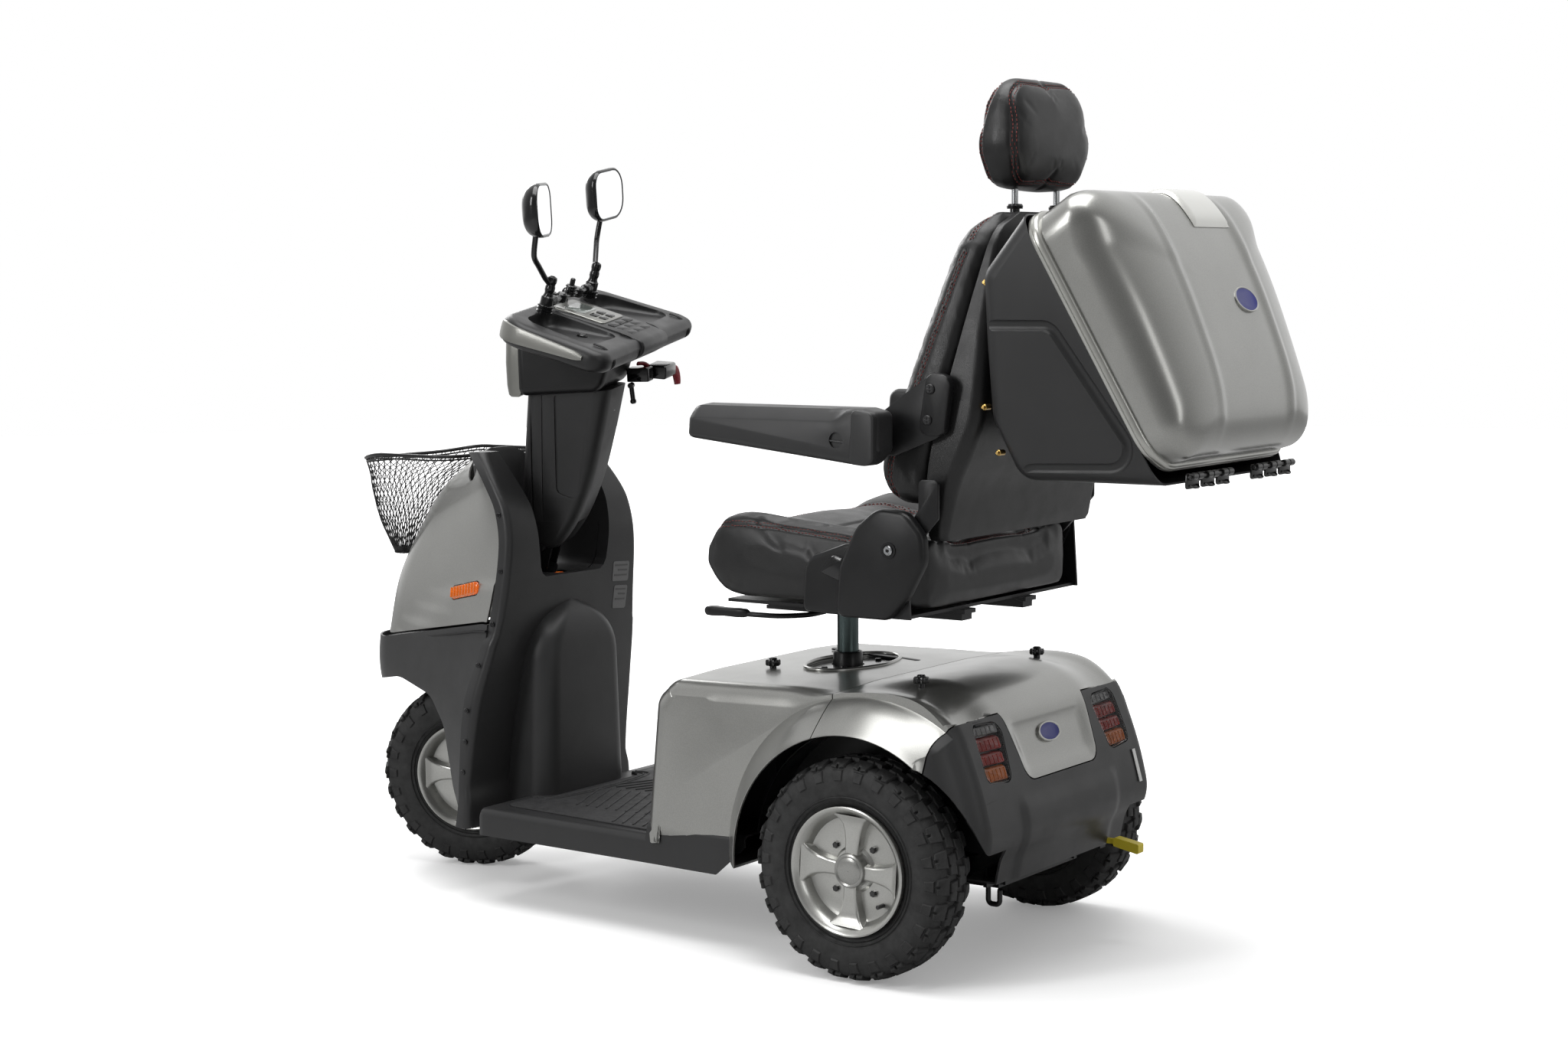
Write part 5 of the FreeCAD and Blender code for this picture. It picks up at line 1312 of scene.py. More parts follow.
def rear_body():
    """Cover, tail panel and bumper cut from one form, and the liners of the wheel arches."""
    form = body_form()

    def part(name, tools):
        piece = form.copy()
        piece.data = form.data.copy()
        piece.name = name
        bpy.context.scene.collection.objects.link(piece)
        for tool, operation in tools:
            combine(piece, tool, operation, 1)
        return piece

    seam = 0.9
    front = part("front_piece", [
        (prism_tool([(-62 - seam, 0), (600, 0), (600, 700), (-62 - seam, 700)], "yz", -600, 600), "DIFFERENCE"),
        (prism_tool(oval_plate(1.2), "xy", 380, 600), "DIFFERENCE")])
    finish_shell(front, "body_cover_shell", "silver_paint", "chassis", ["body_cover"])

    def bumper_zone(grow):
        bm = bmesh.new()
        add_prism(bm, rounded([(118 - grow, -10), (500, -10), (500, 399 + grow), (150 - grow, 399 + grow, 8),
                               (130 - grow, 374, 30)], 5), "yz", -600, 600)
        zone = solid_object("zone", bm)
        cut = [(-112 + grow, 294 + grow, 26), (112 - grow, 294 + grow, 26), (129 - grow, 392, 30), (150, 424),
               (190, 460), (-190, 460), (-150, 424), (-129 + grow, 392, 30)]
        combine(zone, prism_tool(cut, "xz", 60, 600), "DIFFERENCE", None)
        for sign in (1, -1):
            side = [(sign * (262 + grow), 402 + grow), (sign * 300, 371 + grow, 10), (sign * 350, 322 + grow),
                    (sign * 400, 700), (sign * 240, 700)]
            combine(zone, prism_tool(side, "xz", 60, 600), "DIFFERENCE", None)
        return zone

    split = prism_tool([(-700, 0), (-62 + seam, 0), (-62 + seam, 700), (-700, 700)], "yz", -600, 600)
    rear = part("rear_piece", [(split, "DIFFERENCE"), (bumper_zone(seam), "DIFFERENCE")])
    finish_shell(rear, "rear_cover_shell", "silver_paint", "chassis", ["rear_cover"])
    bumper = part("bumper_piece", [(bumper_zone(-seam), "INTERSECT")])
    pocket = [(158, 300, 16), (228, 306, 14), (222, 392, 16), (140, 388, 20)]
    for sign in (1, -1):
        bm = bmesh.new()
        add_prism(bm, rounded([(sign * u, v, r) for u, v, r in pocket], 6), "xz", 100, 260)
        combine(bumper, solid_object("t", bm), "DIFFERENCE", 1)
    finish_shell(bumper, "rear_bumper_shell", "charcoal_plastic", "chassis", ["rear_bumper"])
    bpy.data.objects.remove(form, do_unlink=True)
    for name, sign in SIDES:
        bm = bmesh.new()
        skin = [(206, ARCH_R + 1), (206, 60), (203, 60), (203, ARCH_R + 3), (262, ARCH_R + 3), (262, ARCH_R + 1)]
        add_ring(bm, (0, 0, WHEEL_R), X * sign, skin, 96)
        for point, normal in (((0, 0, 196), -Z), ((0, 178, 0), Y)):
            bmesh.ops.bisect_plane(bm, geom=bm.verts[:] + bm.edges[:] + bm.faces[:], plane_co=point, plane_no=normal,
                                   clear_outer=True)
            bmesh.ops.holes_fill(bm, edges=[e for e in bm.edges if e.is_boundary], sides=0)
        make(f"arch_liner_{name}", bm, "black_plastic", "chassis", angle=35)


def oval_plate(grow=0.0):
    """Pointed oval of the seat post plate."""
    points = []
    for k in range(48):
        t = 2 * math.pi * k / 48
        points.append(((106 + grow) * math.copysign(abs(math.cos(t)) ** 1.25, math.cos(t)),
                       -199 + (60 + grow) * math.copysign(abs(math.sin(t)) ** 0.9, math.sin(t))))
    return points


# ---------------------------------------------------------------- leg shield, hood and nose

SHIELD_ROWS = [(119, 230, -835, 32), (165, 227, -836, 26), (194, 222, -840, 22), (330, 219, -822, 35),
               (420, 203, -803, 30), (491, 186, -790, 26), (601, 176, -780, 24), (662, 172, -790, 26),
               (700, 168, -812, 27), (752, 152, -850, 28), (760, 146, -856, 28)]
PROW_ROWS = [(400, 187, -842, -1192, 95), (412, 186, -842, -1190, 95), (518, 180, -816, -1163, 92),
             (603, 174, -805, -1115, 90), (687, 167, -822, -1051, 88), (752, 158, -872, -963, 86),
             (765, 156, -880, -945, 86)]
NOSE_ROWS = [(110, 225, -846, -1118, 110), (330, 210, -838, -1206, 104), (412, 196, -822, -1210, 100),
             (474, 187, -815, -1188, 96), (480, 186, -814, -1187, 96)]


def heights(low, high, step):
    count = max(1, round((high - low) / step))
    return [low + (high - low) * k / count for k in range(count + 1)]


def shield_ring(z, grow=0.0):
    half, rear, depth = along(SHIELD_ROWS, z)
    half, rear, front = half + grow, rear + grow, rear - depth
    lip = along(NOSE_ROWS if z < 440 else PROW_ROWS, min(z, 752))[0] + 0.8 + grow
    return [Vector((x, y, z)) for x, y in
            rounded([(lip, front), (half, rear, 26), (-half, rear, 26), (-lip, front)], 8)]


def prow_ring(rows, z, inset=0.0, steps=22):
    """Plan outline of the front: straight sides drawn in to a round nose."""
    half, rear, tip, radius = along(rows, z)
    half, radius = half - inset, radius - inset
    centre = tip + inset + radius
    run = rear - centre
    reach = math.hypot(half, run)
    swing = math.atan2(half, run) + math.acos(min(1.0, radius / reach))
    ring = [Vector((half, rear, z))]
    touch = Vector((radius * math.sin(swing), centre + radius * math.cos(swing), z))
    ring += [ring[0].lerp(touch, k / 8) for k in range(1, 8)]
    for k in range(steps + 1):
        w = swing + (2 * math.pi - 2 * swing) * k / steps
        ring.append(Vector((radius * math.sin(w), centre + radius * math.cos(w), z)))
    ring += [Vector((-v.x, v.y, v.z)) for v in reversed(ring[:8])]
    return ring


def hump_ring(z):
    """Section of the arched hump over the front wheel."""
    half = 118 - (z - 100) * 0.034
    rear = -752 - max(0.0, z - 119) * 0.012
    if z > 396:
        t = min(1.0, (z - 396) / 100)
        half *= math.sqrt(max(0.0004, 1 - t * t))
        rear -= 34 * t ** 4
    r = min(38, half * 0.9)
    return [Vector((x, y, z)) for x, y in rounded([(half, -860), (half, rear, r), (-half, rear, r), (-half, -860)], 9)]


def mark(obj, test, index=1):
    """Give faces that pass a test a material index."""
    for face in obj.data.polygons:
        if test(face):
            face.material_index = index


def leg_shield():
    """Shield with the arched hump, the prow behind the panel and the well of the tiller."""
    bm = bmesh.new()
    add_loft(bm, [shield_ring(z) for z in heights(119, 759, 8)])
    shield = solid_object("shield", bm)
    mark(shield, lambda f: f.normal.y < -0.95 and f.center.y < -800 and abs(f.center.x) < 140 or f.normal.z < -0.9)
    bm = bmesh.new()
    add_loft(bm, [hump_ring(z) for z in heights(100, 395, 30)[:-1] + heights(396, 496, 5)])
    hump = solid_object("hump", bm)
    mark(hump, lambda f: f.normal.y < -0.95 or f.normal.z < -0.9)
    combine(shield, hump, "UNION", None)
    bm = bmesh.new()
    add_loft(bm, [prow_ring(PROW_ROWS, z, 5) for z in heights(530, 757, 9)])
    prow = solid_object("prow", bm)
    mark(prow, lambda f: f.normal.z < 0.9)
    combine(shield, prow, "UNION", None)
    bm = bmesh.new()
    rings = []
    for z, half, front, rear in ((542, 74, -905, -700), (548, 84, -914, -700), (560, 90, -922, -700),
                                 (600, 96, -934, -700), (650, 101, -940, -700), (752, 112, -945, -700),
                                 (800, 116, -950, -700)):
        rings.append(lift(rounded([(-half, rear), (half, rear), (half, front, 60), (-half, front, 60)], 8), "xy", z))
    add_loft(bm, rings)
    combine(shield, solid_object("well", bm), "DIFFERENCE", 0)
    bm = bmesh.new()
    add_rod(bm, (0, -820, 526), (0, -855, 620), 22, 40)
    combine(shield, solid_object("stem_hole", bm), "DIFFERENCE", 1)
    combine(shield, prism_tool([(-796, 100), (-600, 100), (-600, 160.5), (-796, 160.5)], "yz", -300, 300),
            "DIFFERENCE", 1)
    finish_shell(shield, "leg_shield_shell", "charcoal_plastic", "chassis", ["leg_shield"])


def crease(p, amount):
    """Sink what lies above a line that climbs to the rear, as a soft pressed step."""
    line = 540 + 0.176 * (p.y + 808) if p.y > -950 else 515 + 0.68 * (p.y + 950)
    return amount * smoothstep(line - 4, line + 4, p.z)


def front_panel():
    """Silver hood between the nose and the leg shield, with a pressed step along each side."""
    bm = bmesh.new()
    rings = []
    for z in heights(403, 762, 6):
        ring = prow_ring(PROW_ROWS, z)
        for p in ring:
            sunk = crease(p, 4.0) * smoothstep(40, 90, abs(p.x))
            p.x -= math.copysign(sunk, p.x)
        rings.append(ring)
    add_loft(bm, rings)
    panel = solid_object("panel", bm)
    mark(panel, lambda f: abs(f.normal.z) > 0.9 or f.normal.y > 0.9)
    for points in ([(-1300, 300), (-700, 300), (-700, 473), (-840, 471, 10), (-1150, 417, 60), (-1300, 415)],
                   [(-862, 300), (-700, 300), (-700, 800), (-868, 800), (-868, 752, 20), (-822, 668, 20),
                    (-803, 601, 30), (-817, 491, 30), (-838, 440)],
                   [(-1300, 756), (-700, 756), (-700, 800), (-1300, 800)]):
        combine(panel, prism_tool(points, "yz", -300, 300), "DIFFERENCE", 1)
    well = [(-117, -700), (117, -700), (117, -954, 62), (-117, -954, 62)]
    combine(panel, prism_tool(well, "xy", 560, 900, 8), "DIFFERENCE", 1)
    for sign in (1, -1):
        bm = bmesh.new()
        add_prism(bm, rounded([(-946, 496, 10), (-860, 514, 10), (-860, 540, 10), (-946, 522, 10)], 5), "yz",
                  *sorted((sign * 100, sign * 220)))
        combine(panel, solid_object("t", bm), "DIFFERENCE", 1)
    finish_shell(panel, "front_panel_shell", "silver_paint", "chassis", ["front_panel"], 3)


def front_nose():
    """Dark nose over the wheel, and the ledge inside its rim."""
    bm = bmesh.new()
    add_loft(bm, [prow_ring(NOSE_ROWS, z, 0.6) for z in heights(116, 478, 8)])
    nose = solid_object("nose", bm)
    mark(nose, lambda f: abs(f.normal.z) > 0.9 or f.normal.y > 0.9)
    for points in ([(-1300, 410.5), (-1150, 412.5, 60), (-840, 467, 10), (-700, 469), (-700, 800), (-1300, 800)],
                   [(-1400, 0), (-862, 0), (-862, 124, 4), (-903, 179, 60), (-937, 282, 50), (-985, 328, 50),
                    (-1095, 347, 90), (-1211, 326), (-1400, 300)],
                   [(-850, 100), (-700, 100), (-700, 800), (-824, 800), (-824, 440, 40), (-844, 331, 30)]):
        combine(nose, prism_tool(points, "yz", -300, 300, 9), "DIFFERENCE", 1)
    finish_shell(nose, "front_nose_shell", "charcoal_plastic", "chassis", ["front_nose"], 3.5)
    bm = bmesh.new()
    add_loft(bm, [[Vector((v.x, v.y, 404 + 54 * max(0.0, min(1.0, (v.y + 1150) / 310))))
                   for v in prow_ring(NOSE_ROWS, 412, inset)] for inset in (3, 36)], caps=(False, False), closed=False)
    make("front_nose_ledge", bm, "black_plastic", "chassis", solid=3, angle=40)


def indicators():
    """Amber lenses with moulded flutes, standing a little proud of the hood."""
    for name, sign in SIDES:
        bm = bmesh.new()
        outline = rounded([(-944, 498, 10), (-862, 516, 10), (-862, 538, 10), (-944, 520, 10)], 5)
        tree_rows = []
        for depth, inset in ((-2.4, 0), (0.5, 0), (2.4, 1.2), (3.4, 3.4)):
            ring = []
            for y, z in shrink(outline, inset):
                hit = side_of_prow(y, z)
                ring.append(hit + Vector((0.93, -0.36, 0)).normalized() * depth)
            tree_rows.append(ring)
        add_loft(bm, tree_rows)
        place = side_place(sign)
        make(f"front_indicator_{name}", bm, "amber_lens", "chassis", place=place,
             replaces=["front_indicators"], angle=30)
        bm = bmesh.new()
        for k in range(9):
            t = (k + 0.5) / 9
            y, z = -944 + 82 * t, 499 + 18 * t
            a, b = side_of_prow(y, z + 3), side_of_prow(y, z + 20)
            out = Vector((0.93, -0.36, 0)).normalized() * 3.6
            add_tube(bm, [a + out, b + out], 1.7, 8)
        make(f"indicator_flutes_{name}", bm, "amber_lens", "chassis", place=place)


def side_of_prow(y, z):
    """Point on the hood's left side at (y, z)."""
    ring = prow_ring(PROW_ROWS, z)[:12]
    for a, b in zip(ring, ring[1:]):
        if b.y <= y <= a.y:
            t = (a.y - y) / max(1e-6, a.y - b.y)
            return a.lerp(b, t)
    return ring[0].copy()


def shield_fittings():
    """Countersunk screws along the edges and two blank rating plates."""
    bm = bmesh.new()
    for y, z in ((-852, 215), (-846, 268), (-843, 322), (-826, 400), (-808, 470), (-797, 560), (-805, 655)):
        half = along(SHIELD_ROWS, z)[0]
        for sign in (1, -1):
            add_rod(bm, (sign * (half - 2), y, z), (sign * (half + 1.6), y, z), 4.6, 20, 0.8)
            add_rod(bm, (sign * (half + 1), y, z), (sign * (half + 2.2), y, z), 2.0, 6)
    make("shield_screw_heads", bm, "gloss_black", "chassis", replaces=["shield_screws"])
    for index, (x0, x1, z0, z1) in enumerate(((-158, -112, 512, 548), (-158, -120, 462, 504))):
        bm = bmesh.new()
        add_loft(bm, [[Vector((x, shield_rear(z) + level, z)) for x, z in
                       rounded([(x0, z0, 4), (x1, z0 + 3, 4), (x1, z1 + 3, 4), (x0, z1, 4)], 4)]
                      for level in (-1, 0.7)])
        make(f"rating_plate_{index}", bm, "label_grey", "chassis")
        bm = bmesh.new()
        for row in range(3):
            z = z1 - 8 - row * 9
            a, b = x0 + 5, x1 - 5 - 9 * (row % 2)
            add_loft(bm, [[Vector((x, shield_rear(zz) + level, zz)) for x, zz in
                           ((a, z), (b, z + 2), (b, z + 5), (a, z + 3))] for level in (0.5, 0.95)])
        make(f"rating_bars_{index}", bm, "grey_plastic", "chassis")


def shield_rear(z):
    return along(SHIELD_ROWS, z)[1]


BASKET_ROWS = [(548, 24, -1160, -1190), (585, 50, -1136, -1193), (620, 74, -1110, -1196), (690, 112, -1040, -1200),
               (742, 140, -945, -1203)]


def basket_point(u, z):
    """Point on the basket at u (0 to 1 round the mouth) and height z."""
    half, rear, front = along(BASKET_ROWS, z)
    loop = rounded([(-half, front, half * 0.75), (half, front, half * 0.75), (half, rear, half * 0.3),
                    (-half, rear, half * 0.3)], 8)
    spans = [math.dist(a, b) for a, b in zip(loop, loop[1:] + loop[:1])]
    goal, walked = (u % 1.0) * sum(spans), 0.0
    for (a, b), span in zip(zip(loop, loop[1:] + loop[:1]), spans):
        if walked + span >= goal:
            t = (goal - walked) / max(span, 1e-6)
            lift_front = 14 * smoothstep(-1100, -1210, a[1] + (b[1] - a[1]) * t) * (z - 548) / 194
            return Vector((a[0] + (b[0] - a[0]) * t, a[1] + (b[1] - a[1]) * t, z + 8 - lift_front))
        walked += span
    return Vector((*loop[0], z))


def basket():
    """Expanded metal basket: two crossing families of thin strands, a rim wire and a floor ring."""
    rows, cells = 14, 54
    grid = [[basket_point(k / (2 * cells), 548 + 190 * (j / rows) ** 0.85) for k in range(2 * cells)]
            for j in range(rows + 1)]
    bm = bmesh.new()
    for k in range(cells):
        for slope in (1, -1):
            points = [grid[j][(2 * k + slope * j) % (2 * cells)] for j in range(rows + 1)]
            add_tube(bm, points, 0.75, 5, 1.0)
    centre = Vector((0, -1173, 557))
    for k in range(0, 2 * cells, 6):
        add_tube(bm, [grid[0][k], grid[0][k].lerp(centre, 0.5), centre], 0.8, 4)
    make("basket_mesh", bm, "wire_mesh", "chassis", replaces=["basket"], angle=None)
    bm = bmesh.new()
    for z, radius in ((738, 3.2), (731, 1.6), (550, 1.8)):
        add_tube(bm, [basket_point(k / 96, z) for k in range(96)], radius, 8, closed=True)
    make("basket_rim", bm, "frame_black", "chassis", angle=None)


# ---------------------------------------------------------------- tiller

COLUMN_ROWS = [(586, -856, -816, 22), (590, -866, -806, 31), (600, -872, -796, 37), (640, -870, -768, 45),
               (705, -864, -738, 50), (780, -854, -714, 53), (868, -842, -690, 55)]


def column_ring(z, inset=0.0):
    """Section of the tiller column at height z."""
    front, rear, half = along(COLUMN_ROWS, z)
    r = min(24, half * 0.7)
    return [Vector((x, y, z)) for x, y in rounded(
        [(inset - half, front + inset, r * 0.8), (half - inset, front + inset, r * 0.8),
         (half - inset, rear - inset, r), (inset - half, rear - inset, r)], 7)]


def tiller_column():
    """Column with its pressed fields and seams, collar, lever bracket and round sticker."""
    bm = bmesh.new()
    add_loft(bm, [column_ring(z) for z in (586, 588, 590, 594) + tuple(heights(600, 868, 12))])
    column = solid_object("column", bm)
    for sign in (1, -1):
        for outline, depth in (([(-790, 862, 6), (-722, 862, 10), (-760, 676, 14), (-800, 690, 14)], 3.2),
                               ([(-834, 870), (-831.5, 870), (-846.5, 620), (-849, 620)], 1.0),
                               ([(-812, 870), (-810.5, 870), (-828, 640), (-829.5, 640)], 0.8)):
            bm = bmesh.new()
            rings = []
            for inward in (depth, -6):
                ring = []
                for y, z in rounded(outline, 6):
                    half = along(COLUMN_ROWS, z)[2]
                    ring.append(Vector((sign * (half - inward), y, z)))
                rings.append(ring)
            add_loft(bm, rings)
            combine(column, solid_object("t", bm), "DIFFERENCE", 0)
    combine(column, prism_tool([(-812, 560), (-700, 560), (-700, 628, 6), (-796, 636, 10)], "yz", -24, 24),
            "DIFFERENCE", 0)
    combine(column, prism_tool([(-850, 560), (-790, 560), (-790, 640), (-850, 640)], "yz", -24, 24),
            "DIFFERENCE", 0)
    bm = take_mesh(column)
    make("tiller_column_shell", bm, "charcoal_plastic", "tiller", place=STEERED,
         replaces=["tiller_column"], bevel=0.8, angle=35)
    bm = bmesh.new()
    side = rounded([(-850, 862, 14), (-700, 868, 26), (-676, 930), (-846, 992)], 7)
    add_prism(bm, side, "yz", -74, 74, 14, 6)
    make("tiller_collar", bm, "black_plastic", "tiller", place=STEERED)
    bm = bmesh.new()
    for x0, x1, y0, y1, z0, z1 in ((-78, -48, -692, -652, 868, 892), (-92, -76, -676, -658, 874, 886)):
        add_prism(bm, rounded([(x0, y0, 3), (x1, y0, 3), (x1, y1, 3), (x0, y1, 3)], 3), "xy", z0, z1, 2, 3)
    make("lever_bracket", bm, "gloss_black", "tiller", place=STEERED)
    bm = bmesh.new()
    add_rod(bm, (0, -701.5, 836), (0, -699.6, 835.7), 10, 32, 0.3)
    make("round_sticker", bm, "label_white", "tiller", place=STEERED)


def head_loop():
    return densify(rounded([(-226, -98, 54), (226, -98, 54), (251, 109, 30), (-251, 109, 30)], 12), 8)


def head_form(p):
    """Thin the underside towards the front corners and roll the rear edge into a bar."""
    u, v, n = p
    low = smoothstep(-6, -30, n)
    p.z += low * 8 * smoothstep(40, -100, v) * -0.6
    p.z += low * 3 * smoothstep(60, 110, v)
    bar = smoothstep(66, 92, v)
    p.z += (1 - low) * (-1.5 * bar + 2.2 * (1 - smoothstep(-98, -40, v)))
    return p


def palm_well(sign):
    bm = bmesh.new()
    base = rounded([(80, -64, 26), (190, -64, 34), (212, 66, 24), (80, 70, 22)], 9)
    rings = []
    for k in range(7):
        w = math.pi / 2 * k / 6
        level, inset = 1 - math.cos(w), 12 * (1 - math.sin(w))
        rings.append([Vector((sign * u, v, (-26 + (v + 70) * 0.135) * (1 - level) + (-3) * level))
                      for u, v in shrink(base, inset)])
    rings.append([Vector((sign * u, v, 16)) for u, v in shrink(base, -3)])
    add_loft(bm, rings)
    return solid_object("well", bm)


def tiller_head():
    """Loop handle with its palm wells, the pod of the dash and the seams of the grips."""
    bm = bmesh.new()
    loop = head_loop()
    edge = rim_curve(20, 15, 7)
    add_loft(bm, [[head_form(v) for v in lift(shrink(loop, inset), "xy", level - 20)] for level, inset in edge])
    head = solid_object("head", bm)
    for sign in (1, -1):
        combine(head, palm_well(sign), "DIFFERENCE", 0)
    hole = bmesh.new()
    add_rod(hole, (112, 17, -60), (112, 17, 20), 9.4, 32)
    combine(head, solid_object("t", hole), "DIFFERENCE", 0)
    bm = take_mesh(head)
    make("tiller_head_shell", bm, "head_plastic", "tiller", place=HEAD,
         replaces=["tiller_head"], bevel=0.9, angle=38)
    bm = bmesh.new()
    pod = rounded([(-74, -12), (-74, 2.6, 5), (64, 3.6, 20), (112, -1, 18), (116, -22, 16), (96, -42, 8),
                   (80, -42)], 8)
    add_prism(bm, pod, "yz", -66, 66, 4, 4)
    make("dash_pod", bm, "head_plastic", "tiller", place=HEAD, angle=38)
    bm = bmesh.new()
    for x in (-206, -201, -69, 69, 201, 206):
        arc = [(x, 68, 1.2), (x, 84, 0.6), (x, 97, -4), (x, 107, -12), (x, 110.5, -20), (x, 107, -29), (x, 97, -36.5)]
        add_tube(bm, smooth_path(arc, 3), 1.1 if abs(x) > 100 else 1.6, 8)
    make("handle_seams", bm, "black_plastic", "tiller", place=HEAD, angle=None)


def trims():
    """Silver trims on both ends of the head and on the front of the tiller."""
    loop = head_loop()
    path = [(u, v) for u, v in loop if u > 120 and -93 < v < 74]
    path.sort(key=lambda q: q[1])
    bm = bmesh.new()
    rings = []
    for i, (u, v) in enumerate(path):
        a, b = Vector(path[max(i - 1, 0)]), Vector(path[min(i + 1, len(path) - 1)])
        run = (b - a).normalized()
        out = Vector((run.y, -run.x))
        t = (v + 93) / 167
        top, low = -5 - 6 * t, -38 + 14 * t
        mid, tall = (top + low) / 2, (top - low) / 2
        tall *= math.sqrt(max(0.02, 1 - smoothstep(0.86, 1.01, t))) * (0.9 + 0.1 * smoothstep(0, 0.06, t))
        here = Vector((u, v))
        ring = []
        for k in range(9):
            w = -math.pi / 2 + math.pi * k / 8
            q = here + out * (0.4 + 2.6 * math.cos(w) ** 0.5 if abs(w) < 1.56 else -1.5)
            ring.append(Vector((q.x, q.y, mid + tall * math.sin(w))))
        rings.append(ring)
    add_loft(bm, rings)
    for side, place in (("left", HEAD), ("right", HEAD @ MIRROR)):
        make(f"head_trim_{side}", bm.copy(), "trim_silver", "tiller", place=place,
             replaces=["tiller_trims"], angle=50)
    bm = bmesh.new()
    rings = []
    for z, tip, rear in ((861, -868, -856), (864, -873, -852), (880, -876, -849), (920, -876, -847), (962, -872, -846)):
        rings.append(lift(rounded([(-66, rear + 6, 2), (66, rear + 6, 2), (63, tip, 20), (-63, tip, 20)], 7), "xy", z))
    add_loft(bm, rings)
    make("tiller_nose", bm, "trim_silver", "tiller", place=STEERED, bevel=1.2, angle=50)


def dash():
    """Plate, blank screen, blank keys and the hazard button with its triangle."""
    bm = bmesh.new()
    plate = rounded([(-50, -66, 7), (50, -66, 7), (54, 30, 7), (-54, 30, 7)], 6)
    add_layers(bm, plate, "xy", ((1, 0), (4.6, 0), (5.6, 1.2)))
    make("dash_plate", bm, "trim_silver", "tiller", place=HEAD, replaces=["dash_panel"])
    bm = bmesh.new()
    screen = rounded([(-34, -52, 5), (34, -52, 5), (34, -14, 5), (-34, -14, 5)], 5)
    add_layers(bm, screen, "xy", ((4, 0), (6.0, 0), (6.4, 0.6)))
    make("dash_screen", bm, "display", "tiller", place=HEAD)
    bm = bmesh.new()
    for x in (-26, 8):
        for y in (-6, 11):
            key = rounded([(x, y, 2.5), (x + 20, y, 2.5), (x + 20, y + 13, 2.5), (x, y + 13, 2.5)], 4)
            add_layers(bm, key, "xy", ((4, 0), (7.0, 0), (7.8, 1.4)))
    make("dash_keys", bm, "gloss_black", "tiller", place=HEAD)
    bm = bmesh.new()
    for y, n in ((36, 3.2), (53, 2.2), (70, 0.8)):
        for x in (-52, -17, 18):
            key = rounded([(x, y, 3), (x + 31, y, 3), (x + 31, y + 13, 3), (x, y + 13, 3)], 4)
            add_loft(bm, [[Vector((u, v, n + lift_by - (v - y) * 0.05)) for u, v in shrink(key, inset)]
                          for lift_by, inset in ((0, 0), (1.8, 0.2), (2.6, 1.6))])
    make("keypad", bm, "black_plastic", "tiller", place=HEAD)
    bm = bmesh.new()
    add_rod(bm, (112, 17, -24.5), (112, 17, -10.5), 8.7, 36, 1.2)
    make("hazard_cap", bm, "gloss_black", "hazard_button", place=HEAD,
         replaces=["hazard_button"])
    bm = bmesh.new()
    for reach, inner in ((7.2, 5.4), (3.9, 2.5)):
        rings = []
        for n in (-10.7, -9.9):
            rings.append([Vector((112 + r * math.sin(w), 17 - r * math.cos(w), n)) for r, w in
                          ((reach, 0), (reach, 2.094), (reach, 4.189))])
            rings.append([Vector((112 + r * math.sin(w), 17 - r * math.cos(w), n)) for r, w in
                          ((inner, 0), (inner, 2.094), (inner, 4.189))])
        low_out, low_in, top_out, top_in = [[bm.verts.new(q) for q in ring] for ring in rings]
        for i in range(3):
            j = (i + 1) % 3
            for a, b in ((low_out, top_out), (top_out, top_in), (top_in, low_in), (low_in, low_out)):
                bm.faces.new((a[i], a[j], b[j], b[i]))
    make("hazard_triangle", bm, "label_grey", "hazard_button", place=HEAD, angle=20)


def levers():
    """Throttle block with its red blade, and the tilt lever."""
    bm = bmesh.new()
    box = rounded([(-670, 870, 5), (-632, 866, 5), (-630, 890, 5), (-668, 893, 5)], 4)
    add_prism(bm, box, "yz", -142, -84, 3, 3)
    add_rod(bm, (-86, -668, 880), (-77, -668, 880), 8, 24, 1)
    make("throttle_block", bm, "gloss_black", "throttle", place=STEERED,
         replaces=["throttle_lever"])
    bm = bmesh.new()
    blade = smooth_path([(-140, -642, 880), (-156, -640, 877), (-166, -640, 868), (-171, -640, 856),
                         (-172, -640, 846)], 5)
    add_tube(bm, blade, [6 + 1.5 * math.sin(math.pi * k / (len(blade) - 1)) for k in range(len(blade))], 12, 0.5)
    add_tube(bm, smooth_path([(-88, -664, 890), (-74, -668, 897), (-60, -674, 899)], 5), 4.2, 10, 0.6)
    make("throttle_blade", bm, "lever_red", "throttle", place=STEERED, angle=None)
    bm = bmesh.new()
    add_rod(bm, (-24, -676, 868), (-24, -674, 840), 4.2, 20, 1)
    add_rod(bm, (-24, -674.2, 842), (-24, -673.6, 834), 5.4, 20, 2)
    add_rod(bm, (-30, -676, 866), (-18, -676, 866), 5, 20, 1)
    make("tilt_rod", bm, "gloss_black", "tilt_lever", place=STEERED, replaces=["tilt_lever"])


def ribbed_sleeve(bm, start, end, radius, ribs):
    """Sleeve with turned rings, like a threaded collar."""
    start, end = Vector(start), Vector(end)
    span = (end - start).length
    profile = [(0, radius * 0.5)]
    for k in range(ribs):
        a = span * k / ribs
        step = span / ribs
        profile += [(a + step * 0.1, radius * 0.88), (a + step * 0.3, radius), (a + step * 0.7, radius),
                    (a + step * 0.9, radius * 0.88)]
    profile += [(span, radius * 0.5)]
    add_ring(bm, start, (end - start), profile, 28)


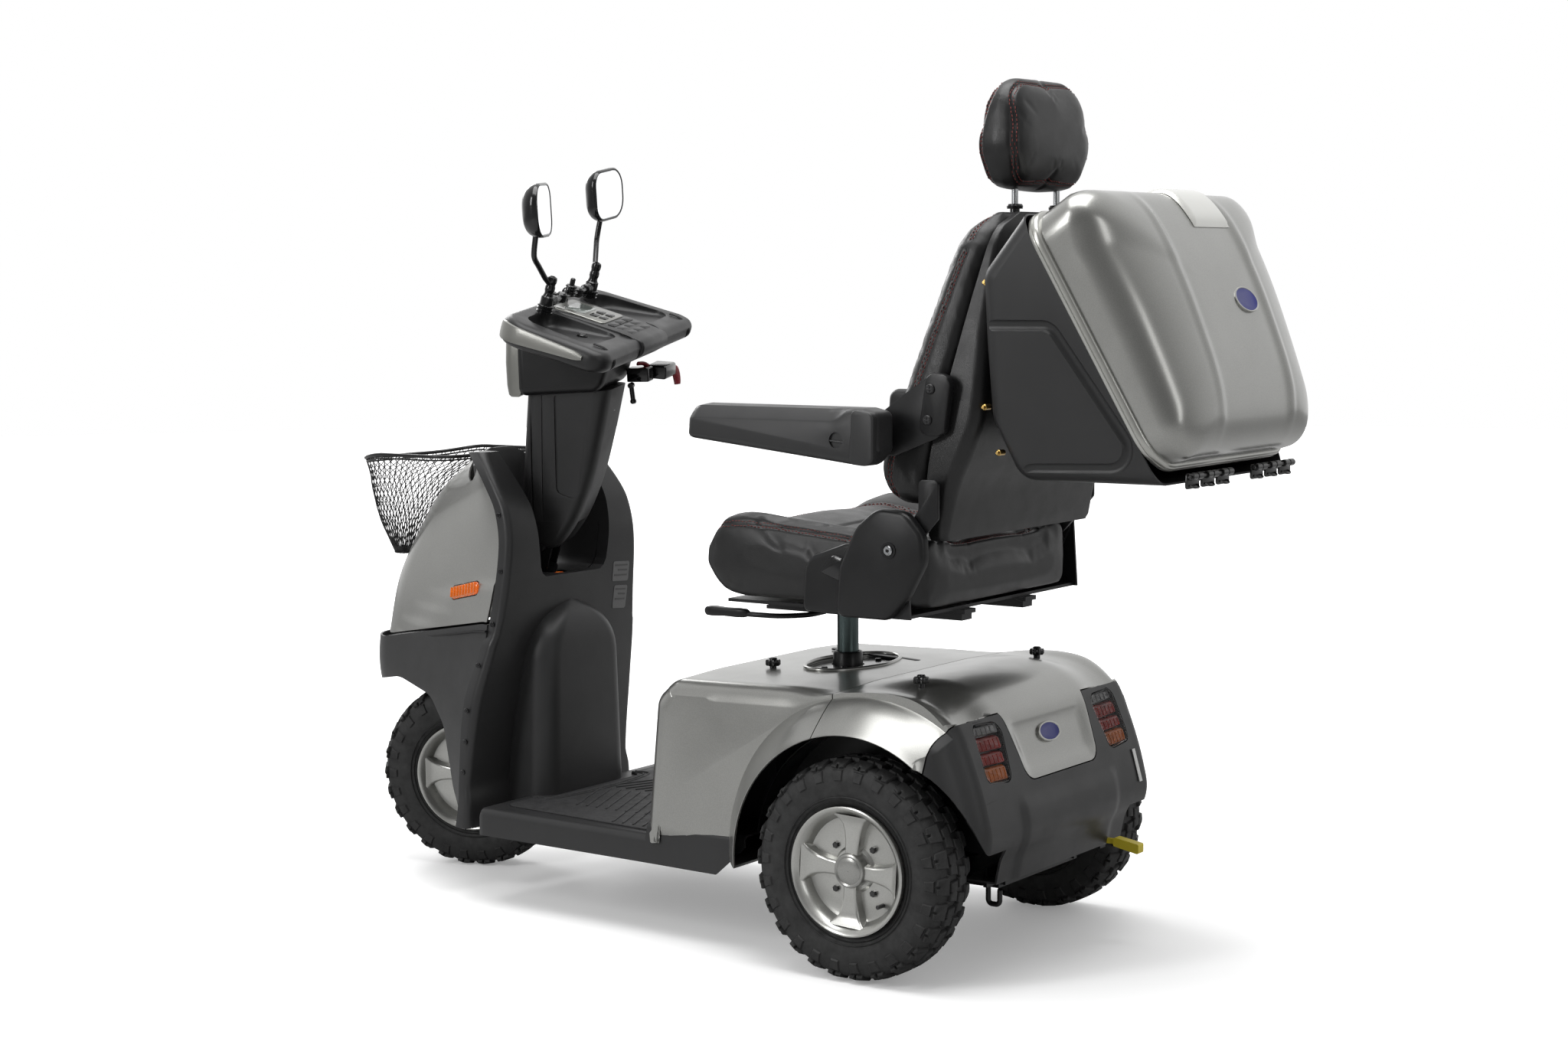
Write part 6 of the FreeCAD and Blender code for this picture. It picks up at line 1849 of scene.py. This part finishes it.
def mirror_parts():
    """Mirror bar with its clamps; housing, pane and bent arm on each side."""
    bm = bmesh.new()
    add_rod(bm, (-100, -58, 22), (100, -58, 22), 5.6, 24, 1)
    for x in (-112, 112):
        ribbed_sleeve(bm, (x, -58, 3), (x, -58, 19), 14, 3)
        add_rod(bm, (x, -58, 14), (x, -58, 34), 11, 28, 2)
        ribbed_sleeve(bm, (x - math.copysign(34, x), -58, 22), (x - math.copysign(12, x), -58, 22), 9, 4)
    for x in (-40, 40):
        add_rod(bm, (x, -80, 1), (x, -80, 13), 9, 24, 2)
        add_tube(bm, smooth_path([(x, -80, 8), (x, -80, 18), (x, -74, 23), (x, -58, 22)], 5), 5, 12)
        add_rod(bm, (x, -58, 14), (x, -58, 31), 10, 24, 3)
    ribbed_sleeve(bm, (0, -58, 20), (0, -58, 40), 10, 4)
    add_rod(bm, (0, -58, 38), (0, -58, 52), 4.5, 18, 1.5)
    add_prism(bm, rounded([(-15, 26, 5), (15, 26, 5), (12, 40, 5), (-12, 40, 5)], 4), "xz", -61, -55, 1.5, 3)
    make("mirror_mount", bm, "gloss_black", "tiller", place=HEAD, replaces=["mirror_clamps"],
         angle=35)
    for name, sign in SIDES:
        flip = Matrix.Identity(4) if sign > 0 else MIRROR
        place = STEERED @ flip @ Matrix.Translation((166, -752, 1184)) @ Matrix.Rotation(math.radians(8), 4, "Z")
        loop = rounded([(-54, -44, 28), (54, -40, 38), (54, 50, 34), (-54, 46, 28)], 12)
        bm = bmesh.new()
        rings = [[Vector((u, y, v)) for u, v in shrink(loop, inset)] for y, inset in ((9.6, 4.2), (10, 2.6), (8, 0.4))]
        for k in range(1, 11):
            w = math.pi / 2 * k / 10
            scale = max(0.03, math.cos(w) ** 0.62)
            rings.append([Vector((u * scale, 6 - 30 * math.sin(w), v * scale)) for u, v in loop])
        rings = [[Vector((u, 4.4, v)) for u, v in shrink(loop, 4.3)]] + rings
        add_loft(bm, rings)
        make(f"mirror_housing_{name}", bm, "gloss_black", f"mirror_{name}", place=place,
             replaces=[f"mirror_shell_{name}"], angle=55)
        bm = bmesh.new()
        add_loft(bm, [[Vector((u, y, v)) for u, v in shrink(loop, inset)]
                      for y, inset in ((4.5, 4.6), (8.2, 4.6), (8.8, 5.6))])
        make(f"mirror_pane_{name}", bm, "mirror_glass", f"mirror_{name}", place=place,
             replaces=[f"mirror_glass_{name}"], angle=30)
        bm = bmesh.new()
        base = Vector((112, -58, 22))
        head_to_steered = STEERED.inverted() @ HEAD
        foot, top = head_to_steered @ (base - Z * 10), head_to_steered @ (base + Z * 26)
        bend, ball = Vector((158, -770, 1110)), Vector((162, -762, 1146))
        path = smooth_path([foot, top, top.lerp(bend, 0.35), top.lerp(bend, 0.7), top.lerp(bend, 0.93),
                            bend.lerp(ball, 0.25), ball], 6)
        add_tube(bm, path, 4.8, 16)
        add_tube(bm, [path[-1] + (Vector((162, -762, 1150)) - path[-1]) * t for t in (0, 1)], [7.5, 8.5], 18)
        ribbed_sleeve(bm, foot.lerp(top, 0.35), top + (top - foot).normalized() * 20, 8.5, 3)
        make(f"mirror_arm_tube_{name}", bm, "gloss_black", f"mirror_arm_{name}",
             place=STEERED @ flip, replaces=[f"mirror_stem_{name}"], angle=40)


# ---------------------------------------------------------------- details of the body

def tail_y(z, x=0.0):
    """Rear skin of the tail at height z."""
    line = [(z0, y0) for y0, z0 in reversed(TAIL_LINE[6:12])]
    return curve_at(line, z) - 14 * smoothstep(250, 280, abs(x))


def star_knob(bm, x, y, z):
    """Thumb knob with eight lobes."""
    rings = []
    for level, size in ((-6, 5.5), (3, 5.5), (3.2, 10), (5, 11.4), (11, 11.4), (13, 10.4), (13.6, 7), (15.5, 6.4),
                        (16.4, 5)):
        lobes = 0.09 if size > 9.9 else 0.0
        rings.append([Vector((x + size * (1 + lobes * math.cos(8 * t)) * math.cos(t),
                              y + size * (1 + lobes * math.cos(8 * t)) * math.sin(t), z + level))
                      for t in turns(64)])
    add_loft(bm, rings)


def deck_details():
    """Star knobs, the oval plate at the seat post with its lip, the collar, and a thin black sheet on the deck that
    paints the shade of the recessed slot.
    """
    bm = bmesh.new()
    for x, y, z in ((105, -285, 428), (180, 42, 437)):
        for sign in (1, -1):
            star_knob(bm, sign * x, y, z)
    make("deck_knobs", bm, "gloss_black", "chassis", replaces=["cover_knobs"], angle=45)
    oval = oval_plate(-1.5)
    hole = [(27 * math.cos(2 * math.pi * k / 48), -209 + 27 * math.sin(2 * math.pi * k / 48)) for k in range(48)]
    bm = bmesh.new()
    loops = [[bm.verts.new(p) for p in lift(points, "xy", level)] for points, level in
             ((oval, 421), (oval, 426), (shrink(oval, 4), 426.6), (hole, 426.6), (hole, 421))]
    for a, b in zip(loops, loops[1:] + loops[:1]):
        for i in range(48):
            j = (i + 1) % 48
            bm.faces.new((a[i], a[j], b[j], b[i]))
    make("seat_plate_gloss", bm, "gloss_black", "chassis", replaces=["seat_plate"], angle=40)
    bm = bmesh.new()
    add_tube(bm, lift(oval_plate(2.2), "xy", 431.5), 3.4, 12, closed=True)
    make("seat_plate_lip", bm, "silver_paint", "chassis", angle=None)
    bm = bmesh.new()
    add_ring(bm, (0, -209, 0), Z, [(420, 19), (420, 25), (446, 24), (449, 22), (449, 19)], 48)
    for x, y in ((-62, -190), (62, -214), (-44, -228), (46, -186)):
        add_rod(bm, (x, y, 425), (x, y, 430), 5.5, 6, 0.8)
    make("post_collar", bm, "black_plastic", "chassis", angle=35)
    bm = bmesh.new()
    # The slot is drawn as a thin black sheet lying on the deck: painted shade standing for the recess.
    outline = rounded([(-127, -318, 6), (-113, -318, 6), (-64, -116, 6), (-78, -116, 6)], 4)
    add_loft(bm, [[Vector((x, y, 430.6 + level + (y + 118) * 0.004)) for x, y in shrink(outline, inset)]
                  for level, inset in ((-2, 0), (0.5, 0), (0.9, 0.8))])
    make("deck_slot_shade_sheet", bm, "black_plastic", "chassis", angle=30)


def tail_details():
    """Lamps with coloured cells behind a clear cover, the blank oval badge and the sticker."""
    pocket = [(159, 301, 15), (227, 307, 13), (221, 391, 15), (141, 387, 19)]
    cells = (("amber_cell", 304, 326), ("red_cell", 328, 346), ("red_cell", 348, 368), ("white_cell", 370, 386))
    for name, sign in SIDES:
        place = side_place(sign)
        bm = bmesh.new()
        outline = rounded(pocket, 6)
        add_loft(bm, [[Vector((x, tail_y(z, x) + level, z)) for x, z in shrink(outline, inset)]
                      for level, inset in ((-32, 3), (-30, -3.5), (-4.4, -3.5), (-3.9, 0.3), (-0.8, 0.4), (-0.8, 1.4),
                                           (-14, 2.6), (-15, 6))])
        make(f"lamp_housing_{name}", bm, "gloss_black", "chassis", place=place,
             replaces=["tail_lamps"], angle=35)
        for index, (lens, low, high) in enumerate(cells):
            bm = bmesh.new()
            mid = (low + high) / 2
            left = 159 - (mid - 301) * 0.2 + 5
            right = 227 - (mid - 307) * 0.07 - 5
            cell = rounded([(left, low, 5), (right, low + 2, 5), (right, high + 1, 5), (left, high, 5)], 4)
            add_loft(bm, [[Vector((x, tail_y(z, x) + level, z)) for x, z in shrink(cell, inset)]
                          for level, inset in ((-14, 0.5), (-6, 0.5), (-3.6, 2), (-2.6, 5))])
            for k in range(5):
                x = left + 8 + (right - left - 16) * k / 4
                add_tube(bm, [(x, tail_y(low + 4, x) - 3.2, low + 4), (x, tail_y(high - 3, x) - 3.2, high - 3)], 1.7, 8)
            make(f"lamp_cell_{index}_{name}", bm, lens, "chassis", place=place, angle=35)
        bm = bmesh.new()
        add_loft(bm, [[Vector((x, tail_y(z, x) + level, z)) for x, z in shrink(outline, inset)]
                      for level, inset in ((-1.6, 1.6), (0.6, 1.6), (1.5, 2.8), (1.8, 6))])
        make(f"lamp_cover_{name}", bm, "clear_lens", "chassis", place=place, angle=35)
    bm = bmesh.new()
    y0 = tail_y(350) - 6
    slope = Vector((0, -0.42, 0.91)).normalized()
    out = Vector((0, slope.z, -slope.y))
    centre = Vector((2, y0, 352))
    add_oval(bm, centre, slope, out, 34, 16, ((1.0, -3.0), (1.0, 1.4), (0.96, 2.2), (0.88, 2.2), (0.84, 1.5)))
    badge = make("tail_badge", bm, ["pale_silver", "blue_badge"], "chassis", angle=30)
    blue_face(badge)
    bm = bmesh.new()
    strip = [(-224, 240), (-233, 240), (-231, 292), (-222, 292)]
    add_loft(bm, [[Vector((x, tail_y(z) + level, z)) for x, z in strip] for level in (2.0, 3.0)])
    make("tail_sticker", bm, "label_white", "chassis", angle=30)


def blue_face(obj):
    """Give the flat end faces of a badge their enamel colour."""
    mark(obj, lambda f: len(f.vertices) > 8)


def wheel_face(sign, centre, place, name, body):
    """Cast rim: bright lip, pocket floor, four flared spokes, hub cap, wheel studs and valve."""
    axis = X * sign
    bm = bmesh.new()
    add_ring(bm, centre, axis, [(-38, 99), (-38, 92), (-28, 85), (10, 80), (13, 70), (14, 24), (24, 24), (24, 32),
                                (20, 36), (19, 76), (22, 81), (32, 84.5), (40, 88), (43.5, 92), (46, 94), (47, 97),
                                (46, 99), (36, 98.4), (30, 95), (-30, 95), (-33, 99)], 96)
    for k in range(4):
        w = math.pi / 2 * k + 0.05
        run = Vector((0, math.sin(w), math.cos(w)))
        side = axis.cross(run)
        rings = []
        for r, half, top in ((18, 11, 33), (28, 10.5, 35), (44, 11.5, 34), (60, 14, 33.5), (72, 18, 34),
                             (80, 23, 36.5), (86, 29, 39.5), (90, 33, 41)):
            section = rounded([(-half - 3, 14), (half + 3, 14), (half, top, 4.5), (-half, top, 4.5)], 4)
            ring = []
            for t, a in section:
                reach = math.sqrt(max(1.0, r * r - min(t * t, r * r * 0.8)))
                ring.append(Vector(centre) + axis * a + run * reach + side * t)
            rings.append(ring)
        add_loft(bm, rings)
    make(f"rim_{name}_casting", bm, "wheel_silver", body, place=place,
         replaces=[f"rim_{name}"], angle=35)
    bm = bmesh.new()
    add_ring(bm, centre, axis, [(18, 11), (18, 27), (35, 27), (38.5, 25.5), (39.5, 23), (38.8, 21.5), (38.2, 20.5),
                                (39, 19), (40.2, 12), (40.4, 0.5), (30, 0.5), (30, 11)], 64)
    make(f"hub_cap_{name}", bm, "silver_paint", body, place=place, angle=30)
    bm = bmesh.new()
    for k in range(4):
        w = math.pi / 4 + math.pi / 2 * k
        spot = Vector(centre) + Vector((0, math.sin(w), math.cos(w))) * 47
        add_rod(bm, spot + axis * 16, spot + axis * 25, 5.2, 6, 0.8)
    w = math.pi / 4 + math.pi / 2
    spot = Vector(centre) + Vector((0, math.sin(w), math.cos(w))) * 70
    add_rod(bm, spot + axis * 16, spot + axis * 36, 3.4, 14, 0.8)
    make(f"wheel_nuts_{name}", bm, "dark_steel", body, place=place, angle=30)


def wheels():
    """One rim, hub cap and set of nuts for each wheel."""
    for name, sign, centre, place in wheel_places():
        wheel_face(sign, centre, place, name, f"wheel_{name}")


def floor():
    """Floor tray and the ribbed mat on it."""
    bm = bmesh.new()
    rings = []
    for y in [-794, -790, -782] + list(range(-770, -430, 20)) + [-428, -424, -405] + list(range(-390, -280, 20)) \
            + [-283, -262, -240, -226]:
        half = curve_at([(-794, 250), (-446, 262), (-283, 270), (-200, 271)], y)
        low = 119 if y < -283 else 119 + (y + 283) * 0.86
        top = 165 if y < -426 else 188
        end = 4 if y == -794 else 1 if y == -790 else 0
        rings.append([Vector((x, y, z)) for x, z in
                      rounded([(end - half, low), (half - end, low), (half - end, top - end, 13),
                               (end - half, top - end, 13)], 6)])
    add_loft(bm, rings)
    pan = solid_object("pan", bm)
    mark(pan, lambda f: f.normal.z < -0.5 or f.normal.y > 0.9 and f.center.y > -300)
    for x, y, r in ((0, -209, 62), (0, -778, 18)):
        bm = bmesh.new()
        add_rod(bm, (x, y, 60), (x, y, 260), r, 48)
        combine(pan, solid_object("t", bm), "DIFFERENCE", 1)
    finish_shell(pan, "floor_tray", "charcoal_plastic", "chassis", ["floor_pan"], 3.5)
    bm = bmesh.new()
    mat = rounded([(-212, -764, 20), (-132, -764, 4), (-126, -740, 20), (126, -740, 20), (132, -764, 4),
                   (212, -764, 20), (238, -440, 8), (-238, -440, 8)], 6)
    add_layers(bm, mat, "xy", ((165.2, 0), (167, 0), (168, 1)))
    for k in range(15):
        y = -744 + k * 21
        for sign in (1, -1):
            for x0, x1 in ((8, 150), (158, 226)):
                a, b = Vector((sign * x0, y + x0 * 0.42, 168)), Vector((sign * x1, y + x1 * 0.42, 168))
                if b.y > -448:
                    continue
                if abs(a.x) < 150 and a.y < -722 or b.x * sign > 208 + (b.y + 764) * 0.08:
                    continue
                add_tube(bm, [a, b], 2.3, 6, 0.75)
    for grow in (10, 19):
        arc = [(sign * x, y, 168.2) for sign, x, y in ((1, 124 + grow, -762), (1, 118 + grow, -738 + grow * 0.6),
                                                       (1, 60, -730 + grow), (1, 0, -728 + grow),
                                                       (-1, 60, -730 + grow), (-1, 118 + grow, -738 + grow * 0.6),
                                                       (-1, 124 + grow, -762))]
        add_tube(bm, smooth_path(arc, 8), 2.0, 6)
    make("ribbed_mat", bm, "floor_rubber", "chassis", replaces=["floor_mat"], angle=40)


# ---------------------------------------------------------------- details of the seat

ARM_PIVOT = (10, 813)
PIVOT_Y, PIVOT_Z = 45, 652  # of the recliner
RIGHT_SIZE, RIGHT_FORWARD = 0.62, 20  # of the right recliner cover, which does not show past the cushion


def armrest(name, sign):
    """Hard moulding with a sloped top edge, an end cap and a seam."""
    place = side_place(sign)
    outline = densify(rounded([(-300, 811, 10), (-60, 786, 60), (24, 777, 20), (46, 800, 14), (46, 858, 12),
                               (20, 864, 20), (-296, 864, 18)], 7), 12)
    rings = []
    for x, inset in ((261, 9), (262.5, 4.5), (266, 1.2), (272, 0), (300, 0), (306, 0.6), (312, 2.4), (316, 5.6),
                     (318, 10)):
        ring = []
        for y, z in shrink(outline, inset):
            bevel = smoothstep(294, 318, x) * smoothstep(828, 864, z) * (1 - smoothstep(-30, 0, y))
            ring.append(Vector((x, y, z - 15 * bevel)))
        rings.append(ring)
    bm = bmesh.new()
    add_loft(bm, rings)
    arm = solid_object("arm", bm)
    for (y, z), radius, low, high in (((-22, 816), 12, 314, 330), (ARM_PIVOT, 8.3, 240, 303)):
        bm = bmesh.new()
        add_rod(bm, (low, y, z), (high, y, z), radius, 40, 0)
        combine(arm, solid_object("t", bm), "DIFFERENCE", 0)
    bm = take_mesh(arm)
    make(f"armrest_{name}_moulding", bm, "charcoal_plastic", f"armrest_{name}", place=place,
         replaces=[f"armrest_{name}"], angle=38)
    bm = bmesh.new()
    add_prism(bm, rounded([(2, 781, 8), (44, 779, 14), (45, 858, 12), (6, 862, 8)], 5), "yz", 300, 320.5, 3, 4)
    add_tube(bm, smooth_path([(314.5, -290, 834), (315.5, -200, 828), (316, -100, 820), (316, -4, 813)], 8), 1.4, 8)
    make(f"armrest_{name}_end", bm, "charcoal_plastic", f"armrest_{name}", place=place, angle=38)


def recliner(name, sign):
    """Cover, screw and washer of the recliner, and the trim in front of it."""
    place = side_place(sign)
    bm = bmesh.new()
    cover = rounded([(-52, 546, 14), (42, 546, 24), (76, 582, 40), (106, 636, 34), (104, 676, 34), (74, 710, 34),
                     (22, 714, 36), (-16, 684, 40), (-46, 622, 40)], 7)
    if sign < 0:
        cover = [(PIVOT_Y + (y - PIVOT_Y) * RIGHT_SIZE - RIGHT_FORWARD, PIVOT_Z + (z - PIVOT_Z) * RIGHT_SIZE)
                 for y, z in cover]
    cover = densify(cover, 10)
    near = 262 if sign > 0 else 250  # inner face of the cover
    add_loft(bm, [lift(shrink(cover, inset), "yz", near + rise) for rise, inset in
                  ((0, 0), (8, 0), (12, 1.4), (14.4, 4), (15.6, 8))])
    make(f"recliner_cover_{name}", bm, "black_plastic", "seat", place=place,
         replaces=["recliner_covers"], angle=50)
    bm = bmesh.new()
    near += 14
    add_rod(bm, (near, PIVOT_Y, PIVOT_Z), (near + 5.5, PIVOT_Y, PIVOT_Z), 7.5, 32, 1.2)
    make(f"recliner_screw_{name}", bm, "bright_steel", "seat", place=place, angle=30)
    bm = bmesh.new()
    add_ring(bm, (0, PIVOT_Y, PIVOT_Z), X, [(near, 9), (near, 13), (near + 3.2, 12.5), (near + 3.2, 9)], 40)
    add_rod(bm, (near + 5, PIVOT_Y, PIVOT_Z), (near + 5.9, PIVOT_Y, PIVOT_Z), 3, 6)
    make(f"recliner_washer_{name}", bm, "gloss_black", "seat", place=place, angle=30)
    bm = bmesh.new()
    trim = rounded([(-122, 549, 10), (0, 546, 6), (0, 660, 10), (-44, 656, 26), (-116, 630, 34)], 6)
    add_layers(bm, trim, "yz", ((250, 0), (258, 0), (261, 2), (262, 6)))
    make(f"seat_side_trim_{name}", bm, "black_plastic", "seat", place=place, angle=45)


def seat_details():
    """Armrests, recliners, the recline paddle and the grip of the swivel lever."""
    for name, sign in SIDES:
        armrest(name, sign)
        recliner(name, sign)
    bm = bmesh.new()
    paddle = rounded([(-84, 612, 5), (-36, 596, 6), (-40, 634, 8), (-60, 640, 12)], 5)
    add_layers(bm, paddle, "yz", ((262, 1.5), (264, 0), (270, 0), (272.5, 1.5), (273.2, 5)))
    add_rod(bm, (255, -58, 612), (263, -58, 612), 3.8, 16)
    make("recline_paddle", bm, "gloss_black", "recline_lever", replaces=["recline_lever"], angle=40)
    bm = bmesh.new()
    low = 527
    add_tube(bm, smooth_path([(111, -180, low), (160, -181, low), (200, -205, low + 1), (214, -240, low + 2),
                              (214, -268, low + 2)], 8), 4.2, 12)
    sections = []
    for y, half, tall in ((-256, 5, 4.5), (-262, 8, 6.5), (-275, 9, 7), (-300, 8.5, 6.5), (-322, 10, 7.5),
                          (-332, 9.5, 7), (-337, 6, 4.5)):
        sections.append(lift(rounded([(214 - half, low + 3 - tall, 3.5), (214 + half, low + 3 - tall, 3.5),
                                      (214 + half, low + 3 + tall, 3.5), (214 - half, low + 3 + tall, 3.5)], 4),
                             "xz", y))
    add_loft(bm, sections)
    make("swivel_grip", bm, "black_plastic", "swivel_lever", replaces=["swivel_lever"], angle=40)


def back_details():
    """Padded rear shell, armrest brackets with cross screws, recliner arms and headrest guides."""
    bm = bmesh.new()
    rings = []
    for z in (664, 666, 672) + tuple(heights(688, 1120, 18)) + (1132, 1142, 1149, 1152):
        front = curve_at([(664, 86), (772, 88), (950, 131), (1100, 168), (1152, 176)], z)
        half = curve_at([(664, 230), (800, 236), (950, 224), (1105, 200), (1130, 180), (1152, 150)], z)
        rear = curve_at([(664, 112), (742, 130), (790, 152), (860, 176), (1152, 184)], z)
        tip = 1 - 0.12 * smoothstep(1132, 1152, z) - 0.03 * (1 - smoothstep(664, 672, z))
        rear = max(rear, front + 7)
        section = rounded([(-half * tip, front), (half * tip, front), (half * tip, rear, 22),
                           (-half * tip, rear, 22)], 7)
        rings.append(lift(section, "xy", z))
    add_loft(bm, rings)
    make("back_shell", bm, "leather_black", "backrest", replaces=["back_panel"], angle=60)
    for name, sign in SIDES:
        place = side_place(sign)
        bm = bmesh.new()
        plate = rounded([(78, 822, 16), (124, 822, 14), (138, 914, 18), (94, 916, 16)], 6)
        add_layers(bm, plate, "yz", ((240, 0), (249, 0), (251.5, 1.5), (252.2, 5)))
        reach = rounded([(-10, 796, 14), (36, 790, 20), (118, 822, 20), (134, 890, 20), (104, 914, 20),
                         (56, 884, 30), (-12, 836, 18)], 6)
        add_layers(bm, reach, "yz", ((246, 0), (249.5, 0), (250.6, 2)))
        add_rod(bm, (246, *ARM_PIVOT), (260.5, *ARM_PIVOT), 15, 32)
        add_rod(bm, (258, *ARM_PIVOT), (299, *ARM_PIVOT), 7.8, 28)
        make(f"armrest_bracket_{name}", bm, "black_plastic", "backrest", place=place, angle=40)
        bm = bmesh.new()
        for y, z in ((102, 892), (97, 846)):
            add_rod(bm, (250, y, z), (255.5, y, z), 7.5, 24, 1.4)
            for a, b in (((0, 4.6, 0), (0, -4.6, 0)), ((0, 0, 4.6), (0, 0, -4.6))):
                at_x = Vector((255.2, y, z))
                add_tube(bm, [at_x + Vector(a), at_x + Vector(b)], 1.0, 6)
        make(f"bracket_screws_{name}", bm, "frame_black", "backrest", place=place, angle=30)
        bm = bmesh.new()
        hinge = rounded([(30, 638, 14), (60, 636, 14), (118, 700, 8), (118, 758, 8), (84, 758, 8), (84, 712, 12)], 5)
        low, high = (251.5, 257) if sign > 0 else (228, 234)
        add_prism(bm, hinge, "yz", low, high, 1, 2)
        make(f"recliner_arm_{name}", bm, "frame_black", "backrest", place=place, angle=30)
    bm = bmesh.new()
    for x in (-65, 65):
        add_ring(bm, (x, 137, 0), Z, [(1110, 5.4), (1110, 7.5), (1158, 7.5), (1158, 12), (1162, 12.5), (1165, 11),
                                      (1166, 5.4)], 28)
    make("headrest_sockets", bm, "gloss_black", "backrest", angle=30)


# ---------------------------------------------------------------- assembly

camera()
studio()
paint_cad()
tyres()
seat_cushion()
back_cushion()
headrest()
box_lid()
box_catch()
box_badge()
box_body()
hinges()
rear_body()
leg_shield()
front_panel()
front_nose()
indicators()
shield_fittings()
basket()
tiller_column()
tiller_head()
trims()
dash()
levers()
mirror_parts()
deck_details()
tail_details()
wheels()
floor()
seat_details()
back_details()
